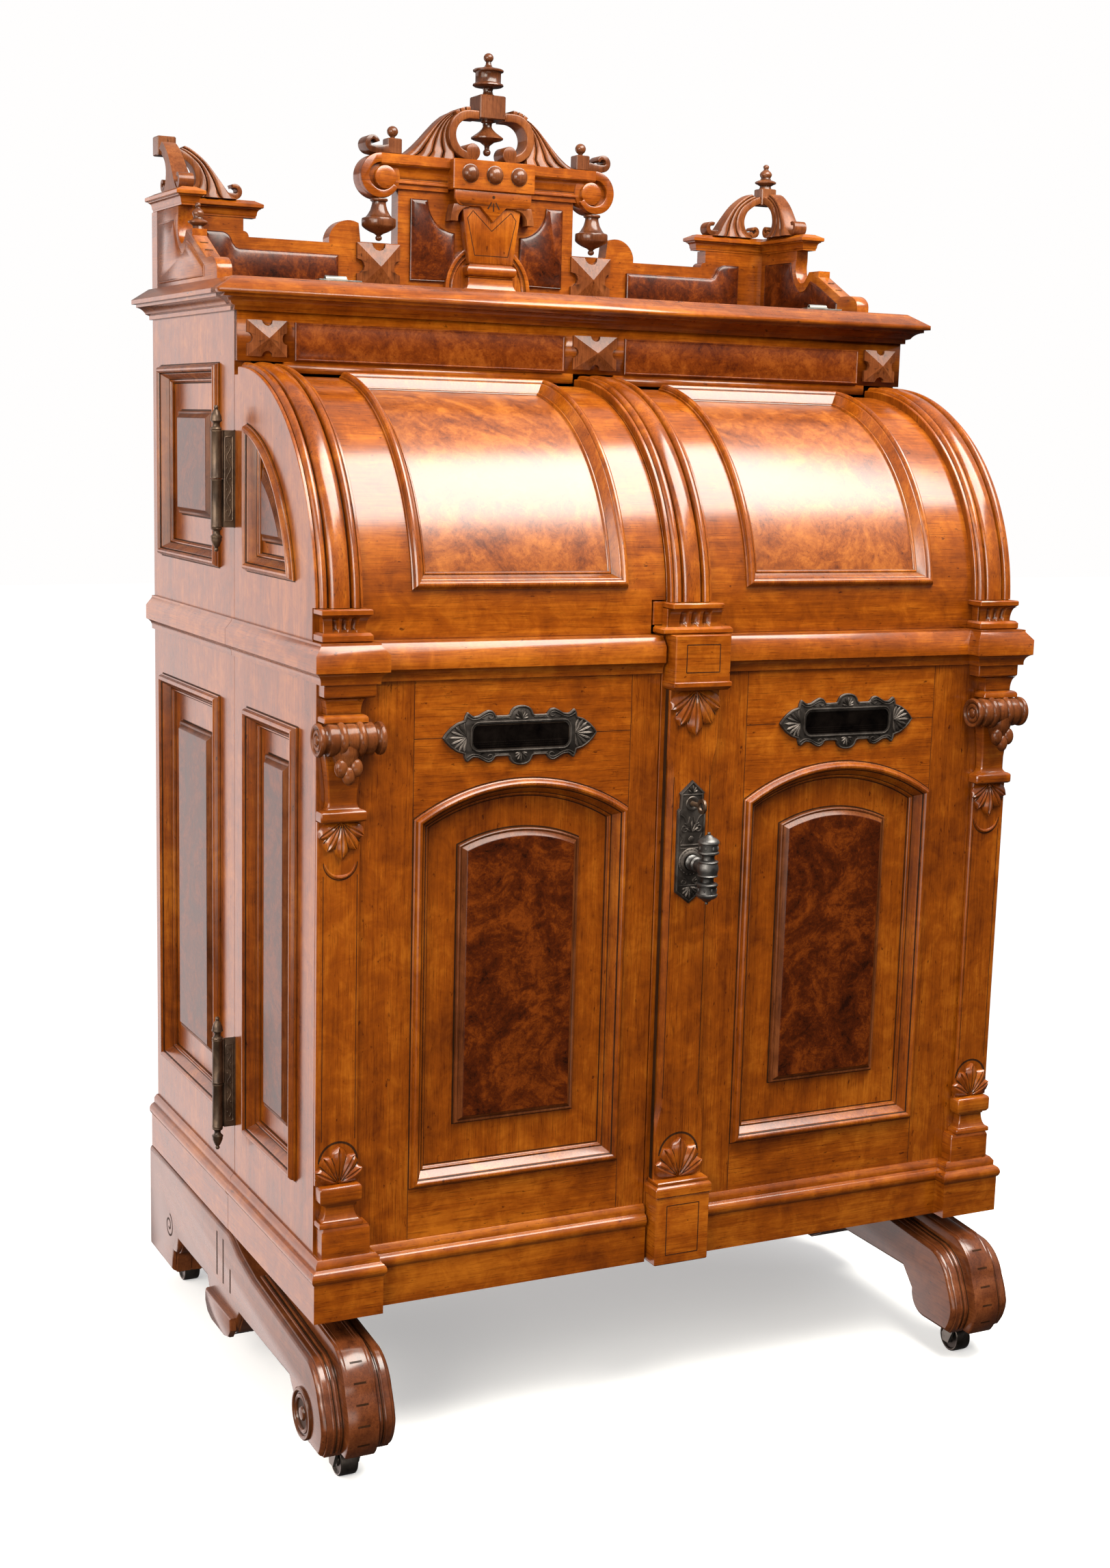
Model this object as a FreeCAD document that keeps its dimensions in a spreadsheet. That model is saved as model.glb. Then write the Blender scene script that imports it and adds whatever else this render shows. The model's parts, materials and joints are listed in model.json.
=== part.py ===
import FreeCAD, Part
import math
import os
import Sketcher

Vector = FreeCAD.Vector
DOC = FreeCAD.newDocument("CabinetSecretary")
SHEET = DOC.addObject("Spreadsheet::Sheet", "Sizes")
NODES = []
FACETS = 8
ROD_FACETS = 10
WHEEL_FACETS = 16

# Driving dimensions in millimetres, angles in degrees.
# The front faces -Y, the floor is Z 0, X runs from left to right as seen from the front.
OVERALL = {
    "body_half": 503, "front_y": -303, "seam_y": 8.5, "back_y": 385, "board": 22, "thin_board": 10,
    "seam_gap": 0.8, "meeting_x": -43.4, "meeting_gap": 0.6, "base_z": 208, "door_lift": 0.8,
    "waist_top": 1038, "top_board": 22,
}
CROWN = {
    "crown_y": -5, "crown_r": 283, "shell": 18, "rib_wide": 60, "rib_high": 16, "rib_end": 89.6,
    "crown_edge": 31.2, "crown_notch": 20,
}
PANELS = {
    "panel_x": 232, "panel_half": 145, "arch_r": 261, "frame_wide": 22, "frame_high": 9,
    "frame_bevel": 5, "recess": 12, "field": 6, "raised": 10, "raised_bevel": 7, "front_margin": 62.5,
    "front_foot": 11, "side_margin": 52, "door_side_front": -239, "door_side_rear": -44,
    "quarter_rear": -45, "quarter_r": 224, "quarter_margin": 38, "rear_side_front": 71,
    "rear_side_rear": 342, "rear_margin": 60, "curve_low": 6.7, "curve_high": 84, "curve_step": 4.4,
}
MOULDINGS = {
    "waist_out": 12.7, "waist_fillet": 4, "waist_cove": 14.5, "waist_fascia": 20, "waist_slope": 10.5,
    "waist_break": 67, "break_deep": 22, "plinth_out": 9.6, "plinth_break": 71, "plinth_face": 49.5,
    "torus_r": 8.6, "plinth_fillet": 6, "cornice_bed": 5, "cornice_out": 30.4, "cornice_corona": 6,
    "cornice_fillet": 23.7, "cornice_crown": 5.5,
}
PILASTER = {
    "shaft_wide": 54, "shaft_out": 7, "pedestal_wide": 62.5, "pedestal_inset": 3.5, "fan_wide": 50,
    "fan_high": 46, "carving": 8, "console_wide": 50, "roll_r": 20, "roll_wide": 85, "roll_start": 9,
    "capital_low": 11, "capital_cove": 19, "capital_top": 8.5, "capital_out": 31,
}
CENTRE = {
    "block_half": 40, "block_out": 30, "slab_half": 42, "slab_out": 32, "shaft_half": 36,
    "shaft_flat": 27, "centre_out": 12, "centre_cap_half": 50, "centre_top_half": 37,
    "centre_cap_low": 9,
}
HARDWARE = {
    "plate_half": 104.5, "plate_high": 74, "plate_x": 238.5, "plate_thick": 4, "slot_half": 66,
    "slot_high": 32.5, "flap_gap": 0.7, "flap_thick": 3, "trunnion_r": 1, "trunnion": 4,
    "running_fit": 0.05, "lock_half": 21, "lock_neck": 17, "lock_thick": 3, "rosette_r": 18,
    "rosette": 4, "spindle_r": 6, "hole_room": 1, "grip_y": -363, "grip_half": 47, "grip_r": 14,
    "grip_end": 8, "key_r": 3, "key_front": -353, "bow_r": 10, "bow_hole": 5.5, "bow_thick": 3,
    "case_half": 19, "case_deep": 30, "case_wall": 3, "bolt_high": 10, "bolt_reach": 21, "bolt_deep": 8,
    "bolt_back": 0.5, "hinge_out": 24, "barrel_r": 7.5, "pin_r": 4, "leaf": 2.4, "leaf_edge": 8.3,
    "knuckle_gap": 0.3, "pin_long": 40, "leaf_high": 122.5, "finial_high": 31, "top_hinge_half": 29,
    "top_barrel_r": 4, "top_pin_r": 1.8, "top_hinge_y": 12.2, "top_leaf": 2, "top_leaf_wide": 20,
}
FRIEZE = {
    "notch_room": 1.2, "frieze_panel_inner": 46, "frieze_panel": 6, "frieze_bevel": 5, "x_wide": 53,
    "x_centre": 33, "x_out": 8,
}
INSIDE = {
    "drawer_wall": 9, "column_x": 160, "divider": 10, "shelf_front": 64, "fall_front": 22,
    "fall_thick": 20, "fall_gap": 1, "pigeon_step": 240, "drawer_gap": 1, "door_shelf": 170,
    "door_shelf_1": 430, "door_shelf_2": 640, "door_shelf_3": 850, "door_inner": 64,
    "door_divider": 262,
}
GALLERY = {
    "gallery_thick": 26, "post_wide": 125, "wing_end": 249.5, "wing_step": 7, "shoulder_x": 204,
    "crest_half": 143, "return_thick": 21, "post_deep": 129, "return_front": 81.6, "foot_high": 13.5,
    "foot_long": 21, "ramp_end": 128, "stand_rear": 219, "stand_front": 191, "cap_high": 24,
    "cap_step": 12, "cap_over": 10, "cap_tip_y": 227, "corner_cube": 26, "volute_x": 174,
    "volute_r": 32, "urn_forward": 3, "urn_r": 25, "saltire_half": 33.5, "saltire_thick": 10,
    "tablet_half": 66, "tablet_thick": 26, "boss_r": 13.5, "boss_step": 39.4, "apron_half": 62,
    "apron_foot": 50, "keystone_top": 51.5, "keystone_foot": 36, "ring_half": 40.6, "plinth_half": 48,
    "disc_r": 69, "crest_panel_inner": 52, "crest_panel_outer": 124, "crest_panel_scoop": 45,
    "crest_panel": 6, "fan_inner": 57, "fan_outer": 142, "curl_tip": 198, "curl_high": 12,
    "scroll_outer": 70, "scroll_r": 36, "scroll_band": 13, "top_cube": 41, "finial_r": 23,
    "corner_finial": 38, "corner_finial_r": 17, "stand_finial": 35, "stand_finial_r": 13.5,
    "applique": 8, "applique_inner": 237,
}
BASE = {
    "trestle_wide": 97, "core_wide": 41, "foot_reach": 391, "cheek_back": 14, "foot_low": 48,
    "arch_under": 106, "drop_low": 61, "roundel_z": 82, "roundel_r": 33, "roundel_out": 3,
    "rest_front": -1, "stretcher_low": 118, "stretcher_high": 190, "stretcher_y": 150,
    "stretcher_deep": 60, "wheel_r": 21, "wheel_wide": 24, "caster_trail": 12, "rest_step": 40,
    "rest_dip": 9, "rest_run": 100, "rest_fall": 12, "toe_fall": 30, "toe_bend": 60, "toe_drop": 78,
    "toe_sweep": 120, "toe_rise": 4, "roundel_step": 22, "drop_front": -30, "drop_rear": 78,
    "drop_run": 26, "drop_room": 20, "drop_slope": 14, "heel_round": 26, "fork_gap": 1.5, "fork_arm": 4,
    "stem_r": 5, "stem_high": 26, "axle_r": 4, "caster_plate_r": 19, "caster_plate": 4, "arm_half": 9,
}
# Heights counted from the underside of the case.
BASE_LEVELS = {
    "side_low": 152, "lower_hinge": 147, "panel_low": 146.5, "plinth_top": 79, "pedestal_top": 117,
    "fan_slab_low": 149.5, "fan_slab_top": 168, "foot_block_top": 94, "foot_slab_top": 114,
    "centre_fan": 166.6,
}
# Heights counted from the top of the waist moulding.
WAIST_LEVELS = {
    "waist_low": -48, "crown_z": 26, "centre_cap": 2, "centre_rib": 40.5, "quarter_low": 66,
    "rear_upper_low": 62, "abacus_low": -64, "roll_slab": -92.5, "centre_slab": -68,
    "centre_block": -57, "centre_leaf": -125.4, "side_high": -110, "plate_z": -119,
    "upper_hinge": 116.5, "upper_shelf": 112, "pigeon_z": -93, "bracket_low": -212, "bracket_top": -189,
    "leaf_low": -255.5, "arch_z": -435, "lock_low": -346, "lock_high": -185, "lock_shoulder": -201,
    "handle_z": -291, "key_z": -215, "bolt_z": -263, "bed_z": -298,
}
# Heights counted from the highest line of the door tops.
CROWN_LEVELS = {
    "top_z": 121,
}
# Heights counted from the top board.
TOP_LEVELS = {
    "frieze_low": -117, "frieze_panel_low": -102, "frieze_panel_high": -54, "x_low": -98, "x_high": -53,
    "cornice_low": -42, "rear_upper_high": -107, "store_floor": -137, "post_top": 105, "wing_top": 79,
    "shoulder_z": 109, "crest_top": 208, "ramp_low": 30, "stand_top": 71, "bracket_high": 197,
    "corner_low": 181, "volute_z": 177, "urn_low": 85, "saltire_top": 81.6, "tablet_low": 165.5,
    "boss_z": 189, "apron_low": 143, "apron_tip": 122, "keystone_low": 61, "ring_low": 41,
    "plinth_low": 24, "crest_panel_low": 32, "crest_panel_top": 149, "fan_top": 285,
    "top_cube_low": 270, "top_cube_high": 304, "finial_top": 366, "applique_low": 62,
    "applique_high": 84,
}
# Widths counted from the side faces.
SIDE_ENDS = {
    "trestle_x": -36, "applique_step": -117, "applique_rise": -91, "applique_end": -67, "x_outer": -11,
    "frieze_panel_outer": -75, "top_hinge_x": -136, "bracket_end": -120, "cap_tip_x": -152,
}
# Depths counted from the toes and from the heels of the trestles.
TOE_ENDS = {
    "caster_front": 57, "roundel_y": 85.5, "toe_shoulder": 60, "toe_round": 14,
}
HEEL_ENDS = {
    "caster_rear": -53, "heel_arch": -156, "heel_step": -129, "heel_foot": -123,
}
GROUPS = (OVERALL, CROWN, PANELS, MOULDINGS, PILASTER, CENTRE, HARDWARE, FRIEZE, INSIDE, GALLERY, BASE)
COUNTED = (
    (("base_z",), 1, BASE_LEVELS), (("waist_top",), 1, WAIST_LEVELS), (("crown_z", "crown_r"), 1, CROWN_LEVELS),
    (("top_z",), 1, TOP_LEVELS), (("body_half",), 1, SIDE_ENDS), (("foot_reach",), -1, TOE_ENDS),
    (("foot_reach",), 1, HEEL_ENDS),
)


class Size:
    """A number together with the sheet formula that drives it."""

    def __init__(self, value, text):
        self.value = float(value)
        self.text = text

    def joined(self, sign, other, value):
        return Size(value, "(%s %s %s)" % (self.text, sign, other.text))

    def __add__(self, other):
        other = size(other)
        return self.joined("+", other, self.value + other.value)

    def __radd__(self, other):
        return size(other) + self

    def __sub__(self, other):
        other = size(other)
        return self.joined("-", other, self.value - other.value)

    def __rsub__(self, other):
        return size(other) - self

    def __mul__(self, other):
        other = size(other)
        return self.joined("*", other, self.value * other.value)

    def __rmul__(self, other):
        return size(other) * self

    def __truediv__(self, other):
        other = size(other)
        return self.joined("/", other, self.value / other.value)

    def __neg__(self):
        return Size(-self.value, "(-1 * %s)" % self.text)

    def root(self):
        return Size(math.sqrt(self.value), "sqrt(%s)" % self.text)

    def sine(self):
        return Size(math.sin(math.radians(self.value)), "sin(%s)" % self.text)

    def cosine(self):
        return Size(math.cos(math.radians(self.value)), "cos(%s)" % self.text)


class Sizes:
    """All the driving dimensions, one attribute each."""


def size(entry):
    if isinstance(entry, Size):
        return entry
    return Size(entry, "(%r)" % float(entry))


def fill_sheet():
    row = 1
    tables = [((), 1, group) for group in GROUPS] + list(COUNTED)
    for bases, way, group in tables:
        for name, value in group.items():
            SHEET.set("A%d" % row, name)
            SHEET.set("B%d" % row, str(value))
            SHEET.setAlias("B%d" % row, name)
            entry = Size(value, "Sizes.%s" % name)
            for base in bases:
                entry = entry + way * getattr(Sizes, base)
            setattr(Sizes, name, entry)
            row += 1
    DOC.recompute()


def bind(item, path, entry):
    entry = size(entry)
    if "Sizes." in entry.text:
        item.setExpression(path, entry.text)


def ordered(pair):
    low, high = size(pair[0]), size(pair[1])
    if low.value > high.value:
        return high, low
    return low, high


def place(item, x, y, z, turned=None):
    spot = [size(x), size(y), size(z)]
    item.Placement = FreeCAD.Placement(Vector(*[entry.value for entry in spot]), turned or FreeCAD.Rotation())
    for letter, entry in zip("xyz", spot):
        bind(item, "Placement.Base." + letter, entry)


def box(name, x, y, z):
    item = DOC.addObject("Part::Box", name)
    spans = [ordered(pair) for pair in (x, y, z)]
    for path, (low, high) in zip(("Length", "Width", "Height"), spans):
        setattr(item, path, high.value - low.value)
        bind(item, path, high - low)
    place(item, *[low for low, high in spans])
    return item


def flare(name, x, y, top_x, top_y, z):
    """A block whose level section changes evenly from its bottom to its top."""
    item = DOC.addObject("Part::Wedge", name)
    x, y, top_x, top_y, z = [ordered(pair) for pair in (x, y, top_x, top_y, z)]
    faces = {
        "Xmin": x[0], "Xmax": x[1], "Zmin": -y[1], "Zmax": -y[0], "X2min": top_x[0], "X2max": top_x[1],
        "Z2min": -top_y[1], "Z2max": -top_y[0], "Ymin": z[0], "Ymax": z[1],
    }
    for path, entry in faces.items():
        setattr(item, path, entry.value)
        bind(item, path, entry)
    item.Placement = FreeCAD.Placement(Vector(), FreeCAD.Rotation(Vector(1, 0, 0), 90))
    return item


def cylinder(name, axis, centre, radius, low, high):
    """A round bar along one axis from low to high; centre gives the other two positions."""
    item = DOC.addObject("Part::Cylinder", name)
    low, high = ordered((low, high))
    radius = size(radius)
    item.Radius = radius.value
    item.Height = high.value - low.value
    bind(item, "Radius", radius)
    bind(item, "Height", high - low)
    lay(item, axis, centre, low, high)
    return item


def bar(name, axis, centre, radius, low, high, flats=ROD_FACETS):
    """A small round rod or roller with narrow flats, laid like a cylinder."""
    item = DOC.addObject("Part::Prism", name)
    low, high = ordered((low, high))
    radius = size(radius)
    item.Polygon = int(flats)
    item.Circumradius = radius.value
    item.Height = high.value - low.value
    bind(item, "Circumradius", radius)
    bind(item, "Height", high - low)
    lay(item, axis, centre, low, high)
    return item


def bore(name, axis, centre, radius, low, high, flats=ROD_FACETS):
    """The hole for a bar: its flats clear the round that the bar turns in."""
    return bar(name, axis, centre, size(radius) / size(180 / int(flats)).cosine(), low, high, flats)


def lay(item, axis, centre, low, high):
    if axis == "X":
        place(item, low, centre[0], centre[1], FreeCAD.Rotation(Vector(0, 1, 0), 90))
    elif axis == "Y":
        place(item, centre[0], high, centre[1], FreeCAD.Rotation(Vector(1, 0, 0), 90))
    else:
        place(item, centre[0], centre[1], low)


def draw(body, name, role, loops, shift=None, closed=True):
    """A sketch of bound outlines; a third entry of a corner bends the side that follows it."""
    sketch = body.newObject("Sketcher::SketchObject", name)
    plane = [item for item in body.Origin.OriginFeatures if item.Role == role][0]
    sketch.AttachmentSupport = [(plane, "")]
    sketch.MapMode = "FlatFace"
    if shift is not None:
        shift = size(shift)
        sketch.AttachmentOffset = FreeCAD.Placement(Vector(0, 0, shift.value), FreeCAD.Rotation())
        bind(sketch, "AttachmentOffset.Base.z", shift)
    for loop in loops:
        draw_loop(sketch, loop, closed)
    return sketch


def fix(sketch, kind, geometry, point, entry):
    if point:
        row = sketch.addConstraint(Sketcher.Constraint(kind, geometry, point, entry.value))
    else:
        row = sketch.addConstraint(Sketcher.Constraint(kind, geometry, entry.value))
    bind(sketch, "Constraints[%d]" % row, entry)


def side_of(start, end, bend):
    """The line or arc between two corners; a positive bend curves to the left of the way."""
    if bend is None:
        return Part.LineSegment(start, end), 1, 2
    radius = abs(bend.value)
    chord = end.sub(start)
    half = chord.Length / 2
    rise = math.sqrt(max(radius * radius - half * half, 0))
    left = Vector(-chord.y, chord.x, 0).normalize()
    turn = 1 if bend.value > 0 else -1
    centre = start.add(end).multiply(0.5).add(left.multiply(turn * rise))
    angles = [math.atan2(spot.y - centre.y, spot.x - centre.x) for spot in (start, end)]
    circle = Part.Circle(centre, Vector(0, 0, 1), radius)
    if turn > 0:
        return Part.ArcOfCircle(circle, angles[0], angles[1]), 1, 2
    return Part.ArcOfCircle(circle, angles[1], angles[0]), 2, 1


def draw_loop(sketch, loop, closed):
    corners = [(size(corner[0]), size(corner[1])) for corner in loop]
    bends = [size(corner[2]) if len(corner) > 2 else None for corner in loop]
    spots = [Vector(across.value, up.value, 0) for across, up in corners]
    count = len(loop) if closed else len(loop) - 1
    sides = []
    for step in range(count):
        shape, first, last = side_of(spots[step], spots[(step + 1) % len(loop)], bends[step])
        sides.append((sketch.addGeometry(shape, False), first, last))
    for step in range(count if closed else count - 1):
        here, there = sides[step], sides[(step + 1) % count]
        sketch.addConstraint(Sketcher.Constraint("Coincident", here[0], here[2], there[0], there[1]))
    for step, (across, up) in enumerate(corners):
        geometry, first, last = sides[min(step, count - 1)]
        point = first if step < count else last
        fix(sketch, "DistanceX", geometry, point, across)
        fix(sketch, "DistanceY", geometry, point, up)
        if step < count and bends[step] is not None:
            bend = bends[step] if bends[step].value > 0 else -bends[step]
            fix(sketch, "Radius", geometry, 0, bend)


def pad(name, axis, loops, low, high, bevel=None, end="low"):
    """Outlines pushed along one axis; the face at one end may have bevelled edges."""
    low, high = ordered((low, high))
    body = DOC.addObject("PartDesign::Body", name)
    role = {"X": "YZ_Plane", "Y": "XZ_Plane", "Z": "XY_Plane"}[axis]
    sketch = draw(body, name + "_outline", role, loops)
    feature = body.newObject("PartDesign::Pad", name + "_pad")
    feature.Profile = sketch
    feature.Length = high.value - low.value
    bind(feature, "Length", high - low)
    if axis == "X":
        place(body, low, 0, 0)
    elif axis == "Y":
        place(body, 0, high, 0)
    else:
        place(body, 0, 0, low)
    if bevel is not None:
        DOC.recompute()
        number = "XYZ".index(axis)
        levels = [face.CenterOfMass[number] if is_level(face, number) else None for face in feature.Shape.Faces]
        wanted = [level for level in levels if level is not None]
        level = min(wanted) if end == "low" else max(wanted)
        chamfer = body.newObject("PartDesign::Chamfer", name + "_bevel")
        chamfer.Base = (feature, ["Face%d" % (levels.index(level) + 1)])
        chamfer.Size = size(bevel).value
        bind(chamfer, "Size", bevel)
    return body


def is_level(face, number):
    if not isinstance(face.Surface, Part.Plane):
        return False
    return abs(abs(face.normalAt(0, 0)[number]) - 1) < 0.0001


def turned(name, profile, x, y, z, axis="Z"):
    """A small turned piece with flat facets; rows give radius and height along the axis."""
    ways = {
        "Z": FreeCAD.Rotation(), "-Z": FreeCAD.Rotation(Vector(1, 0, 0), 180),
        "-Y": FreeCAD.Rotation(Vector(1, 0, 0), 90),
    }
    angles = [math.radians(360 * (step + 0.5) / FACETS) for step in range(FACETS)]
    rings = []
    for radius, height in profile:
        reach, level = size(radius).value, size(height).value
        rings.append([Vector(reach * math.cos(angle), reach * math.sin(angle), level) for angle in angles])
    sides = [list(reversed(rings[0])), rings[-1]]
    for low, high in zip(rings, rings[1:]):
        for step in range(FACETS):
            after = (step + 1) % FACETS
            sides.append([low[step], low[after], high[after], high[step]])
    faces = [Part.Face(Part.makePolygon(corners + corners[:1])) for corners in sides]
    item = DOC.addObject("Part::Feature", name)
    item.Shape = Part.Solid(Part.Shell(faces))
    place(item, x, y, z, ways[axis])
    return item


def run(name, route, profile):
    """A moulding led round the corners of a level route that starts along Y."""
    body = DOC.addObject("PartDesign::Body", name)
    start = route[0]
    path = draw(body, name + "_route", "XY_Plane", [route], closed=False)
    section = draw(body, name + "_section", "XZ_Plane", [profile], shift=-size(start[1]))
    feature = body.newObject("PartDesign::AdditivePipe", name + "_run")
    feature.Profile = section
    feature.Spine = (path, ["Edge%d" % (step + 1) for step in range(len(route) - 1)])
    feature.Transition = "Right corner"
    return body


def cut(name, base, tools):
    item = DOC.addObject("Part::Cut", name)
    item.Base = base
    item.Tool = tools[0] if len(tools) == 1 else fuse(name + "_tools", tools)
    return item


def fuse(name, items):
    item = DOC.addObject("Part::MultiFuse", name)
    item.Shapes = items
    return item


def mirrored(name, source):
    item = DOC.addObject("Part::Mirroring", name)
    item.Source = source
    item.Base = Vector()
    item.Normal = Vector(1, 0, 0)
    return item


def node(label, items):
    """One named sub-part; several solids of one kind share it."""
    if len(items) == 1:
        item = items[0]
    else:
        item = DOC.addObject("Part::Compound", label + "_group")
        item.Links = items
    item.Label = label
    NODES.append(item)
    return item


def rectangle(across, up):
    across, up = ordered(across), ordered(up)
    return [(across[0], up[0]), (across[1], up[0]), (across[1], up[1]), (across[0], up[1])]


fill_sheet()
d = Sizes
DOOR_Z = d.base_z + d.door_lift
DOOR_REAR = d.seam_y - d.seam_gap
SHELL_Y = d.crown_y - d.crown_r
CROWN_TOP = d.crown_z + d.crown_r
INNER_FRONT = d.front_y + d.board
INNER_BACK = d.back_y - d.thin_board
TOP_LOW = d.top_z - d.top_board
SIDE_IN = d.body_half - d.board
LEFT_EDGE = d.meeting_x - d.meeting_gap
RIGHT_EDGE = d.meeting_x + d.meeting_gap


def arch(sign, inset, foot=0):
    """A panel outline with a low arched head, inset evenly from the outer moulding edge."""
    half = d.panel_half - inset
    radius = d.arch_r - inset
    spring = d.arch_z + (radius * radius - half * half).root()
    middle = sign * d.panel_x
    low = d.panel_low + inset + foot
    left, right = middle - half, middle + half
    return [(left, low), (right, low), (right, spring, radius), (left, spring)]


def quarter(inset):
    """A quarter-round outline that follows the curve of the door top."""
    radius = d.quarter_r - inset
    low = d.quarter_low + inset
    rear = d.quarter_rear - inset
    reach = (radius * radius - (low - d.crown_z) * (low - d.crown_z)).root()
    rise = (radius * radius - (d.crown_y - rear) * (d.crown_y - rear)).root()
    return [(d.crown_y - reach, low), (rear, low), (rear, d.crown_z + rise, radius)]


def inset_rectangle(across, up):
    return lambda inset: rectangle((across[0] + inset, across[1] - inset), (up[0] + inset, up[1] - inset))


def sector(inner, outer, start, end):
    """Part of a ring round the axis of the door top, angles counted up from the front."""
    def spot(radius, angle):
        return d.crown_y - radius * angle.cosine(), d.crown_z + radius * angle.sine()
    inner, outer, start, end = size(inner), size(outer), size(start), size(end)
    return [spot(inner, start), spot(outer, start) + (-outer,), spot(outer, end), spot(inner, end) + (inner,)]


def framed(name, axis, outline, face, margin_outline, bevelled=True):
    """Moulding, sunk field and raised panel of one framed opening; the face looks to minus."""
    floor = face + d.recess
    rings = [outline(0), outline(d.frame_wide)]
    frame = [
        pad(name + "_ring", axis, rings, face - d.frame_high, floor, d.frame_bevel if bevelled else None),
        pad(name + "_field", axis, [outline(0)], floor, floor + d.field),
    ]
    panel = pad(name + "_raised", axis, [margin_outline], floor - d.raised, floor, d.raised_bevel)
    return frame, panel


def profile_waist(sign):
    """Section of the waist moulding on a side face."""
    fascia = d.waist_low + d.waist_cove
    slope = fascia + d.waist_fascia
    rows = [
        (0, d.waist_low), (d.waist_fillet, d.waist_low), (d.waist_fillet, d.waist_low + 3, -sign * 12),
        (d.waist_out, fascia), (d.waist_out, slope), (d.waist_fillet, slope + d.waist_slope),
        (d.waist_fillet, d.waist_top), (0, d.waist_top),
    ]
    return [(sign * (d.body_half + row[0]), row[1]) + tuple(row[2:]) for row in rows]


def profile_plinth(sign, low):
    """Section of the plinth: flat face, half-round and a stepped top."""
    torus = low + d.plinth_face
    head = torus + 2 * d.torus_r
    rows = [
        (0, low), (d.plinth_out, low), (d.plinth_out, torus, sign * d.torus_r * 1.15),
        (d.plinth_out, head - 2), (d.plinth_fillet, head), (d.plinth_fillet, d.plinth_top - 5),
        (2, d.plinth_top), (0, d.plinth_top),
    ]
    return [(sign * (d.body_half + row[0]), row[1]) + tuple(row[2:]) for row in rows]


def profile_cornice(sign):
    """Section of the cornice: bed, cove, corona and a sloping crown."""
    bed = d.cornice_low + 5.5
    corona = d.cornice_low + 20
    rows = [
        (0, d.cornice_low), (d.cornice_bed, d.cornice_low), (d.cornice_bed, bed),
        (2 * d.cornice_bed, bed + 1.5, -sign * 17), (d.cornice_fillet, corona - 4), (d.cornice_fillet, corona),
        (d.cornice_out, corona), (d.cornice_out, corona + d.cornice_corona), (d.cornice_crown, d.top_z),
        (0, d.top_z),
    ]
    return [(sign * (d.body_half + row[0]), row[1]) + tuple(row[2:]) for row in rows]


def door_route(sign, width, depth, end):
    side = sign * d.body_half
    return [
        (side, DOOR_REAR), (side, d.front_y - depth), (side - sign * width, d.front_y - depth),
        (side - sign * width, d.front_y), (end, d.front_y),
    ]


def door_front(name, sign):
    edge = LEFT_EDGE if sign < 0 else RIGHT_EDGE
    loops = [rectangle((sign * SIDE_IN, edge), (DOOR_Z, d.waist_top)), arch(sign, 0)]
    if sign < 0:
        loops.append(rectangle((slot_x(sign, -1), slot_x(sign, 1)), slot_z()))
        return pad(name, "Y", loops, d.front_y, INNER_FRONT)
    blank = pad(name + "_blank", "Y", loops, d.front_y, INNER_FRONT)
    return cut(name, blank, [
        bore(name + "_handle_hole", "Y", (0, d.handle_z), d.spindle_r + d.hole_room, d.front_y - 1, INNER_FRONT + 1),
        bore(name + "_key_hole", "Y", (0, d.key_z), d.key_r + d.hole_room, d.front_y - 1, INNER_FRONT + 1),
    ])


def slot_x(sign, way):
    return sign * d.plate_x + way * d.slot_half


def slot_z():
    return d.plate_z - d.slot_high / 2, d.plate_z + d.slot_high / 2


def mortises(name, y):
    """Shallow beds for the two hinge leaves in the edge of a side board."""
    x = (-d.body_half, -SIDE_IN)
    beds = []
    for step, low in enumerate((d.upper_hinge, d.lower_hinge)):
        beds.append(box("%s_bed_%d" % (name, step), x, y, (low, low + d.leaf_high)))
    return beds


def door_side(name):
    lower = inset_rectangle((d.door_side_front, d.door_side_rear), (d.side_low, d.side_high))
    outline = [
        (d.front_y, DOOR_Z), (DOOR_REAR, DOOR_Z), (DOOR_REAR, CROWN_TOP), (d.crown_y, CROWN_TOP, d.crown_r),
        (SHELL_Y, d.crown_z), (SHELL_Y, d.waist_top), (d.front_y, d.waist_top),
    ]
    blank = pad(name + "_blank", "X", [outline, lower(0), quarter(0)], -d.body_half, -SIDE_IN)
    board = cut(name, blank, mortises(name, (DOOR_REAR - d.leaf, DOOR_REAR)))
    low_panel = inset_rectangle((d.door_side_front, d.door_side_rear), (d.side_low, d.side_high))(d.side_margin)
    frame_low, panel_low = framed(name + "_low", "X", lower, -d.body_half, low_panel)
    frame_top, panel_top = framed(name + "_top", "X", quarter, -d.body_half, quarter(d.quarter_margin), False)
    return board, frame_low + frame_top, [panel_low, panel_top]


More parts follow.
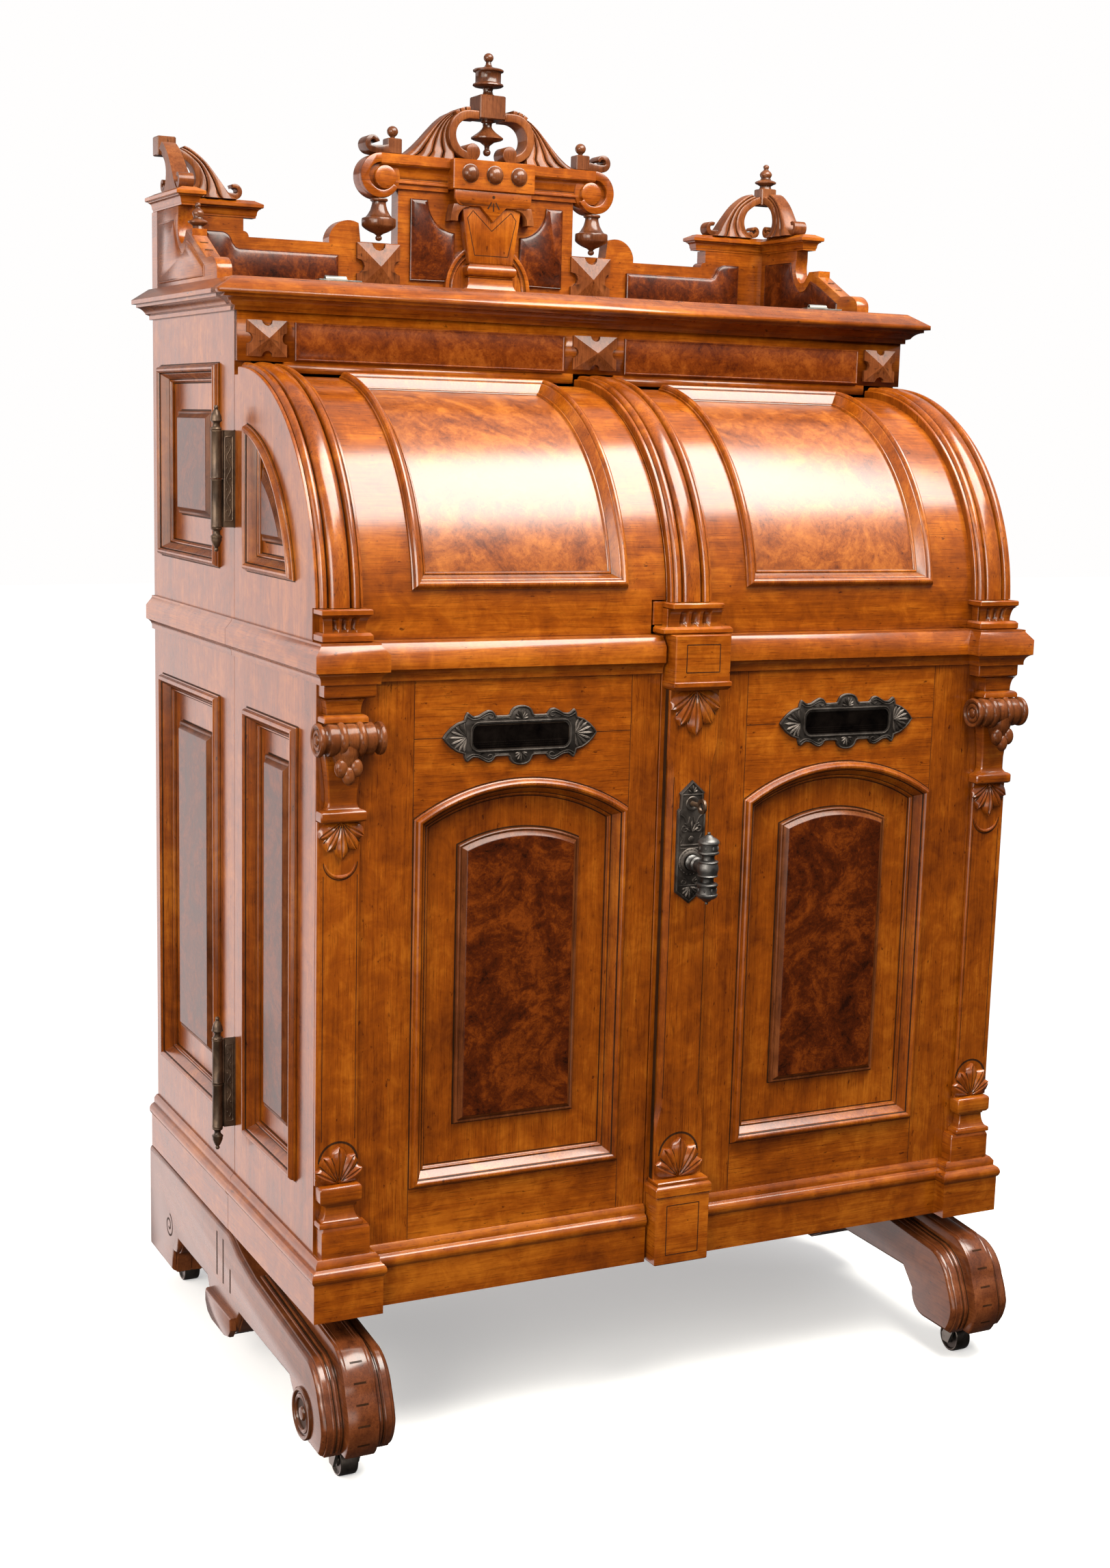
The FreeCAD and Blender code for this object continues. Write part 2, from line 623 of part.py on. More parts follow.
def door_cylinder(name, sign):
    """The bent top of a door: quarter-round shell with a curved frame and panel."""
    edge = -d.crown_edge - d.meeting_gap if sign < 0 else -d.crown_edge + d.meeting_gap
    hollow = d.crown_r - d.shell
    outline = [
        (SHELL_Y, d.waist_top), (SHELL_Y + d.shell, d.waist_top), (SHELL_Y + d.shell, d.crown_z, -hollow),
        (d.crown_y, CROWN_TOP - d.shell), (DOOR_REAR, CROWN_TOP - d.shell), (DOOR_REAR, CROWN_TOP),
        (d.crown_y, CROWN_TOP, d.crown_r), (SHELL_Y, d.crown_z),
    ]
    shell = pad(name + "_shell", "X", [outline], sign * SIDE_IN, edge)
    half = d.panel_half
    middle = sign * d.panel_x
    low, high = d.curve_low, d.curve_high
    tools = [pad(name + "_window", "X", [sector(hollow - 2, d.crown_r + 2, low, high)], middle - half, middle + half)]
    if sign < 0:
        tools.append(box(name + "_notch", (edge - d.crown_notch, edge + 1), (SHELL_Y - 1, SHELL_Y + d.shell + 1),
                         (d.waist_top - 1, d.centre_rib + 2)))
    board = cut(name, shell, tools)
    floor_r = d.crown_r - d.recess + 2
    frame_r = d.crown_r + d.frame_high
    inner = half - d.frame_wide
    bars = []
    for way, tag in ((-1, "left"), (1, "right")):
        bars.append(pad("%s_bar_%s" % (name, tag), "X", [sector(floor_r, frame_r, low, high)], middle + way * inner,
                        middle + way * half))
    for tag, start, end in (("low", low, low + d.curve_step), ("high", high - d.curve_step, high)):
        bars.append(pad("%s_bar_%s" % (name, tag), "X", [sector(floor_r, frame_r, start, end)], middle - inner,
                        middle + inner))
    panel = pad(name + "_panel", "X", [sector(floor_r - d.field, floor_r, low, high)], middle - half, middle + half)
    return board, bars, panel


def rib(name, start, low_x):
    """A bent rib that lies on the door top, starting on its capital."""
    rise = (start - d.crown_z) / d.crown_r
    first = Size(math.degrees(math.asin(rise.value)), "(asin(%s) / 1deg)" % rise.text)
    outline = sector(d.crown_r, d.crown_r + d.rib_high, first, d.rib_end)
    return pad(name, "X", [outline], low_x, low_x + d.rib_wide)


def corner_pilaster(name):
    """The left corner pilaster from its plinth core to the bent rib above its capital."""
    side = -d.body_half
    face = d.front_y
    middle = side + d.shaft_wide / 2 + 2
    half = d.shaft_wide / 2

    def out(depth):
        return face - depth, face

    def wide(amount):
        return middle - amount, middle + amount

    on_shaft = face - d.shaft_out
    pedestal = (side + d.pedestal_inset, side + d.pedestal_inset + d.pedestal_wide)
    pieces = [
        box(name + "_plinth_core", (side, side + d.plinth_break), out(d.break_deep), (DOOR_Z, d.plinth_top)),
        box(name + "_pedestal", pedestal, out(d.break_deep), (d.plinth_top, d.pedestal_top)),
        flare(name + "_pedestal_cove", wide(half), out(20), wide(half * 0.7), out(14),
              (d.pedestal_top, d.fan_slab_low)),
        box(name + "_fan_slab", wide(half), out(20), (d.fan_slab_low, d.fan_slab_top)),
        box(name + "_shaft", (side, side + d.shaft_wide), out(d.shaft_out), (d.fan_slab_top, d.bracket_low)),
        box(name + "_bracket", wide(half * 1.08), out(20), (d.bracket_low, d.bracket_low + 13)),
        flare(name + "_bracket_top", wide(half * 1.08), out(20), wide(half * 0.72), out(15),
              (d.bracket_low + 13, d.bracket_top)),
    ]
    fan = d.fan_slab_top + d.fan_high
    fan_half = d.fan_wide / 2
    pieces.append(pad(name + "_fan", "Y", [[
        (middle - fan_half * 0.6, d.fan_slab_top), (middle + fan_half * 0.6, d.fan_slab_top),
        (middle + fan_half, fan - d.fan_high * 0.28, d.fan_wide * 0.62), (middle - fan_half, fan - d.fan_high * 0.28),
    ]], on_shaft - d.carving, on_shaft))
    leaf = [
        (middle - fan_half * 0.6, d.bracket_low), (middle, d.leaf_low), (middle + fan_half * 0.6, d.bracket_low),
    ]
    pieces.append(pad(name + "_leaf", "Y", [leaf], on_shaft - d.carving, on_shaft))
    roll_z = d.roll_slab - d.roll_r
    roll_y = face - d.roll_r
    console = [
        (face, d.bracket_top), (face, d.roll_slab), (roll_y, d.roll_slab, d.roll_r), (roll_y - d.roll_r, roll_z, d.roll_r),
        (roll_y, roll_z - d.roll_r), (face - d.roll_r * 0.7, d.bracket_top),
    ]
    pieces.append(pad(name + "_console", "X", [console], middle - d.console_wide / 2, middle + d.console_wide / 2))
    pieces.append(bar(name + "_roll_left", "X", (roll_y, roll_z), d.roll_r, side - d.roll_start,
                      middle - d.console_wide / 2))
    pieces.append(bar(name + "_roll_right", "X", (roll_y, roll_z), d.roll_r, middle + d.console_wide / 2,
                      side - d.roll_start + d.roll_wide))
    neck = d.roll_slab + 8.5
    pieces += [
        box(name + "_roll_slab", wide(half * 1.03), out(d.roll_r + 4), (d.roll_slab, neck)),
        flare(name + "_neck", wide(half * 0.95), out(d.roll_r), wide(half * 0.85), out(d.roll_r * 0.7),
              (neck, d.abacus_low)),
        box(name + "_abacus", (side + 2, side + d.waist_break), out(d.break_deep), (d.abacus_low, d.waist_low)),
        box(name + "_waist_core", (side, side + d.waist_break), out(d.break_deep), (d.waist_low, d.waist_top)),
    ]
    slab_top = d.waist_top + d.capital_low
    cove_top = slab_top + d.capital_cove
    cap_x = (side, side + d.rib_wide + 4)
    cove_x = (side + 4, side + d.rib_wide - 4)
    back = SHELL_Y
    pieces += [
        box(name + "_capital_slab", (side + 1, side + d.waist_break - 2), (back - d.capital_out, back),
            (d.waist_top, slab_top)),
        flare(name + "_capital_cove", cove_x, (back - d.capital_out * 0.65, back), cap_x,
              (back - d.capital_out * 0.9, back), (slab_top, cove_top)),
        box(name + "_capital_top", cap_x, (back - d.capital_out * 0.95, back), (cove_top, cove_top + d.capital_top)),
    ]
    pieces.append(rib(name + "_rib", cove_top + d.capital_top, side))
    return pieces


def centre_pilaster(name):
    """The pilaster on the free edge of the right door, with the middle rib above it."""
    face = d.front_y

    def out(depth, start=0):
        return face - start - depth, face - start

    def wide(half):
        return -half, half

    shaft = [
        (d.shaft_half, face), (-d.shaft_half, face), (-d.shaft_half, face - d.centre_out / 4),
        (-d.shaft_flat, face - d.centre_out), (d.shaft_flat, face - d.centre_out),
        (d.shaft_half, face - d.centre_out / 4),
    ]
    blank = pad(name + "_shaft_blank", "Z", [shaft], d.foot_slab_top, d.centre_slab)
    bores = [
        bore(name + "_handle_bore", "Y", (0, d.handle_z), d.spindle_r + d.hole_room, face - 20, face + 1),
        bore(name + "_key_bore", "Y", (0, d.key_z), d.key_r + d.hole_room, face - 20, face + 1),
    ]
    fan_half = d.shaft_flat
    leaf_half = d.shaft_flat
    shoulder = d.centre_slab - (d.centre_slab - d.centre_leaf) * 0.4
    pieces = [
        box(name + "_foot", wide(d.block_half), out(d.block_out), (DOOR_Z, d.foot_block_top)),
        box(name + "_foot_slab", wide(d.slab_half), out(d.slab_out), (d.foot_block_top, d.foot_slab_top)),
        cut(name + "_shaft", blank, bores),
        pad(name + "_fan", "Y", [[
            (-fan_half * 0.75, d.foot_slab_top), (fan_half * 0.75, d.foot_slab_top),
            (fan_half, d.centre_fan - 16, fan_half * 1.25), (-fan_half, d.centre_fan - 16),
        ]], face - d.centre_out - d.carving, face - d.centre_out),
        pad(name + "_leaf", "Y", [[
            (-leaf_half, d.centre_slab), (-leaf_half, shoulder), (0, d.centre_leaf), (leaf_half, shoulder),
            (leaf_half, d.centre_slab),
        ]], face - d.centre_out - d.carving, face - d.centre_out),
        box(name + "_slab", wide(d.slab_half), out(d.slab_out), (d.centre_slab, d.centre_block)),
        box(name + "_block", wide(d.block_half), out(d.block_out), (d.centre_block, d.centre_cap)),
    ]
    slab_top = d.centre_cap + d.centre_cap_low
    cove_top = d.centre_rib - d.capital_top
    back = SHELL_Y
    pieces += [
        box(name + "_capital_slab", wide(d.centre_cap_half), (back - d.capital_out, back), (d.centre_cap, slab_top)),
        flare(name + "_capital_cove", wide(d.centre_cap_half * 0.86), (back - d.capital_out * 0.65, back),
              wide(d.centre_top_half - 2), (back - d.capital_out * 0.85, back), (slab_top, cove_top)),
        box(name + "_capital_top", wide(d.centre_top_half), (back - d.capital_out * 0.95, back),
            (cove_top, d.centre_rib)),
    ]
    pieces.append(rib(name + "_rib", d.centre_rib, -d.rib_wide / 2))
    return pieces


def letter_plate(name, sign):
    """Shaped plate round a letter slot, with bores for the trunnions of its flap."""
    middle = sign * d.plate_x
    half, high = d.plate_half, d.plate_high / 2

    def spot(across, up):
        return middle + across * half, d.plate_z + up * high

    rows = [(-1, -0.14), (-0.9, -0.36), (-0.86, -0.84), (-0.4, -0.84), (-0.3, -1), (0.3, -1), (0.4, -0.84)]
    rows += [(0.86, -0.84), (0.9, -0.36), (1, -0.14)]
    outline = [spot(*row) for row in rows] + [spot(row[0], -row[1]) for row in reversed(rows)]
    plate = pad(name + "_blank", "Y", [outline, rectangle((slot_x(sign, -1), slot_x(sign, 1)), slot_z())],
                d.front_y - d.plate_thick, d.front_y)
    bore_y, bore_z = flap_axis()
    reach = d.trunnion + d.flap_gap
    hole = bore(name + "_bore", "X", (bore_y, bore_z), d.trunnion_r + d.running_fit, slot_x(sign, -1) - reach,
                slot_x(sign, 1) + reach)
    return cut(name, plate, [hole])


def flap_axis():
    return d.front_y - d.plate_thick / 2, slot_z()[1] - 3


def letter_flap(name):
    axis_y, axis_z = flap_axis()
    low, high = slot_z()
    x = (slot_x(-1, -1), slot_x(-1, 1))
    leaf = box(name + "_leaf", (x[0] + d.flap_gap, x[1] - d.flap_gap),
               (axis_y - d.flap_thick / 2, axis_y + d.flap_thick / 2), (low + d.flap_gap, axis_z + d.trunnion_r))
    rod = cylinder(name + "_rod", "X", (axis_y, axis_z), d.trunnion_r, x[0] - d.trunnion, x[1] + d.trunnion)
    return fuse(name, [leaf, rod])


def lock_set():
    """Lock plate with its case, T-handle, key and latch bolt on the right door."""
    face = d.front_y - d.centre_out
    front = face - d.lock_thick
    outline = [
        (-d.lock_half, d.lock_low), (d.lock_half, d.lock_low), (d.lock_half, d.lock_shoulder),
        (d.lock_neck, d.lock_shoulder + 4), (d.lock_neck, d.lock_high), (-d.lock_neck, d.lock_high),
        (-d.lock_neck, d.lock_shoulder + 4), (-d.lock_half, d.lock_shoulder),
    ]
    blank = pad("lock_blank", "Y", [outline], front, face)
    rosette = bar("lock_rosette", "Y", (0, d.handle_z), d.rosette_r, front - d.rosette, front, WHEEL_FACETS)
    holes = [
        bore("lock_handle_hole", "Y", (0, d.handle_z), d.spindle_r + d.running_fit, front - d.rosette - 1, face + 1),
        bore("lock_key_hole", "Y", (0, d.key_z), d.key_r + d.running_fit, front - 1, face + 1),
    ]
    plate = cut("lock_escutcheon", fuse("lock_front", [blank, rosette]), holes)
    case_y = (INNER_FRONT, INNER_FRONT + d.case_deep)
    wall = d.case_wall
    case_x = (-d.case_half, d.case_half)
    shell = box("lock_case_shell", case_x, case_y, (d.lock_low, d.lock_high))
    room = box("lock_case_room", (case_x[0] + wall, case_x[1] - wall), (case_y[0] - 1, case_y[1] - wall),
               (d.lock_low + wall, d.lock_high - wall))
    gate = box("lock_case_gate", (case_x[0] - 1, case_x[0] + wall + 1),
               (case_y[0] - 1, case_y[0] + d.bolt_back + d.bolt_deep + d.knuckle_gap),
               (d.bolt_z - d.bolt_high / 2 - d.knuckle_gap, d.bolt_z + d.bolt_high / 2 + d.knuckle_gap))
    case = cut("lock_case", shell, [room, gate])
    node("lock_plate", [plate, case])
    spindle = cylinder("handle_spindle", "Y", (0, d.handle_z), d.spindle_r, d.grip_y, INNER_FRONT + 8)
    grip = turned("handle_grip", [
        (d.grip_end, -d.grip_half), (d.grip_end + 2, -d.grip_half * 0.85), (d.grip_r - 1, -d.grip_half * 0.45),
        (d.grip_r, 0), (d.grip_r - 1, d.grip_half * 0.45), (d.grip_end + 2, d.grip_half * 0.85),
        (d.grip_end, d.grip_half),
    ], 0, d.grip_y, d.handle_z)
    collar = bar("handle_collar", "Y", (0, d.handle_z), d.spindle_r * 1.6, d.grip_y, d.grip_y + d.grip_r * 1.7)
    node("handle", [fuse("handle_whole", [spindle, grip, collar])])
    shank = cylinder("key_shank", "Y", (0, d.key_z), d.key_r, d.key_front + 2 * d.bow_r - 2, INNER_FRONT + 14)
    bow_y = d.key_front + d.bow_r
    bow = cut("key_bow", bar("key_ring", "X", (bow_y, d.key_z), d.bow_r, -d.bow_thick / 2, d.bow_thick / 2), [
        bar("key_eye", "X", (bow_y, d.key_z), d.bow_hole, -d.bow_thick, d.bow_thick)])
    bit = box("key_bit", (-1, 1), (INNER_FRONT + 4, INNER_FRONT + 13), (d.key_z - 11, d.key_z - d.key_r + 1))
    node("key", [fuse("key_whole", [shank, bow, bit])])
    bolt_x = (case_x[0] - d.bolt_reach, case_x[1] - wall - d.hole_room)
    bolt_y = case_y[0] + d.bolt_back
    node("latch_bolt", [box("latch_bar", bolt_x, (bolt_y, bolt_y + d.bolt_deep),
                            (d.bolt_z - d.bolt_high / 2, d.bolt_z + d.bolt_high / 2))])


def finial_profile(radius, height):
    """Turned bud over a flat flange."""
    return [
        (radius * 0.6, 0), (radius, height * 0.26), (radius * 0.5, height * 0.46), (radius * 0.62, height * 0.66),
        (radius * 0.2, height),
    ]


def hinge_leaves(name, sign):
    """One half of both door hinges: the door half (sign 1) or the carcass half (sign -1)."""
    axis_x = -d.body_half - d.hinge_out
    axis_y = d.seam_y - d.seam_gap / 2
    leaf_x = (axis_x + d.leaf_edge, -SIDE_IN)
    if sign > 0:
        leaf_y = (DOOR_REAR - d.leaf, DOOR_REAR)
    else:
        leaf_y = (d.seam_y, d.seam_y + d.leaf)
    wholes = []
    for step, low in enumerate((d.upper_hinge, d.lower_hinge)):
        tag = "%s_%d" % (name, step)
        high = low + d.leaf_high
        joint = low + d.leaf_high / 2
        plate = box(tag + "_leaf", leaf_x, leaf_y, (low, high))
        if sign > 0:
            z = (joint + d.knuckle_gap, high)
        else:
            z = (low, joint)
        web = box(tag + "_web", (axis_x, leaf_x[0] + 1), leaf_y, z)
        barrel = bar(tag + "_barrel", "Z", (axis_x, axis_y), d.barrel_r, z[0], z[1])
        tip = turned(tag + "_tip", finial_profile(d.barrel_r * 1.1, d.finial_high), axis_x, axis_y,
                     high if sign > 0 else low, "Z" if sign > 0 else "-Z")
        if sign > 0:
            body = fuse(tag + "_body", [plate, web, barrel, tip])
            hole = bore(tag + "_bore", "Z", (axis_x, axis_y), d.pin_r + d.running_fit, joint - 1,
                        joint + d.pin_long + 1)
            wholes.append(cut(tag, body, [hole]))
        else:
            pin = cylinder(tag + "_pin", "Z", (axis_x, axis_y), d.pin_r, joint - 1, joint + d.pin_long)
            wholes.append(fuse(tag, [plate, web, barrel, tip, pin]))
    return wholes


def door_shelves(name):
    """Fittings inside the left door: floor, shelves and an upright."""
    x = (-SIDE_IN, -d.door_inner)
    deep = (INNER_FRONT, INNER_FRONT + d.door_shelf)
    levels = [d.door_shelf_1, d.door_shelf_2, d.door_shelf_3, d.waist_low]
    pieces = [box(name + "_floor", x, (INNER_FRONT, DOOR_REAR), (DOOR_Z, DOOR_Z + d.board))]
    floor = DOOR_Z + d.board
    for step, level in enumerate(levels):
        pieces.append(box("%s_board_%d" % (name, step), x, deep, (level, level + d.divider)))
        if step < len(levels) - 1:
            pieces.append(box("%s_upright_%d" % (name, step), (-d.door_divider - d.divider, -d.door_divider), deep,
                              (floor, level)))
        floor = level + d.divider
    return pieces


def build_doors():
    board, frame, panels = door_side("left_side_board")
    node("left_door_side", [board])
    shelves = node("left_door_shelves", door_shelves("left_shelf"))
    leaves = node("left_door_hinges", hinge_leaves("left_leaf", 1))
    pilaster = node("left_pilaster", corner_pilaster("left_corner"))
    node("right_door_side", [mirrored("right_side_board", board)])
    node("right_door_shelves", [mirrored("right_shelf_set", shelves)])
    node("right_door_hinges", [mirrored("right_leaf_set", leaves)])
    node("right_pilaster", [mirrored("right_corner_set", pilaster)])
    for sign, side, end in ((-1, "left", LEFT_EDGE), (1, "right", d.block_half)):
        node(side + "_door_front", [door_front(side + "_front_board", sign)])
        outline = lambda inset, sign=sign: arch(sign, inset)
        raised = arch(sign, d.front_margin, d.front_foot)
        front_frame, front_panel = framed(side + "_front", "Y", outline, d.front_y, raised)
        shell, bars, curved = door_cylinder(side + "_crown", sign)
        node(side + "_door_cylinder", [shell])
        if sign < 0:
            side_frame, side_panels = frame, panels
        else:
            side_frame = [mirrored("%s_frame_%d" % (side, step), item) for step, item in enumerate(frame)]
            side_panels = [mirrored("%s_raised_%d" % (side, step), item) for step, item in enumerate(panels)]
        node(side + "_door_frames", front_frame + bars + side_frame)
        node(side + "_door_panels", [front_panel, curved] + side_panels)
        node(side + "_door_mouldings", [
            run(side + "_waist", door_route(sign, d.waist_break, d.break_deep, end), profile_waist(sign)),
            run(side + "_plinth", door_route(sign, d.plinth_break, d.break_deep, end), profile_plinth(sign, DOOR_Z)),
        ])
    node("left_letter_plate", [letter_plate("left_plate", -1)])
    node("letter_flap", [letter_flap("left_flap")])
    blank = box("right_plate_blank", (slot_x(1, -1), slot_x(1, 1)), (d.front_y - d.flap_thick, d.front_y), slot_z())
    plate = mirrored("right_plate", DOC.getObject("left_plate_blank"))
    node("right_letter_plate", [plate, blank])
    node("centre_pilaster", centre_pilaster("centre"))
    lock_set()


def carcass_side(name):
    upper = inset_rectangle((d.rear_side_front, d.rear_side_rear), (d.rear_upper_low, d.rear_upper_high))
    lower = inset_rectangle((d.rear_side_front, d.rear_side_rear), (d.side_low, d.side_high))
    blank = pad(name + "_blank", "X", [rectangle((d.seam_y, d.back_y), (d.base_z, TOP_LOW)), upper(0),
                                       lower(0)], -d.body_half, -SIDE_IN)
    board = cut(name, blank, mortises(name, (d.seam_y, d.seam_y + d.leaf)))
    frame_up, panel_up = framed(name + "_up", "X", upper, -d.body_half, upper(d.rear_margin))
    frame_low, panel_low = framed(name + "_low", "X", lower, -d.body_half, lower(d.rear_margin))
    return board, frame_up + frame_low, [panel_up, panel_low]


def build_carcass():
    board, frame, panels = carcass_side("carcass_side_board")
    node("carcass_left_side", [board])
    node("carcass_right_side", [mirrored("carcass_side_right", board)])
    frame_right = [mirrored("carcass_frame_%d" % step, item) for step, item in enumerate(frame)]
    node("carcass_frames", frame + frame_right)
    node("carcass_panels", panels + [mirrored("carcass_raised_%d" % step, item) for step, item in enumerate(panels)])
    mouldings = []
    for sign, side in ((-1, "left"), (1, "right")):
        mouldings.append(pad("carcass_waist_" + side, "Y", [profile_waist(sign)], d.seam_y, d.back_y))
        mouldings.append(pad("carcass_plinth_" + side, "Y", [profile_plinth(sign, d.base_z)], d.seam_y, d.back_y))
    node("carcass_mouldings", mouldings)
    inner = (-SIDE_IN, SIDE_IN)
    node("carcass_back", [box("back_board", inner, (INNER_BACK, d.back_y), (d.base_z + d.board, TOP_LOW))])
    node("carcass_bottom", [box("bottom_board", inner, (d.seam_y, d.back_y), (d.base_z, d.base_z + d.board))])
    top = box("top_board", (-d.body_half, d.body_half), (d.seam_y, d.back_y), (TOP_LOW, d.top_z))
    node("carcass_top", [top] + [
        pad("side_cornice_" + side, "Y", [profile_cornice(sign)], d.seam_y, d.back_y)
        for sign, side in ((-1, "left"), (1, "right"))
    ])
    build_interior(inner)
    left = hinge_leaves("carcass_leaf", -1)
    rear = []
    for sign, side in ((-1, "left"), (1, "right")):
        rear.append(top_hinge("rear_leaf_" + side, sign, False))
    node("carcass_hinges", left + [mirrored("carcass_leaf_right_%d" % step, item) for step, item in enumerate(left)]
         + rear)


def build_interior(inner):
    """Shelves, pigeonholes, drawers and the folding writing board inside the carcass."""
    floor = d.base_z + d.board
    deep = (d.seam_y + d.thin_board / 2, INNER_BACK)
    shelf_deep = (d.shelf_front, INNER_BACK)
    half = d.divider / 2
    boards = [box("bed_board", inner, deep, (d.bed_z, d.bed_z + d.board))]
    for sign, side in ((-1, "left"), (1, "right")):
        middle = sign * d.column_x
        boards.append(box("column_" + side, (middle - half, middle + half), deep, (floor, d.bed_z)))
    between = (-d.column_x + half, d.column_x - half)
    for step in range(1, 3):
        level = floor + (d.bed_z - floor) / 3 * step
        boards.append(box("centre_shelf_%d" % step, between, deep, (level, level + d.divider)))
    bed = d.bed_z + d.board
    levels = [bed, d.pigeon_z, d.upper_shelf, d.store_floor, TOP_LOW]
    for tier in range(4):
        low, high = levels[tier], levels[tier + 1]
        start = low if tier == 0 else low + d.divider
        reach = shelf_deep if tier < 2 else deep
        if tier:
            boards.append(box("tier_shelf_%d" % tier, inner, reach, (low, low + d.divider)))
        for step in (-1, 0, 1) if tier < 3 else ():
            middle = step * d.pigeon_step
            boards.append(box("pigeonhole_%d_%d" % (tier, step + 1), (middle - half, middle + half), reach,
                              (start, high)))
    node("carcass_interior", boards)
    fall_y = (d.fall_front, d.fall_front + d.fall_thick)
    node("writing_fall", [box("fall_board", (-SIDE_IN + d.fall_gap, SIDE_IN - d.fall_gap), fall_y,
                              (bed, d.upper_shelf - d.fall_gap))])
    drawers = []
    step_high = (d.bed_z - floor) / 3
    for sign, side in ((-1, "left"), (1, "right")):
        near = d.column_x + half + d.drawer_gap / 4
        far = SIDE_IN - d.drawer_gap / 4
        x = (sign * near, sign * far)
        x = ordered(x)
        for step in range(3):
            tag = "drawer_%s_%d" % (side, step)
            low = floor + step_high * step
            high = low + step_high - d.drawer_gap / 4
            outer = box(tag + "_block", x, deep, (low, high))
            hollow = box(tag + "_room", (x[0] + d.drawer_wall, x[1] - d.drawer_wall),
                         (deep[0] + 2 * d.drawer_wall, deep[1] - d.drawer_wall), (low + d.drawer_wall, high + 1))
            drawers.append(cut(tag, outer, [hollow]))
    node("interior_drawers", drawers)


def top_hinge(name, sign, on_flap):
    """Half of a butt hinge on the top: the middle knuckle moves, the outer two and the pin stay."""
    middle = sign * d.top_hinge_x
    half = d.top_hinge_half
    third = half / 2
    axis_z = d.top_z + d.top_barrel_r
    spot = (d.top_hinge_y, axis_z)
    leaf_z = (d.top_z, d.top_z + d.top_leaf)
    if on_flap:
        near = d.top_hinge_y - d.top_barrel_r - d.knuckle_gap
        plate = box(name + "_plate", (middle - half, middle + half), (near - d.top_leaf_wide * 0.8, near), leaf_z)
        span = (middle - third, middle + third)
        web = box(name + "_web", span, (near - 2, d.top_hinge_y), (d.top_z + d.top_leaf / 2, axis_z))
        barrel = bar(name + "_barrel", "X", spot, d.top_barrel_r, span[0], span[1])
        body = fuse(name + "_body", [plate, web, barrel])
        hole = bore(name + "_bore", "X", spot, d.top_pin_r + d.running_fit, span[0] - 1, span[1] + 1)
        return cut(name, body, [hole])
    near = d.top_hinge_y + d.top_barrel_r + d.knuckle_gap
    pieces = [box(name + "_plate", (middle - half, middle + half), (near, near + d.top_leaf_wide), leaf_z)]
    for way in (-1, 1):
        tag = "%s_%s" % (name, "outer" if way * sign > 0 else "inner")
        span = (middle + way * (third + d.knuckle_gap), middle + way * half)
        pieces.append(bar(tag + "_barrel", "X", spot, d.top_barrel_r, span[0], span[1]))
        pieces.append(box(tag + "_web", span, (d.top_hinge_y, near + 2), (d.top_z + d.top_leaf / 2, axis_z)))
    pieces.append(cylinder(name + "_pin", "X", spot, d.top_pin_r, middle - half, middle + half))
    return fuse(name, pieces)


def build_flap():
    """The frieze and front cornice, scribed over the ribs and hinged along its top edge."""
    low, high = d.frieze_low, d.top_z
    notch = CROWN_TOP + d.rib_high + d.notch_room
    reach = d.body_half
    inner = reach - d.rib_wide - d.notch_room
    middle = d.rib_wide / 2 + d.notch_room
    deep = (d.crown_y, DOOR_REAR)
    boards = [box("frieze_board", (-reach, reach), deep, (notch, high))]
    for sign, side in ((-1, "left"), (1, "right")):
        boards.append(box("frieze_strip_" + side, (sign * middle, sign * inner), deep, (low, notch)))
    route = [(-reach, DOOR_REAR), (-reach, d.crown_y), (reach, d.crown_y), (reach, DOOR_REAR)]
    cornice = run("front_cornice", route, profile_cornice(-1))
    node("top_flap", boards + [cornice])
    panels = []
    for sign, side in ((-1, "left"), (1, "right")):
        panels.append(pad("frieze_burl_" + side, "Y", [rectangle(
            (sign * d.frieze_panel_inner, sign * d.frieze_panel_outer), (d.frieze_panel_low, d.frieze_panel_high))],
            d.crown_y - d.frieze_panel, d.crown_y, d.frieze_bevel))
    node("frieze_panels", panels)
    spans = [(-d.x_outer, -d.x_outer + d.x_wide), (-d.x_centre, d.x_centre), (d.x_outer - d.x_wide, d.x_outer)]
    node("frieze_blocks", [
        pad("saltire_block_%d" % step, "Y", [rectangle(span, (d.x_low, d.x_high))], d.crown_y - d.x_out, d.crown_y, 2)
        for step, span in enumerate(spans)
    ])
    node("flap_hinges", [top_hinge("front_leaf_" + side, sign, True) for sign, side in ((-1, "left"), (1, "right"))])


GALLERY_Y = d.back_y - d.gallery_thick
CREST = d.volute_z + d.volute_r
CAP_TOP = d.post_top + d.cap_high


def both(half):
    """A closed outline from its right half, listed from the bottom to the top."""
    left = []
    rows = list(half)
    for step in range(len(rows) - 1, -1, -1):
        corner = (-size(rows[step][0]), rows[step][1])
        bend = rows[step - 1][2] if step and len(rows[step - 1]) > 2 else None
        left.append(corner if bend is None else corner + (bend,))
    return rows + left


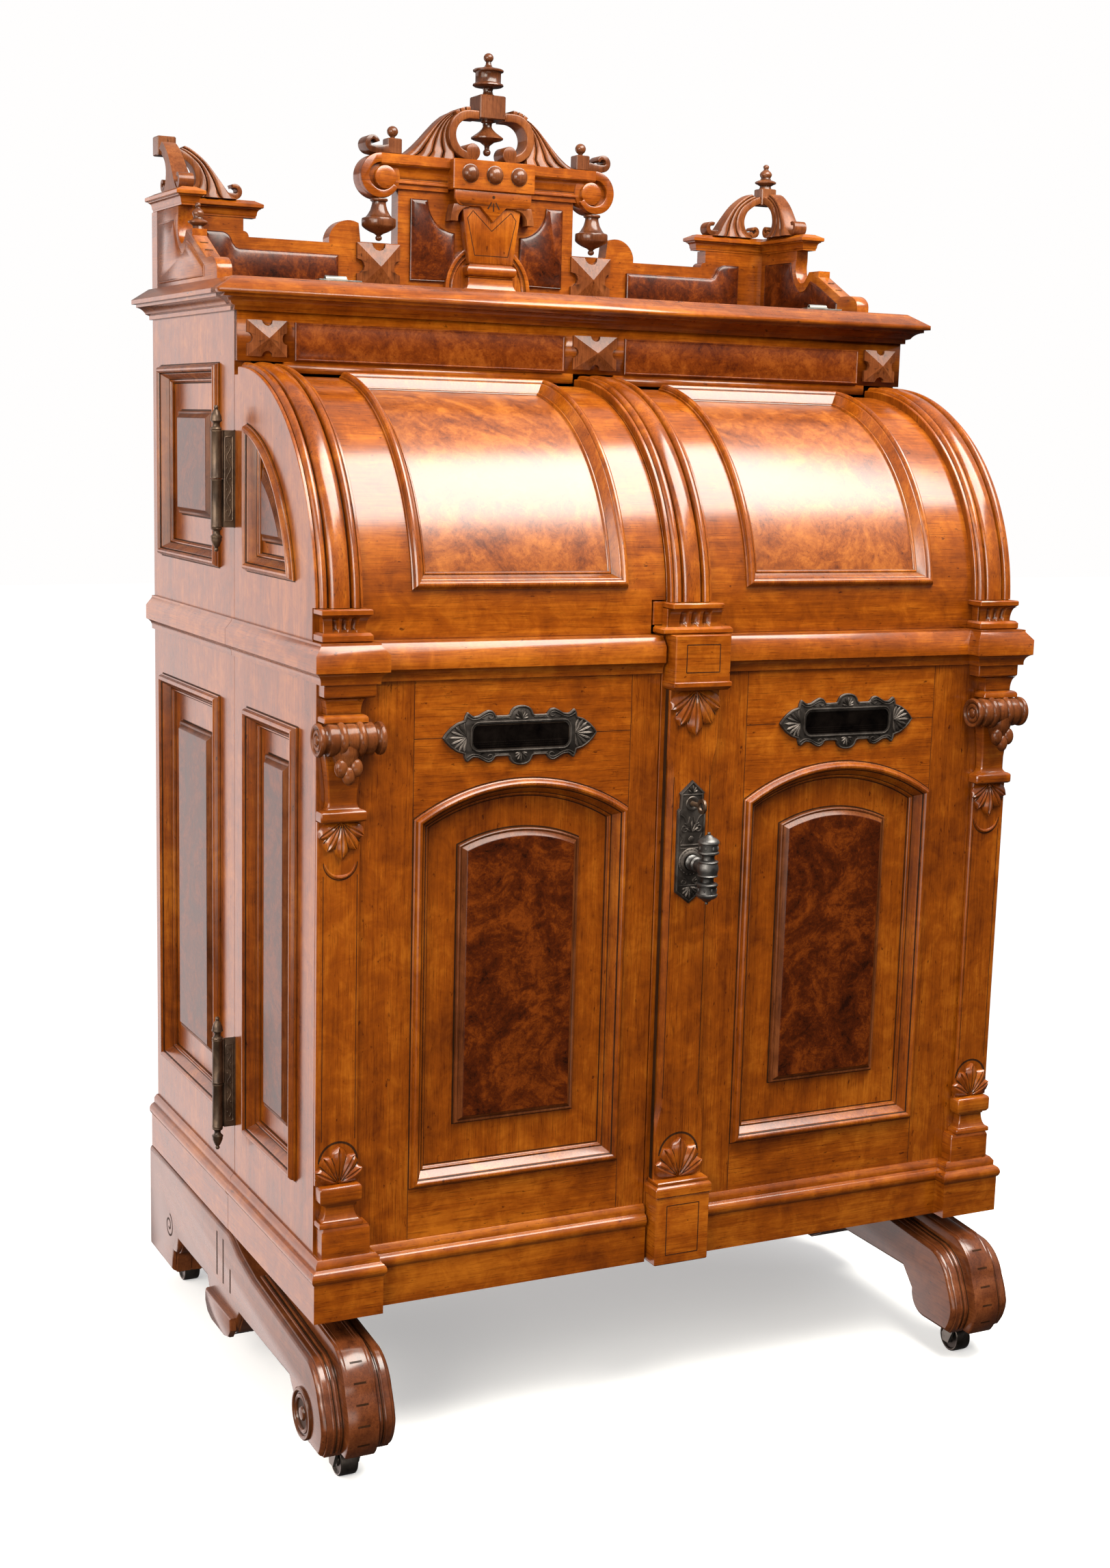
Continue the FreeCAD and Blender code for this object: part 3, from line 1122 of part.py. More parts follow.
def gallery_board():
    """The back board of the gallery: low wings, shoulders and a raised middle between arches."""
    post_in = d.body_half - d.post_wide
    curve = (d.wing_end - d.shoulder_x) / 2
    half = [
        (d.body_half, d.top_z), (d.body_half, d.post_top), (post_in, d.post_top), (post_in, d.wing_top + 8, 8.2),
        (post_in - 8, d.wing_top), (d.wing_end, d.wing_top), (d.wing_end, d.wing_top + d.wing_step, curve * 1.4),
        (d.shoulder_x, d.shoulder_z), (d.shoulder_x - 3, d.urn_low - 2), (d.crest_half, d.urn_low - 2),
        (d.crest_half, CREST),
    ]
    blank = pad("gallery_blank", "Y", [both(half)], GALLERY_Y, d.back_y)
    tools = []
    for sign, side in ((-1, "left"), (1, "right")):
        tools.append(volute_disc("volute_bed_" + side, sign))
    node("gallery_board", [cut("gallery_back", blank, tools)])


def volute_disc(name, sign):
    return bar(name, "Y", (sign * d.volute_x, d.volute_z), d.volute_r, GALLERY_Y - d.tablet_thick / 2,
               d.back_y - 8, WHEEL_FACETS)


def urn_y():
    return GALLERY_Y - d.urn_forward


def gallery_returns():
    """The side wings: a tall rear post, a scoop, a small stand and a ramp down to the front foot."""
    post = d.back_y - d.post_deep
    outline = [
        (d.return_front, d.top_z), (GALLERY_Y, d.top_z), (GALLERY_Y, d.post_top), (post, d.post_top),
        (post, d.wing_top + 12, -d.post_deep * 0.17), (post - 18, d.wing_top - 24, -d.post_deep * 0.17),
        (d.stand_rear, d.stand_top), (d.stand_front, d.stand_top), (d.stand_front, d.stand_top - 9),
        (d.ramp_end, d.ramp_low), (d.return_front + d.foot_long, d.ramp_low, d.foot_long * 1.3),
        (d.return_front, d.top_z + d.foot_high),
    ]
    left = pad("return_left", "X", [outline], -d.body_half, -d.body_half + d.return_thick)
    node("gallery_returns", [left, mirrored("return_right", left)])


def cap_outline(shrink):
    """An L round a corner post, seen from above."""
    outer = d.body_half + d.cap_over - shrink
    inner = d.body_half - d.return_thick - d.cap_over + shrink
    front = GALLERY_Y - d.cap_over + shrink
    tip_x, tip_y = d.cap_tip_x + shrink, d.cap_tip_y + shrink
    return [(tip_x, front), (inner, front), (inner, tip_y), (outer, tip_y), (outer, d.back_y), (tip_x, d.back_y)]


def gallery_caps():
    middle = d.post_top + d.cap_step
    neck = pad("cap_neck", "Z", [cap_outline(d.cap_over * 0.8)], d.post_top, middle)
    slab = pad("cap_slab", "Z", [cap_outline(0)], middle, CAP_TOP, d.cap_step * 0.45, "high")
    node("gallery_caps", [neck, slab, mirrored("cap_neck_left", neck), mirrored("cap_slab_left", slab)])


def bracket(name, axis, tip, top, thick):
    """Fan-backed scroll that climbs from a cap to the corner cube."""
    way = 1 if top.value > tip.value else -1
    span = way * (top - tip)
    rise = d.bracket_high - CAP_TOP

    def spot(along, up):
        return tip + way * along * span, CAP_TOP + up * rise

    turn = way
    outline = [
        spot(0, 0), spot(0.02, 0.16), spot(0.16, 0.12) + (turn * rise * 1.3,), spot(0.62, 0.8), spot(1, 1),
        spot(1, 0.74) + (turn * rise * 0.55,), spot(0.74, 0.36), spot(0.86, 0),
    ]
    return pad(name, axis, [outline], thick[0], thick[1])


def ring_spot(radius, angle):
    angle = size(angle)
    return d.scroll_outer - d.scroll_r + radius * angle.cosine(), CREST + d.scroll_r + radius * angle.sine()


def crest_side(tag, sign):
    """One half of the crest: beam and volute, fan, open C-scroll, end cube and curl."""
    front = GALLERY_Y - d.tablet_thick / 2
    beam = [
        (GALLERY_Y, d.tablet_low - 4), (GALLERY_Y, CREST), (front, CREST), (front, CREST - 15),
        (front + 5, CREST - 19, -18), (GALLERY_Y - 4, d.tablet_low + 4), (GALLERY_Y - 4, d.tablet_low - 4),
    ]
    rail = pad("beam_" + tag, "X", [beam], sign * d.tablet_half, sign * d.volute_x)
    pieces = [fuse("volute_" + tag, [rail, volute_disc("volute_disc_" + tag, sign)])]
    outer, inner = d.scroll_r, d.scroll_r - d.scroll_band
    middle = (outer + inner) / 2

    def flip(rows):
        return [(sign * row[0], row[1]) + ((sign * row[2],) if len(row) > 2 else ()) for row in rows]

    fan = [
        (d.fan_inner, CREST), (d.fan_outer, CREST, -d.scroll_outer * 1.4), (d.fan_outer * 0.68, CREST + d.scroll_r * 0.9,
                                                                        d.scroll_outer * 1.2),
        (d.scroll_outer * 0.88, d.fan_top), ring_spot(middle, 75) + (-middle,), ring_spot(middle, 0) + (-middle,),
        ring_spot(middle, -55),
    ]
    pieces.append(pad("fan_" + tag, "Y", [flip(fan)], d.back_y - 21, d.back_y - 4))
    scroll = [
        ring_spot(outer, 88) + (-outer,), ring_spot(outer, 0) + (-outer,), ring_spot(outer, -90),
        ring_spot(inner, -90) + (inner,), ring_spot(inner, 0) + (inner,), ring_spot(inner, 88),
    ]
    hoop = pad("hoop_" + tag, "Y", [flip(scroll)], front, d.back_y - 21)
    eye_x = sign * (d.scroll_outer - d.scroll_r - 3)
    eye = bar("eye_" + tag, "Y", (eye_x, CREST + d.scroll_band), d.scroll_band, front, d.back_y - 21)
    arm = box("arm_" + tag, (sign * d.top_cube / 2, sign * (d.scroll_outer - d.scroll_r + 6)), (front, d.back_y - 21),
              (CREST + 2 * d.scroll_r - d.scroll_band, CREST + 2 * d.scroll_r - 1))
    pieces.append(fuse("scroll_" + tag, [hoop, eye, arm]))
    cube = 22
    cube_x = (sign * d.fan_outer, sign * (d.fan_outer + cube))
    pieces.append(box("end_cube_" + tag, cube_x, (front + 2, front + 2 + cube), (CREST, CREST + cube)))
    curl = [
        (d.fan_outer + cube, CREST), (d.curl_tip - 9, CREST, 11), (d.curl_tip, CREST + 10, 9), (d.curl_tip - 10, CREST + 17),
        (d.fan_outer + cube, CREST + d.curl_high),
    ]
    pieces.append(pad("curl_" + tag, "Y", [flip(curl)], front + 2, front + 2 + cube))
    thick = (GALLERY_Y + 2, d.back_y - 2)
    corner_x = d.body_half - 1 - d.corner_cube
    pieces.append(bracket("corner_bracket_" + tag, "Y", sign * d.bracket_end, sign * corner_x, thick))
    inside = sign * (d.body_half - 2), sign * (d.body_half - d.return_thick + 1)
    corner_y = d.back_y - 3 - d.corner_cube
    pieces.append(bracket("return_bracket_" + tag, "X", d.cap_tip_y + 36, corner_y, ordered(inside)))
    pieces.append(box("corner_cube_" + tag, (sign * corner_x, sign * (corner_x + d.corner_cube)),
                      (corner_y, corner_y + d.corner_cube), (d.corner_low, d.corner_low + d.corner_cube)))
    saltire = [(sign * (d.volute_x - d.saltire_half), sign * (d.volute_x + d.saltire_half)),
               (d.saltire_top - 2 * d.saltire_half, d.saltire_top)]
    pieces.append(pad("saltire_" + tag, "Y", [rectangle(*saltire)], GALLERY_Y - d.saltire_thick, GALLERY_Y, 4))
    return pieces


def crest_middle():
    """Tablet with apron, tapering keystone on a moulded foot, and the half disc behind it."""
    deep = (GALLERY_Y - d.tablet_thick * 0.7, GALLERY_Y)
    tablet = pad("tablet_block", "Y", [rectangle((-d.tablet_half, d.tablet_half), (d.tablet_low, CREST))],
                 GALLERY_Y - d.tablet_thick, GALLERY_Y)
    apron = pad("tablet_apron", "Y", [both([
        (0, d.apron_tip), (d.apron_foot * 0.42, d.apron_low), (d.apron_foot, d.apron_low, 12),
        (d.apron_half, d.apron_low + 11), (d.apron_half, d.tablet_low),
    ])[:-1]], deep[0] - 5, deep[0])
    keystone = pad("keystone", "Y", [both([(d.keystone_foot, d.keystone_low), (d.keystone_top, d.tablet_low)])],
                   deep[0], deep[1])
    ring = pad("keystone_ring", "Y", [rectangle((-d.ring_half, d.ring_half), (d.ring_low, d.keystone_low))],
               deep[0] - 4, deep[1], 5)
    foot = flare("keystone_foot", (-d.plinth_half, d.plinth_half), (deep[0] - 8, deep[1]),
                 (-d.keystone_foot, d.keystone_foot), deep, (d.plinth_low, d.ring_low))
    base = box("keystone_base", (-d.plinth_half, d.plinth_half), (deep[0] - 8, deep[1]), (d.top_z, d.plinth_low))
    rise = (d.disc_r * d.disc_r - (d.plinth_low - d.top_z) * (d.plinth_low - d.top_z)).root()
    disc = pad("half_disc", "Y", [[
        (-rise, d.top_z), (rise, d.top_z, d.disc_r), (0, d.plinth_low + d.disc_r, d.disc_r),
    ]], GALLERY_Y - d.crest_panel, GALLERY_Y)
    plate = cut("half_disc_plate", disc, [keystone, ring, foot, base])
    bosses = []
    for step in (-1, 0, 1):
        bosses.append(turned("boss_%d" % (step + 1), [
            (d.boss_r, 0), (d.boss_r * 0.85, d.boss_r * 0.4), (d.boss_r * 0.3, d.boss_r * 0.75),
        ], step * d.boss_step, GALLERY_Y - d.tablet_thick, d.boss_z, "-Y"))
    cube = box("crest_cube", (-d.top_cube / 2, d.top_cube / 2), (d.back_y - d.top_cube, d.back_y),
               (d.top_cube_low, d.top_cube_high))
    node("gallery_tablet", [tablet, apron, keystone, ring, foot, base, plate, cube] + bosses)
    return disc


def gallery_panels(disc):
    panels = []
    for sign, side in ((-1, "left"), (1, "right")):
        def flip(rows):
            return [(sign * row[0], row[1]) + ((sign * row[2],) if len(row) > 2 else ()) for row in rows]
        scoop = d.crest_panel_scoop
        crest = [
            (d.crest_panel_inner, d.crest_panel_low), (d.crest_panel_outer, d.crest_panel_low),
            (d.crest_panel_outer, d.crest_panel_top), (d.crest_panel_inner + scoop, d.crest_panel_top, -scoop),
            (d.crest_panel_inner, d.crest_panel_top - scoop),
        ]
        blank = pad("crest_burl_blank_" + side, "Y", [flip(crest)], GALLERY_Y - d.crest_panel, GALLERY_Y)
        panels.append(cut("crest_burl_" + side, blank, [disc]))
        wing = [
            (d.applique_inner, d.top_z), (d.applique_end, d.top_z), (d.applique_end, d.applique_high),
            (d.applique_rise, d.applique_high, 16), (d.applique_step + 12, d.applique_low + 10, -16),
            (d.applique_step, d.applique_low), (d.applique_inner, d.applique_low),
        ]
        panels.append(pad("wing_burl_" + side, "Y", [flip(wing)], GALLERY_Y - d.applique, GALLERY_Y))
    node("gallery_panels", panels)


def gallery_finials():
    """All the turned pieces: top finial, pendant, urns, balls and corner buds."""
    axis_y = d.back_y - d.top_cube / 2
    rise = d.finial_top - d.top_cube_high
    top = turned("crest_finial", [
        (d.finial_r * 0.45, 0), (d.finial_r * 0.35, rise * 0.2), (d.finial_r, rise * 0.23),
        (d.finial_r, rise * 0.29), (d.finial_r * 0.84, rise * 0.31), (d.finial_r * 0.84, rise * 0.55),
        (d.finial_r, rise * 0.57), (d.finial_r, rise * 0.63), (d.finial_r * 0.25, rise * 0.69),
        (d.finial_r * 0.17, rise * 0.8), (d.finial_r * 0.33, rise * 0.86), (d.finial_r * 0.33, rise * 0.94),
        (d.finial_r * 0.1, rise),
    ], 0, axis_y, d.top_cube_high)
    drop = d.top_cube_low - CREST - 9
    pendant = turned("crest_pendant", [
        (d.finial_r * 0.42, 0), (d.finial_r * 0.3, drop * 0.22), (d.finial_r * 1.05, drop * 0.48),
        (d.finial_r * 1.05, drop * 0.53), (d.finial_r * 0.3, drop * 0.68), (d.finial_r * 0.16, drop * 0.8),
        (d.finial_r * 0.26, drop * 0.9), (d.finial_r * 0.1, drop),
    ], 0, axis_y, d.top_cube_low, "-Z")
    pieces = [top, pendant]
    hang = d.volute_z - d.volute_r - d.urn_low
    for sign, side in ((-1, "left"), (1, "right")):
        pieces.append(turned("urn_" + side, [
            (d.urn_r * 0.5, 0), (d.urn_r * 0.5, hang * 0.08), (d.urn_r * 0.42, hang * 0.12),
            (d.urn_r * 0.62, hang * 0.42), (d.urn_r, hang * 0.5), (d.urn_r, hang * 0.68), (d.urn_r * 0.6, hang * 0.8),
            (d.urn_r * 0.18, hang * 0.88), (d.urn_r * 0.1, hang),
        ], sign * d.volute_x, urn_y(), d.volute_z - d.volute_r, "-Z"))
        pieces.append(turned("crest_ball_" + side, [
            (4, 0), (8, 6), (8, 11), (3, 17),
        ], sign * (d.fan_outer + 11), GALLERY_Y - d.tablet_thick / 2 + 13, CREST + 22))
    corner = d.body_half - 1 - d.corner_cube / 2
    corner_y = d.back_y - 3 - d.corner_cube / 2
    pieces.append(turned("corner_bud", finial_profile(d.corner_finial_r, d.corner_finial), corner, corner_y,
                         d.corner_low + d.corner_cube))
    pieces.append(turned("stand_bud", finial_profile(d.stand_finial_r, d.stand_finial),
                         -d.body_half + d.return_thick / 2 + 2, (d.stand_rear + d.stand_front) / 2, d.stand_top))
    node("gallery_finials", pieces)


def build_gallery():
    gallery_board()
    gallery_returns()
    gallery_caps()
    node("gallery_scrolls", crest_side("left", -1) + crest_side("right", 1))
    gallery_panels(crest_middle())
    gallery_finials()


def trestle_outline(back, drop):
    """Side view of a trestle foot; back sets the front in, drop lowers the front shoulder."""
    toe = back - d.foot_reach
    shoulder = d.base_z - drop
    drop_end = d.drop_low + d.drop_slope
    return [
        (d.foot_reach, d.foot_low), (d.foot_reach, d.base_z), (d.rest_front, d.base_z),
        (d.rest_front - d.rest_step, d.base_z - d.rest_dip - drop * 0.4),
        (d.rest_front - d.rest_run, shoulder - d.rest_fall),
        (d.toe_shoulder + back, shoulder - d.toe_fall, d.toe_bend),
        (d.toe_round + back, d.base_z - d.toe_drop - drop * 0.5, d.toe_sweep),
        (toe, d.roundel_z + d.toe_rise, d.toe_bend),
        (d.toe_round + back, d.foot_low), (d.roundel_y, d.foot_low, d.roundel_r),
        (d.roundel_y + d.roundel_r, d.roundel_z), (d.roundel_y + d.roundel_r + d.roundel_step, d.arch_under),
        (d.drop_front - d.drop_room, d.arch_under), (d.drop_front, drop_end), (d.drop_front + d.drop_run, d.drop_low),
        (d.drop_rear - d.drop_run, d.drop_low), (d.drop_rear, drop_end), (d.drop_rear + d.drop_room, d.arch_under),
        (d.heel_arch, d.arch_under, d.heel_arch - d.heel_step), (d.heel_step, d.arch_under - d.heel_round),
        (d.heel_foot, d.foot_low),
    ]


def build_trestle():
    middle = -d.trestle_x
    core_half = d.core_wide / 2
    half = d.trestle_wide / 2
    blank = pad("trestle_core_blank", "X", [trestle_outline(0, 0)], middle - core_half, middle + core_half)
    bores = [
        bore("caster_bore_" + tag, "Z", (middle, y), d.stem_r + d.running_fit, d.foot_low - 1,
             d.foot_low + d.stem_high)
        for tag, y in (("front", d.caster_front), ("rear", d.caster_rear))
    ]
    core = cut("trestle_core", blank, bores)
    pieces = [core]
    for way, tag in ((-1, "outer"), (1, "inner")):
        near, far = middle + way * core_half, middle + way * half
        pieces.append(pad("trestle_cheek_" + tag, "X", [trestle_outline(d.cheek_back, 16)], near, far))
    pieces.append(bar("trestle_roundel", "X", (d.roundel_y, d.roundel_z), d.roundel_r - 1,
                      middle - half - d.roundel_out, middle - half, WHEEL_FACETS))
    left = node("left_trestle", pieces)
    node("right_trestle", [mirrored("trestle_set_right", left)])
    inner = d.trestle_x - half
    node("stretcher", [box("stretcher_beam", (-inner, inner), (d.stretcher_y, d.stretcher_y + d.stretcher_deep),
                           (d.stretcher_low, d.stretcher_high))])


def caster(name, x, y):
    """One swivelling fork and its wheel."""
    wheel_y = y + d.caster_trail
    half = d.wheel_wide / 2
    arm_in = half + d.fork_gap
    plate_low = d.foot_low - d.caster_plate - d.knuckle_gap
    seat = d.foot_low - d.knuckle_gap
    fork = [
        box(name + "_plate", (x - d.caster_plate_r, x + d.caster_plate_r), (y - d.caster_plate_r, y + d.caster_plate_r),
            (plate_low, seat)),
        cylinder(name + "_stem", "Z", (x, y), d.stem_r, plate_low, seat + d.stem_high - 2),
        cylinder(name + "_axle", "X", (wheel_y, d.wheel_r), d.axle_r, x - arm_in - 1, x + arm_in + 1),
    ]
    for way, tag in ((-1, "left"), (1, "right")):
        arm_x = (x + way * arm_in, x + way * (arm_in + d.fork_arm))
        fork.append(pad("%s_arm_%s" % (name, tag), "X", [[
            (wheel_y - d.arm_half * 0.7, d.wheel_r - d.arm_half * 0.7), (wheel_y + d.arm_half * 0.7, d.wheel_r - d.arm_half * 0.7),
            (wheel_y + d.arm_half, d.wheel_r + 4), (y + d.arm_half, plate_low + 1), (y - d.arm_half, plate_low + 1),
            (wheel_y - d.arm_half, d.wheel_r),
        ]], arm_x[0], arm_x[1]))
    node(name + "_fork", [fuse(name + "_fork_whole", fork)])
    spot = (wheel_y, d.wheel_r)
    roller = bar(name + "_roller", "X", spot, d.wheel_r, x - half, x + half, WHEEL_FACETS)
    hole = bore(name + "_hub", "X", spot, d.axle_r + d.running_fit, x - half - 1, x + half + 1)
    node(name + "_wheel", [cut(name + "_whole", roller, [hole])])


def build_base():
    build_trestle()
    for sign, side in ((-1, "left"), (1, "right")):
        for end, y in (("front", d.caster_front), ("rear", d.caster_rear)):
            caster("%s_%s_caster" % (side, end), sign * d.trestle_x, y)


build_doors()
build_carcass()
build_flap()
build_gallery()
build_base()
DOC.recompute()

for item in DOC.Objects:
    if "Invalid" in item.State or "Error" in item.State:
        raise RuntimeError("%s did not recompute: %s" % (item.Label, item.State))

os.makedirs("parts", exist_ok=True)
for item in NODES:
    if item.Shape.isNull() or not item.Shape.isValid() or not item.Shape.Solids:
        raise RuntimeError("%s has no valid solid" % item.Label)
    item.Shape.exportStep("parts/%s.step" % item.Label)
print(len(NODES), "sub-parts written")
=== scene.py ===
"""Looks of a tall walnut cabinet secretary: finishes, mouldings, carving, turned pieces and hardware."""

import json
import logging
import math
from dataclasses import dataclass
from enum import Enum
from typing import Callable, Optional, Sequence, Union

import bpy
import numpy as np
from mathutils import Matrix, Vector


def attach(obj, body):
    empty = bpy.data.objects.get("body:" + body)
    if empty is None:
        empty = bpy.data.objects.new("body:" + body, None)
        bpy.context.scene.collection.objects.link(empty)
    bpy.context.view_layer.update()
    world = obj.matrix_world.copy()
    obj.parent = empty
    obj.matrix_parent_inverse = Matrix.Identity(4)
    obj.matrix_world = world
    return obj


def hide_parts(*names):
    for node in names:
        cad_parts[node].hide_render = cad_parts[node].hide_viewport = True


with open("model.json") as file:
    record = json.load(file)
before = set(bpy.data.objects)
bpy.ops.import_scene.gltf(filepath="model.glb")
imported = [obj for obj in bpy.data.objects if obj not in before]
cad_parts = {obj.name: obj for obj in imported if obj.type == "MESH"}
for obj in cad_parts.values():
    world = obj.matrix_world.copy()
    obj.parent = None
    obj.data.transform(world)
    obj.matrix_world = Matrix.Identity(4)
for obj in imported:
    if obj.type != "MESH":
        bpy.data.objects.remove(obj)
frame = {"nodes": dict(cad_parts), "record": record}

LOG = logging.getLogger("secretary")
MM = 0.001
Colour = tuple[float, float, float]
Pair = tuple[float, float]
Triple = tuple[float, float, float]
Rows = Union[np.ndarray, Sequence]

EVEN = (1.0, 1.0, 1.0)
WHITE = (1.0, 1.0, 1.0)
WALNUT = ((0.06, 0.0105, 0.0006), (0.15, 0.032, 0.0012), (0.27, 0.076, 0.0045))
ASH = ((0.17, 0.075, 0.024), (0.32, 0.165, 0.062), (0.44, 0.26, 0.11))

# Planes of the door fronts and sides, and the axis and radius of the bent door tops.
FRONT = -303.0
SIDE = 503.0
CROWN_Y, CROWN_Z, CROWN_R = -5.0, 1064.0, 283.0
# Front panels: middle and half width, then foot, radius and centre height of the arched head.
PANEL_X, PANEL_HALF = 232.0, 145.0
ARCH = (354.5, 261.0, 603.0)
# The rail of the letter plates, and the lower and upper ends of the door fronts.
LETTER_X, LETTER_Z = 238.5, 919.0
DOOR_FOOT, DOOR_HEAD = 287.5, 989.0
# Top of the gallery's beam, its board and its back.
CREST = 1677.0
BOARD_Y = 359.0
GALLERY_BACK = 380.0


class Axis(Enum):
    """The three directions of the row frame."""

    X = 0
    Y = 1
    Z = 2


class Sock:
    """A shader socket that takes part in arithmetic."""

    def __init__(self, graph: "Graph", socket: bpy.types.NodeSocket) -> None:
        self.graph = graph
        self.socket = socket

    def maths(self, operation: str, *values: "Value") -> "Sock":
        """Returns the result of a Math node.

        Args:
            operation: The node's operation name.
            values: Its inputs in order.
        """
        return self.graph.node("ShaderNodeMath", {"operation": operation}, dict(enumerate(values)))

    def __add__(self, other: "Value") -> "Sock":
        return self.maths("ADD", self, other)

    __radd__ = __add__

    def __sub__(self, other: "Value") -> "Sock":
        return self.maths("SUBTRACT", self, other)

    def __rsub__(self, other: "Value") -> "Sock":
        return self.maths("SUBTRACT", other, self)

    def __mul__(self, other: "Value") -> "Sock":
        return self.maths("MULTIPLY", self, other)

    __rmul__ = __mul__

    def most(self, other: "Value") -> "Sock":
        """Returns the larger of this value and another."""
        return self.maths("MAXIMUM", self, other)


Value = Union[Sock, float, int, Sequence[float]]


class Graph:
    """The node tree of one material or world."""

    def __init__(self, owner: Union[bpy.types.Material, bpy.types.World]) -> None:
        self.owner = owner
        owner.use_nodes = True
        self.tree = owner.node_tree

    def node(self, kind: str, settings: dict, inputs: dict, output: Union[int, str] = 0) -> Sock:
        """Adds a node and returns one of its outputs.

        Args:
            kind: The node's type name.
            settings: Attributes of the node.
            inputs: Values or sockets by input name or number.
            output: The output's name or number.
        Returns:
            The wrapped output.
        """
        made = self.tree.nodes.new(kind)
        for name, value in settings.items():
            setattr(made, name, value)
        for name, value in inputs.items():
            self.feed(made.inputs[name], value)
        return Sock(self, made.outputs[output])

    def feed(self, socket: bpy.types.NodeSocket, value: Value) -> None:
        """Links or sets one input."""
        if isinstance(value, Sock):
            self.tree.links.new(value.socket, socket)
        else:
            socket.default_value = value

    def place(self, scale: Sequence[float] = EVEN) -> Sock:
        """Returns object coordinates, in metres, multiplied by a scale for each axis."""
        spot = self.node("ShaderNodeTexCoord", {}, {}, "Object")
        return self.node("ShaderNodeVectorMath", {"operation": "MULTIPLY"}, {0: spot, 1: scale})

    def noise(self, spot: Sock, scale: float, detail: float, rough: float, warp: float = 0.0) -> Sock:
        """Returns a noise value between 0 and 1."""
        inputs = {"Vector": spot, "Scale": scale, "Detail": detail, "Roughness": rough, "Distortion": warp}
        return self.node("ShaderNodeTexNoise", {}, inputs, "Fac")

    def ramp(self, value: Sock, stops: Sequence[tuple[float, Colour]]) -> Sock:
        """Returns a colour that runs through the stops."""
        made = self.tree.nodes.new("ShaderNodeValToRGB")
        band = made.color_ramp
        while len(band.elements) < len(stops):
            band.elements.new(0.5)
        for element, (spot, colour) in zip(band.elements, stops):
            element.position = spot
            element.color = (*colour, 1.0)
        self.feed(made.inputs[0], value)
        return Sock(self, made.outputs[0])

    def darken(self, factor: Value, first: Value, second: Value) -> Sock:
        """Returns a colour multiplied by another one, by a factor."""
        settings = {"data_type": "RGBA", "blend_type": "MULTIPLY"}
        return self.node("ShaderNodeMix", settings, {0: factor, 6: first, 7: second}, 2)

    def bump(self, height: Sock, distance: float, strength: float) -> Sock:
        """Returns a normal raised by a height."""
        inputs = {"Height": height, "Distance": distance, "Strength": strength}
        return self.node("ShaderNodeBump", {}, inputs)

    def paint_hollow_shade_and_edge_wear(self, colour: Sock) -> Sock:
        """Returns a colour darkened in hollows as painted shade and a little lighter along edges as wear and
        painted highlight, by the bend attribute.
        """
        bend = self.node("ShaderNodeAttribute", {"attribute_name": "bend"}, {}, "Fac")
        # Hollows darken as painted shade; edges lighten as wear and painted highlight.
        edge = (bend * -1.0 - 0.12).most(0.0)
        level = (1.0 + edge * 0.5 - bend.most(0.0) * 2.6).most(0.16)
        return self.darken(1.0, colour, level)

    def shade(self, **inputs: Value) -> bpy.types.Material:
        """Feeds the shader, words joined by underscores, and returns the material."""
        shader = self.tree.nodes["Principled BSDF"]
        for name, value in inputs.items():
            self.feed(shader.inputs[name.replace("_", " ")], value)
        return self.owner

    def varnish(self, coat: float, blur: float) -> bpy.types.Material:
        """Lays a clear coat over the shader and returns the material."""
        return self.shade(Coat_Weight=coat, Coat_Roughness=blur, IOR=1.5, Specular_IOR_Level=0.02)


@dataclass(frozen=True)
class Wood:
    """Varnished timber with straight figure along one axis."""

    name: str
    grain: Axis
    dark: Colour
    middle: Colour
    light: Colour
    roughness: float = 0.45
    coat: float = 0.8

    def stretch(self, along: float, deep: float) -> list[float]:
        """Returns the scales of a pattern that is drawn out along the grain.

        Args:
            along: The scale along the grain.
            deep: The scale on Y of timber that lies on X.
        Returns:
            One scale for each axis.
        """
        scales = list(EVEN)
        scales[self.grain.value] = along
        if self.grain is Axis.X:
            scales[Axis.Y.value] = deep
        return scales

    def build(self) -> bpy.types.Material:
        """Returns the material."""
        graph = Graph(bpy.data.materials.new(self.name))
        spot = graph.place()
        drawn = graph.place(self.stretch(0.03, 0.035))
        figure = graph.noise(graph.place(self.stretch(0.09, 0.15)), 22.0, 5.0, 0.62, 1.1)
        fibre = graph.noise(drawn, 330.0, 3.0, 0.6)
        pores = graph.noise(drawn, 1100.0, 2.0, 0.5)
        cloud = graph.noise(spot, 5.5, 3.0, 0.6, 0.4)
        blotch = graph.noise(spot, 34.0, 5.0, 0.68, 0.5)
        smears = graph.noise(graph.place(self.stretch(0.4, 0.2)), 190.0, 4.0, 0.6)
        tone = figure * 0.3 + fibre * 0.16 + cloud * 0.24 + blotch * 0.3
        colour = graph.ramp(tone, [(0.37, self.dark), (0.5, self.middle), (0.63, self.light)])
        specks = graph.ramp(pores, [(0.3, (0.4, 0.34, 0.3)), (0.43, WHITE)])
        dirt = graph.ramp(smears, [(0.28, (0.2, 0.16, 0.14)), (0.345, WHITE)])
        # Pores and smears are the wood's own marks; hollows get painted shade and edges wear with painted
        # highlight.
        colour = graph.paint_hollow_shade_and_edge_wear(graph.darken(0.8, graph.darken(0.8, colour, specks), dirt))
        rough = self.roughness + (cloud - 0.5) * 0.22 + (fibre - 0.5) * 0.1
        height = fibre * 0.6 + pores * 0.4
        graph.shade(Base_Color=colour, Roughness=rough, Normal=graph.bump(height, 0.0003, 0.35))
        return graph.varnish(self.coat, 0.2)


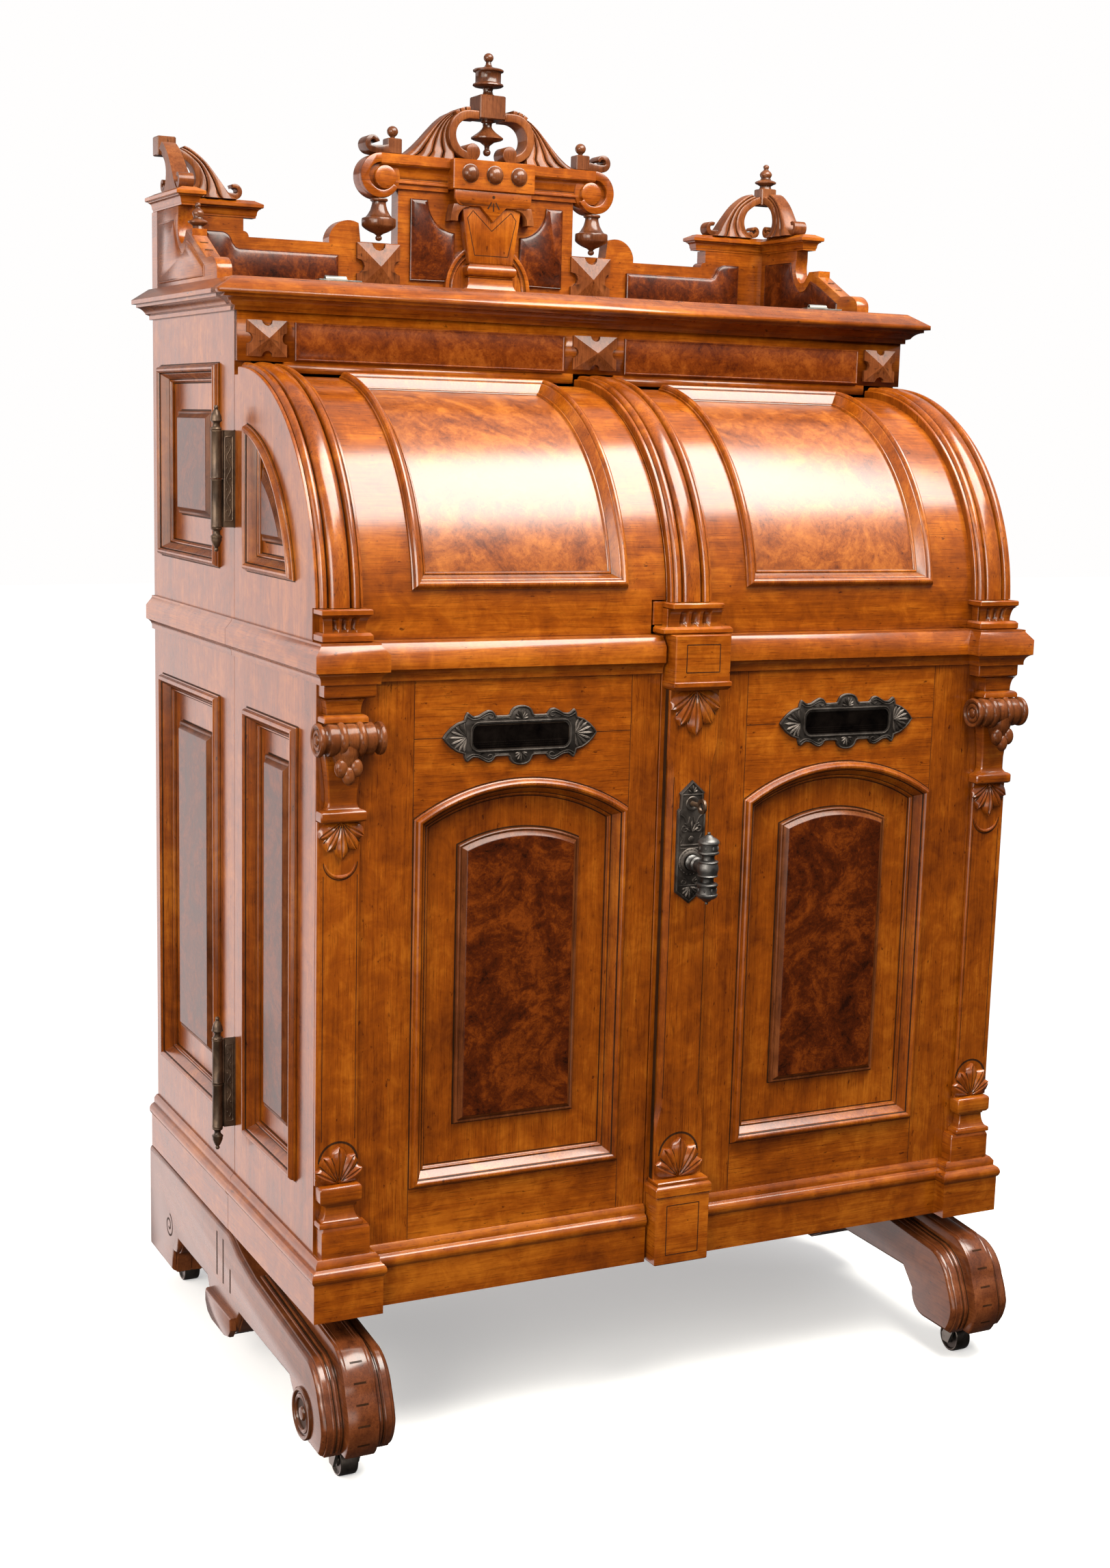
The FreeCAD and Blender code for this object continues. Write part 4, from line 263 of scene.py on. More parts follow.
@dataclass(frozen=True)
class Burl:
    """Varnished burl veneer: swirled figure with dark eyes and amber flecks."""

    name: str
    dark: Colour
    middle: Colour
    light: Colour
    coat: float = 0.5
    blur: float = 0.2

    def build(self) -> bpy.types.Material:
        """Returns the material."""
        graph = Graph(bpy.data.materials.new(self.name))
        spot = graph.place()
        swirl = graph.noise(spot, 46.0, 8.0, 0.74, 1.2)
        cloud = graph.noise(spot, 11.0, 6.0, 0.68, 1.6)
        cells = {"Vector": spot, "Scale": 130.0, "Randomness": 1.0}
        eyes = graph.node("ShaderNodeTexVoronoi", {"feature": "F1"}, cells, "Distance")
        fleck = graph.noise(spot, 260.0, 4.0, 0.7, 1.0)
        tone = swirl * 0.36 + cloud * 0.46 + fleck * 0.18
        colour = graph.ramp(tone, [(0.4, self.dark), (0.5, self.middle), (0.6, self.light)])
        rings = graph.ramp(eyes + (swirl - 0.5) * 0.5, [(0.02, (0.3, 0.22, 0.2)), (0.16, WHITE)])
        colour = graph.darken(0.65, colour, rings)
        rough = 0.36 + (cloud - 0.5) * 0.2
        graph.shade(Base_Color=colour, Roughness=rough, Normal=graph.bump(fleck, 0.0002, 0.25))
        return graph.varnish(self.coat, self.blur)


@dataclass(frozen=True)
class Metal:
    """Cast or rolled metal with a worn skin."""

    name: str
    dark: Colour
    light: Colour
    metallic: float
    roughness: float

    def build(self) -> bpy.types.Material:
        """Returns the material."""
        graph = Graph(bpy.data.materials.new(self.name))
        spot = graph.place()
        cloud = graph.noise(spot, 42.0, 5.0, 0.65, 0.5)
        grit = graph.noise(spot, 1040.0, 3.0, 0.6)
        tone = cloud * 0.8 + grit * 0.2
        # Hollows get painted shade and edges wear with painted highlight.
        colour = graph.paint_hollow_shade_and_edge_wear(graph.ramp(tone, [(0.35, self.dark), (0.68, self.light)]))
        rough = self.roughness + (cloud - 0.5) * 0.3
        graph.shade(Base_Color=colour, Roughness=rough, Normal=graph.bump(grit, 0.0002, 0.3))
        return graph.shade(Metallic=self.metallic)


class Finish(Enum):
    """Every finish on the object."""

    WALNUT_Z = Wood("walnut_upright", Axis.Z, *WALNUT)
    WALNUT_X = Wood("walnut_across", Axis.X, *WALNUT)
    WALNUT_Y = Wood("walnut_deep", Axis.Y, *WALNUT)
    CARVED = Wood("walnut_carved", Axis.Z, (0.032, 0.008, 0.002), (0.09, 0.024, 0.006),
                  (0.165, 0.052, 0.014), 0.48, 0.35)
    FOOT = Wood("walnut_foot", Axis.Y, (0.03, 0.0075, 0.0025), (0.085, 0.022, 0.006), (0.15, 0.045, 0.013),
                0.42, 0.8)
    TURNED = Wood("walnut_turned", Axis.Z, (0.028, 0.008, 0.003), (0.075, 0.022, 0.007),
                  (0.13, 0.045, 0.016), 0.4, 0.6)
    BURL = Burl("burl_veneer", (0.01, 0.0018, 0.0004), (0.042, 0.0068, 0.0008), (0.11, 0.022, 0.002))
    BURL_WARM = Burl("burl_curved", (0.06, 0.011, 0.0012), (0.15, 0.035, 0.0035), (0.25, 0.075, 0.01), 1.0,
                     0.28)
    # Red burl of the frieze, darkened further as painted shade under the cornice.
    BURL_RED = Burl("burl_frieze", (0.034, 0.005, 0.0005), (0.084, 0.0155, 0.0014), (0.145, 0.035, 0.004))
    INNER = Wood("plain_ash", Axis.X, *ASH, 0.55, 0.12)
    INNER_Z = Wood("upright_ash", Axis.Z, *ASH, 0.55, 0.12)
    # Dark lines: real cut lines and joints, and also strips of painted shade in the moulding junctions and
    # beside the centre stile.
    GROOVE = Wood("groove_dark", Axis.Z, (0.012, 0.005, 0.002), (0.025, 0.01, 0.004), (0.04, 0.016, 0.007),
                  0.6, 0.1)
    BRONZE = Metal("dark_bronze", (0.028, 0.016, 0.01), (0.12, 0.074, 0.044), 0.6, 0.4)
    IRON = Metal("cast_iron", (0.022, 0.017, 0.014), (0.09, 0.076, 0.066), 0.85, 0.4)
    # Near-black iron for the band in the letter slot: its darkness is painted shade of the deep slot.
    SLOT = Metal("slot_iron", (0.003, 0.002, 0.002), (0.014, 0.01, 0.008), 1.0, 0.5)
    GUN = Metal("gun_metal", (0.04, 0.037, 0.036), (0.12, 0.115, 0.11), 0.9, 0.42)
    STEEL = Metal("worn_steel", (0.08, 0.076, 0.07), (0.22, 0.21, 0.19), 0.9, 0.46)

    @property
    def material(self) -> bpy.types.Material:
        """The built material, made once."""
        found = bpy.data.materials.get(self.value.name)
        return found or self.value.build()


BEND_REACH = 0.014


def bends(mesh: bpy.types.Mesh) -> np.ndarray:
    """Returns the mean of n . (q - p) / |q - p| at each point p over its neighbours q.

    Neighbours farther off than BEND_REACH, in metres, count for less.

    Args:
        mesh: The mesh; n is its normal at p.
    Returns:
        One value a point: above 0 in a hollow, below 0 on an edge, 0 where it is flat.
    """
    spots = np.empty(len(mesh.vertices) * 3)
    mesh.vertices.foreach_get("co", spots)
    normals = np.empty(len(mesh.vertices) * 3)
    mesh.vertex_normals.foreach_get("vector", normals)
    ends = np.empty(len(mesh.edges) * 2, int)
    mesh.edges.foreach_get("vertices", ends)
    spots, normals, ends = spots.reshape(-1, 3), normals.reshape(-1, 3), ends.reshape(-1, 2)
    rise = np.zeros(len(spots))
    times = np.full(len(spots), 1e-9)
    for near, far in (ends.T, ends.T[::-1]):
        way = spots[far] - spots[near]
        length = np.linalg.norm(way, axis=1) + 1e-9
        lift = (way * normals[near]).sum(axis=1) / length
        np.add.at(rise, near, lift * np.minimum(1.0, BEND_REACH / length))
        np.add.at(times, near, 1.0)
    return rise / times


@dataclass
class Surface:
    """Points in millimetres and the faces over them."""

    points: np.ndarray
    faces: list

    def __add__(self, other: "Surface") -> "Surface":
        shift = len(self.points)
        faces = self.faces + [tuple(corner + shift for corner in face) for face in other.faces]
        return Surface(np.vstack([self.points, other.points]), faces)

    def moved(self, x: float = 0.0, y: float = 0.0, z: float = 0.0) -> "Surface":
        """Returns a shifted copy."""
        return Surface(self.points + np.array([x, y, z]), self.faces)

    def flipped(self) -> "Surface":
        """Returns a copy whose faces look the other way."""
        return Surface(self.points, [tuple(reversed(face)) for face in self.faces])

    def mirrored(self, wanted: bool = True) -> "Surface":
        """Returns a copy on the other side of the middle plane, or the surface itself if not wanted."""
        return Surface(self.points * np.array([-1.0, 1.0, 1.0]), self.faces).flipped() if wanted else self

    def turned(self, axis: Axis, degrees: float) -> "Surface":
        """Returns a copy turned about an axis through the origin."""
        matrix = np.array(Matrix.Rotation(math.radians(degrees), 3, axis.name))
        return Surface(self.points @ matrix.T, self.faces)

    def piece(self, name: str, body: str, finish: Finish, smooth: float = 35.0) -> bpy.types.Object:
        """Makes the object and lets it ride on a body.

        Args:
            name: The piece's name.
            body: The CAD body that carries it.
            finish: Its finish.
            smooth: Edges flatter than this angle are shaded smooth, in degrees.
        Returns:
            The new object.
        """
        mesh = bpy.data.meshes.new(name)
        mesh.from_pydata((self.points * MM).tolist(), [], self.faces)
        mesh.validate()
        mesh.polygons.foreach_set("use_smooth", [True] * len(mesh.polygons))
        mesh.set_sharp_from_angle(angle=math.radians(smooth))
        mesh.materials.append(finish.material)
        # The bend of each point drives painted shade in hollows and lighter, worn edges in the materials.
        mesh.attributes.new("bend", "FLOAT", "POINT").data.foreach_set("value", bends(mesh))
        made = bpy.data.objects.new(name, mesh)
        bpy.context.scene.collection.objects.link(made)
        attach(made, body)
        return made


def total(parts: Sequence[Surface]) -> Surface:
    """Returns several surfaces as one."""
    whole = parts[0]
    for part in parts[1:]:
        whole = whole + part
    return whole


def set_out(prefix: str, body: str, parts: dict[str, tuple], stands: dict[str, str],
            mirror: bool = False) -> None:
    """Makes the pieces of a sub-assembly.

    Args:
        prefix: The start of every piece's name.
        body: The CAD body that carries them.
        parts: Surface, finish and, where it has its own, smooth angle, by the rest of the piece's name.
        stands: The CAD node that a piece stands for, by the rest of the piece's name.
        mirror: Whether they lie on the other side.
    """
    for name, (surface, *look) in parts.items():
        made = surface.mirrored(mirror).piece(prefix + name, body, *look)
        if name in stands:
            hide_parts(stands[name])


def loft(loops: Rows, closed: bool = True, low_cap: bool = False, high_cap: bool = False) -> Surface:
    """Skins rows of points: face (j, i) joins loop j and j + 1 between points i and i + 1.

    Args:
        loops: Rows of points, of shape (rows, points, 3).
        closed: Whether each row joins its own start.
        low_cap: Close the first row with one face.
        high_cap: Close the last row with one face.
    Returns:
        The surface; a row that runs anticlockwise as seen from the last row's side faces outward.
    """
    loops = np.asarray(loops, float)
    rows, count = loops.shape[:2]
    faces = []
    for row in range(rows - 1):
        for step in range(count if closed else count - 1):
            after = (step + 1) % count
            here, there = row * count, (row + 1) * count
            faces.append((here + step, here + after, there + after, there + step))
    if low_cap:
        faces.append(tuple(reversed(range(count))))
    if high_cap:
        faces.append(tuple(range((rows - 1) * count, rows * count)))
    return Surface(loops.reshape(-1, 3), faces)


def solid(loops: Rows) -> Surface:
    """Skins rows of points that each join their own start, and closes both ends."""
    return loft(loops, True, True, True)


def facing(spots: np.ndarray, level: Union[float, np.ndarray]) -> np.ndarray:
    """Lays points (x, z) on a face that looks to -Y, at one level or at one for each point."""
    return np.stack([spots[:, 0], np.broadcast_to(level, (len(spots),)), spots[:, 1]], 1)


def unit(ways: np.ndarray) -> np.ndarray:
    """Returns rows of directions brought to a length of 1."""
    return ways / np.maximum(np.linalg.norm(ways, axis=1, keepdims=True), 1e-9)


def lengths(spots: np.ndarray) -> np.ndarray:
    """Returns the length of a line up to each of its points."""
    return np.concatenate([[0], np.cumsum(np.linalg.norm(np.diff(spots, axis=0), axis=1))])


def sample(spots: np.ndarray, marks: np.ndarray) -> np.ndarray:
    """Returns the points of a line at given lengths along it."""
    reach = lengths(spots)
    return np.stack([np.interp(marks, reach, spots[:, part]) for part in (0, 1)], 1)


def cove(start: Sequence[float], sine: Sequence[float], fall: Sequence[float], first: float = 0.0,
         steps: int = 7) -> list[tuple]:
    """Returns the rows of a quarter hollow: start + sine sin a + fall (1 - cos a).

    Args:
        start: The row at the angle 0.
        sine: What the sine adds to each value.
        fall: What 1 less the cosine adds to each value.
        first: The first angle; the last one is a right angle.
        steps: The number of rows.
    Returns:
        The rows.
    """
    turns = np.linspace(first, math.pi / 2, steps)[:, None]
    rows = np.array(start) + np.sin(turns) * np.array(sine) + (1 - np.cos(turns)) * np.array(fall)
    return [tuple(row) for row in rows]


def bead(radius: float, high: float, middle: float, first: float, steps: int) -> list[Pair]:
    """Returns the profile of a turned ball up to its pole: (radius cos a, middle + high sin a)."""
    turns = np.linspace(first, math.pi / 2, steps)
    return [(radius * math.cos(turn), middle + high * math.sin(turn)) for turn in turns]


def lathe(profile: Sequence[Pair], axis: Axis = Axis.Z, way: int = 1, steps: int = 40) -> Surface:
    """Turns a profile: point = (r cos a, r sin a, h), laid along an axis.

    Args:
        profile: Rows of radius and height.
        axis: The axis of turning.
        way: 1 or -1, the direction in which the height counts.
        steps: Points round the axis.
    Returns:
        A surface round the origin.
    """
    angles = np.linspace(0, 2 * math.pi, steps, endpoint=False)
    loops = []
    for radius, height in profile:
        radius = max(radius, 0.01)
        ring = [radius * np.cos(angles), radius * np.sin(angles), np.full(steps, height)]
        loops.append(np.stack(ring, 1))
    made = solid(loops)
    if axis is Axis.X:
        made = made.turned(Axis.Y, 90 * way)
    elif axis is Axis.Y:
        made = made.turned(Axis.X, -90 * way)
    elif way < 0:
        made = made.turned(Axis.X, 180)
    return made


def rounded(rows: Sequence[Pair], steps: int) -> list[Pair]:
    """Returns a profile run through its rows as a smooth curve (Catmull-Rom)."""
    spots = np.array(rows, float)
    spots = np.vstack([2 * spots[0] - spots[1], spots, 2 * spots[-1] - spots[-2]])
    made = []
    for step in range(1, len(spots) - 2):
        first, start, end, last = spots[step - 1:step + 3]
        for share in np.linspace(0, 1, steps, endpoint=False):
            curve = 2 * start + (end - first) * share
            curve = curve + (2 * first - 5 * start + 4 * end - last) * share ** 2
            curve = (curve + (3 * start - first - 3 * end + last) * share ** 3) / 2
            made.append((float(curve[0]), float(curve[1])))
    made.append((float(spots[-2][0]), float(spots[-2][1])))
    return made


def arc(centre: Pair, radius: float, start: float, end: float, steps: int) -> list[Pair]:
    """Returns points of an arc: centre + radius (cos a, sin a), angles in degrees."""
    angles = np.radians(np.linspace(start, end, steps + 1))
    return [(centre[0] + radius * math.cos(turn), centre[1] + radius * math.sin(turn)) for turn in angles]


def inset(outline: np.ndarray, amount: float) -> np.ndarray:
    """Returns an anticlockwise outline moved inward along its corner normals."""
    before = unit(outline - np.roll(outline, 1, 0))
    after = unit(np.roll(outline, -1, 0) - outline)
    normal = np.stack([-(before + after)[:, 1], (before + after)[:, 0]], 1)
    cosine = np.clip((before * after).sum(1, keepdims=True), -1, 1)
    stretch = np.minimum(1 / np.sqrt(np.maximum((1 + cosine) / 2, 0.05)), 2.0)
    return outline + unit(normal) * amount * stretch


def anticlockwise(outline: Sequence[Pair]) -> np.ndarray:
    """Returns an outline as an array that runs anticlockwise."""
    spots = np.array(outline, float)
    around = np.roll(spots, -1, 0)
    area = (spots[:, 0] * around[:, 1] - around[:, 0] * spots[:, 1]).sum()
    return spots if area > 0 else spots[::-1]


def plate(outline: Sequence[Pair], axis: Axis, face: float, back: float, edge: Sequence[Pair]) -> Surface:
    """Pushes an outline along an axis, with a moulded edge round its face.

    Args:
        outline: Corners as (x, z) for axis Y, (y, z) for axis X, (x, y) for axis Z.
        axis: The direction of the push.
        face: Where the shown face lies; it looks away from back.
        back: Where the hidden face lies.
        edge: Rows of (inset, depth below the face), from the side to the face.
    Returns:
        A closed surface.
    """
    shape = anticlockwise(outline)
    way = 1.0 if face > back else -1.0
    rows = [(0.0, abs(face - back))] + list(edge)
    loops = []
    for amount, depth in rows:
        spots = inset(shape, amount) if amount else shape
        level = np.full(len(spots), face - way * depth)
        columns = {Axis.X: (level, spots[:, 0], spots[:, 1]), Axis.Y: (spots[:, 0], level, spots[:, 1]),
                   Axis.Z: (spots[:, 0], spots[:, 1], level)}[axis]
        loops.append(np.stack(columns, 1))
    made = solid(loops)
    outward = way if axis is not Axis.Y else -way
    return made.flipped() if outward < 0 else made


EDGE = ((0.0, 1.0), (0.3, 0.3), (1.0, 0.0))
FINE_EDGE = ((0.0, 0.5), (0.15, 0.15), (0.5, 0.0))
SHARP = ((0.0, 0.0),)


def stack(rows: Sequence[tuple[float, float, float, float, float]], bevel: float) -> Surface:
    """Skins level rectangles from the bottom up, with small bevels at their corners.

    Args:
        rows: Each row is (x low, x high, y low, y high, z).
        bevel: Size of the corner bevel.
    Returns:
        A closed surface.
    """
    loops = []
    for left, right, front, back, level in rows:
        cut = min(bevel, (right - left) / 4, (back - front) / 4)
        ring = [(left + cut, front), (right - cut, front), (right, front + cut), (right, back - cut),
                (right - cut, back), (left + cut, back), (left, back - cut), (left, front + cut)]
        loops.append([(x, y, level) for x, y in ring])
    return solid(loops)


def block(low: Sequence[float], high: Sequence[float], bevel: float) -> Surface:
    """Returns a box with bevelled edges between two corners."""
    (x0, y0, z0), (x1, y1, z1) = low, high
    rows = [(x0 + bevel, x1 - bevel, y0 + bevel, y1 - bevel, z0), (x0, x1, y0, y1, z0 + bevel),
            (x0, x1, y0, y1, z1 - bevel), (x0 + bevel, x1 - bevel, y0 + bevel, y1 - bevel, z1)]
    return stack(rows, bevel)


def tube(path: Rows, radius: Union[float, np.ndarray], steps: int = 8, closed: bool = False) -> Surface:
    """Sweeps a circle along points: point = p + r (n cos a + b sin a) with a carried normal.

    Args:
        path: Points of the middle line.
        radius: One radius, or one for each point.
        steps: Points round the tube.
        closed: Whether the line joins its own start.
    Returns:
        The tube, with its ends closed.
    """
    path = np.asarray(path, float)
    ways = np.roll(path, -1, 0) - np.roll(path, 1, 0)
    if not closed:
        ways[0], ways[-1] = path[1] - path[0], path[-1] - path[-2]
    ways = unit(ways)
    helper = np.array([0.0, 0.0, 1.0]) if abs(ways[0][2]) < 0.9 else np.array([1.0, 0.0, 0.0])
    normal = np.cross(ways[0], helper)
    angles = np.linspace(0, 2 * math.pi, steps, endpoint=False)
    radii = np.broadcast_to(np.asarray(radius, float), (len(path),))
    loops = []
    for spot, way, reach in zip(path, ways, radii):
        normal = normal - way * normal.dot(way)
        normal = normal / max(np.linalg.norm(normal), 1e-9)
        side = np.cross(way, normal)
        loops.append([spot + reach * (normal * math.cos(turn) + side * math.sin(turn)) for turn in angles])
    if closed:
        loops.append(loops[0])
    return loft(loops, True, not closed, not closed)


def dress(node: str, finish: Finish, edge: float) -> None:
    """Gives a CAD node its finish and softened edges.

    Args:
        node: The node's name.
        finish: Its finish.
        edge: Width of the softened edges in millimetres, or 0.
    """
    item = frame["nodes"][node]
    item.data.materials.clear()
    item.data.materials.append(finish.material)
    weld = item.modifiers.new("weld", "WELD")
    weld.merge_threshold = 0.00001
    if edge:
        soft = item.modifiers.new("soft_edges", "BEVEL")
        soft.width = edge * MM
        soft.segments = 2
        soft.limit_method = "ANGLE"
        soft.angle_limit = math.radians(40)
        soft.use_clamp_overlap = True
        even_light = item.modifiers.new("even_light", "WEIGHTED_NORMAL")
        even_light.keep_sharp = True
    item.data.polygons.foreach_set("use_smooth", [True] * len(item.data.polygons))
    item.data.set_sharp_from_angle(angle=math.radians(30))


@dataclass(frozen=True)
class Studio:
    """Camera, lights and floor; lengths in metres, angles in degrees."""

    eye: Triple = (-1.3472, -2.6468, 1.2881)
    yaw: float = 26.77
    pitch: float = 10.08
    roll: float = 1.58
    focal: float = 3118.58
    centre: Pair = (836.53, 1185.1)
    image: Pair = (1624.0, 2295.0)
    sensor: float = 36.0
    dome: Pair = (0.06, 0.75)
    floor_reach: float = 14.0
    boxes: Sequence[tuple[str, Triple, Triple, Pair, float, Colour]] = (
        ("top_box", (0.5, -1.15, 3.05), (-0.05, -0.1, 1.0), (2.6, 1.5), 255.0, (1.0, 0.965, 0.885)),
        ("front_box", (-2.9, -2.4, 1.9), (-0.3, 0.0, 0.7), (1.5, 1.5), 118.0, (1.0, 0.95, 0.86)),
        ("side_box", (-2.3, 3.3, -0.4), (-0.4, 0.1, 0.1), (3.0, 5.2), 112.0, (1.0, 0.83, 0.79)),
        ("left_box", (-3.0, -0.5, 1.6), (-0.5, 0.1, 0.8), (1.6, 2.0), 62.0, (1.0, 0.92, 0.82)),
        ("low_box", (-1.1, -2.3, 0.35), (-0.1, -0.3, 0.3), (2.2, 0.5), 13.0, (1.0, 0.93, 0.84)),
    )

    def camera(self) -> None:
        """Sets the camera where the photograph was taken."""
        yaw, pitch, roll = (math.radians(turn) for turn in (self.yaw, self.pitch, self.roll))
        ahead = Vector((math.sin(yaw) * math.cos(pitch), math.cos(yaw) * math.cos(pitch), -math.sin(pitch)))
        right = Vector((math.cos(yaw), -math.sin(yaw), 0.0))
        above = right.cross(ahead)
        across = right * math.cos(roll) + above * math.sin(roll)
        upward = above * math.cos(roll) - right * math.sin(roll)
        data = bpy.data.cameras.new("camera")
        data.sensor_width = self.sensor
        data.lens = self.focal * self.sensor / self.image[1]
        data.shift_x = (self.image[0] / 2 - self.centre[0]) / self.image[1]
        data.shift_y = (self.centre[1] - self.image[1] / 2) / self.image[1]
        data.clip_end = 100.0
        made = bpy.data.objects.new("camera", data)
        turn = Matrix((across, upward, -ahead)).transposed().to_4x4()
        made.matrix_world = Matrix.Translation(self.eye) @ turn
        bpy.context.scene.collection.objects.link(made)
        bpy.context.scene.camera = made

    def light(self, name: str, spot: Triple, aim: Triple, size: Pair, power: float, colour: Colour) -> None:
        """Adds one soft box."""
        data = bpy.data.lights.new(name, "AREA")
        data.shape = "RECTANGLE"
        data.size, data.size_y = size
        data.energy = power
        data.color = colour
        made = bpy.data.objects.new(name, data)
        way = Vector(aim) - Vector(spot)
        made.matrix_world = Matrix.Translation(spot) @ way.to_track_quat("-Z", "Y").to_matrix().to_4x4()
        bpy.context.scene.collection.objects.link(made)
        made.visible_camera = False

    def sky(self) -> None:
        """Makes the white ground of the picture and a dome that is brighter overhead."""
        graph = Graph(bpy.data.worlds.new("studio"))
        low, high = self.dome
        way = graph.node("ShaderNodeTexCoord", {}, {}, "Generated")
        rise = graph.node("ShaderNodeSeparateXYZ", {}, {"Vector": way}, "Z")
        span = {"Value": rise, "From Min": 0.0, "From Max": 0.5, "To Min": low, "To Max": high}
        level = graph.node("ShaderNodeMapRange", {}, span, "Result")
        seen = graph.node("ShaderNodeLightPath", {}, {}, "Is Camera Ray")
        ground = graph.tree.nodes["Background"]
        graph.feed(ground.inputs["Color"], (1.0, 0.99, 0.985, 1.0))
        graph.feed(ground.inputs["Strength"], seen.most(level))
        bpy.context.scene.world = graph.owner

    def floor(self) -> None:
        """Makes a floor that takes the shadow near the desk and fades to white behind it; its emission is
        painted light that lifts that shadow and glows white away from the desk.
        """
        reach = self.floor_reach
        mesh = bpy.data.meshes.new("floor")
        corners = [(-reach, -reach, 0), (reach, -reach, 0), (reach, reach, 0), (-reach, reach, 0)]
        mesh.from_pydata(corners, [], [(0, 1, 2, 3)])
        graph = Graph(bpy.data.materials.new("floor"))
        slope = {0: graph.place(), 1: (0.11, 0.22, 0.0)}
        fade = graph.node("ShaderNodeVectorMath", {"operation": "DOT_PRODUCT"}, slope, "Value") + 0.2
        plain = graph.ramp(fade, [(0.25, (0.72, 0.72, 0.72)), (0.5, (0.1, 0.1, 0.1))])
        # Painted light: the floor glows a little near the desk, lifting the shadow, and fully white farther
        # off.
        painted_floor_glow = graph.ramp(fade, [(0.25, (0.36, 0.36, 0.36)), (0.5, WHITE)])
        graph.shade(Base_Color=plain, Emission_Color=painted_floor_glow)
        mesh.materials.append(graph.shade(Roughness=0.8, Emission_Strength=1.0, Specular_IOR_Level=0.0))
        made = bpy.data.objects.new("floor", mesh)
        bpy.context.scene.collection.objects.link(made)
        made.visible_glossy = False
        made.visible_diffuse = False

    def build(self) -> None:
        """Makes the whole studio."""
        self.camera()
        self.sky()
        for box in self.boxes:
            self.light(*box)
        self.floor()
        bpy.context.scene.view_settings.view_transform = "Standard"


Outline = Callable[[float], np.ndarray]
Placing = Callable[[np.ndarray, float], np.ndarray]


@dataclass(frozen=True)
class PanelFrame:
    """A moulded frame round a sunk field, with or without a raised panel.

    The frame and the panel are skins over one outline at many insets, lifted to their heights; dark strips
    in the junctions are painted shade, with some patina.
    """

    name: str
    body: str
    outline: Outline
    place: Placing
    panel: Optional[Outline] = None
    mirror: bool = False
    frame_rows: Sequence[Pair] = (
        (-0.8, 0), (-0.8, 2.4), (0.4, 3.2), (0.9, 5.2), (2.2, 7.6), (4.2, 8.9), (6.4, 8.7), (8.2, 7.4),
        (9.2, 5.6), (9.6, 4.6), (10.4, 4.3), (11.5, 3.2), (17.6, -6.6), (18.1, -7), (18.9, -6.4),
        (20, -6.5), (20.8, -7.4), (21.1, -8.6), (22, -9.4), (22, -12),
    )
    panel_rows: Sequence[Pair] = (
        (0, -12), (0, -8.2), (0.5, -7), (1.6, -6.2), (2.9, -6.5), (3.6, -7), (4, -7.1), (4.6, -6.4),
        (9.2, -2.4), (9.9, -2),
    )
    # Dark strips in the junctions of the moulding: painted shade, with some patina.
    shade_line_rows: Sequence[tuple[Pair, Pair]] = (
        ((-2.4, 0.15), (-0.8, 0.15)), ((9.2, 5.9), (10.5, 4.5)), ((17.5, -6.3), (18.4, -6.7)),
        ((21.9, -11.8), (23.6, -11.8)),
    )

    def skin(self, rows: Sequence[Pair], outline: Outline) -> np.ndarray:
        """Returns the rows of points of one moulded band."""
        return np.array([self.place(outline(amount), height) for amount, height in rows])

    def build(self) -> bpy.types.Object:
        """Makes the pieces and returns the frame."""
        edge, level = self.frame_rows[-1]
        floor = self.skin([(edge - 0.5, level), (edge, level)], self.outline)
        bands = [("_frame", loft(self.skin(self.frame_rows, self.outline)), Finish.WALNUT_Z),
                 ("_field", loft(floor, True, False, True), Finish.WALNUT_Z)]
        lines = [loft(self.skin(rows, self.outline)) for rows in self.shade_line_rows]
        if self.panel is not None:
            top = self.skin(self.panel_rows[-2:], self.panel)
            bands.append(("_edge", loft(self.skin(self.panel_rows[:-1], self.panel)), Finish.CARVED))
            bands.append(("_burl", loft(top, True, False, True), Finish.BURL))
            # A dark strip round the panel's foot: painted shade, with some patina.
            lines.append(loft(self.skin(((-2, -11.8), (0.1, -11.8)), self.panel)))
        bands.append(("_lines", total(lines), Finish.GROOVE))
        made = [surface.mirrored(self.mirror).piece(self.name + tag, self.body, finish, 28)
                for tag, surface, finish in bands]
        return made[0]


def rectangle(u: Pair, v: Pair) -> Outline:
    """Returns an outline function of a rectangle."""
    return lambda amount: np.array([(u[0] + amount, v[0] + amount), (u[1] - amount, v[0] + amount),
                                    (u[1] - amount, v[1] - amount), (u[0] + amount, v[1] - amount)])


def arched(middle: float, half: float, low: float, radius: float, centre: float) -> Outline:
    """Returns an outline function of a rectangle with a low arched head."""
    def outline(amount: float) -> np.ndarray:
        reach, bend = half - amount, radius - amount
        turn = math.degrees(math.acos(reach / bend))
        head = arc((middle, centre), bend, turn, 180 - turn, 28)
        return np.array([(middle - reach, low + amount), (middle + reach, low + amount)] + head)
    return outline


def crown_spot(height: float, turn: Union[float, np.ndarray]) -> tuple:
    """Returns y and z over the bent door tops: axis + (radius + height) (-cos a, sin a)."""
    reach = CROWN_R + height
    return CROWN_Y - reach * np.cos(turn), CROWN_Z + reach * np.sin(turn)


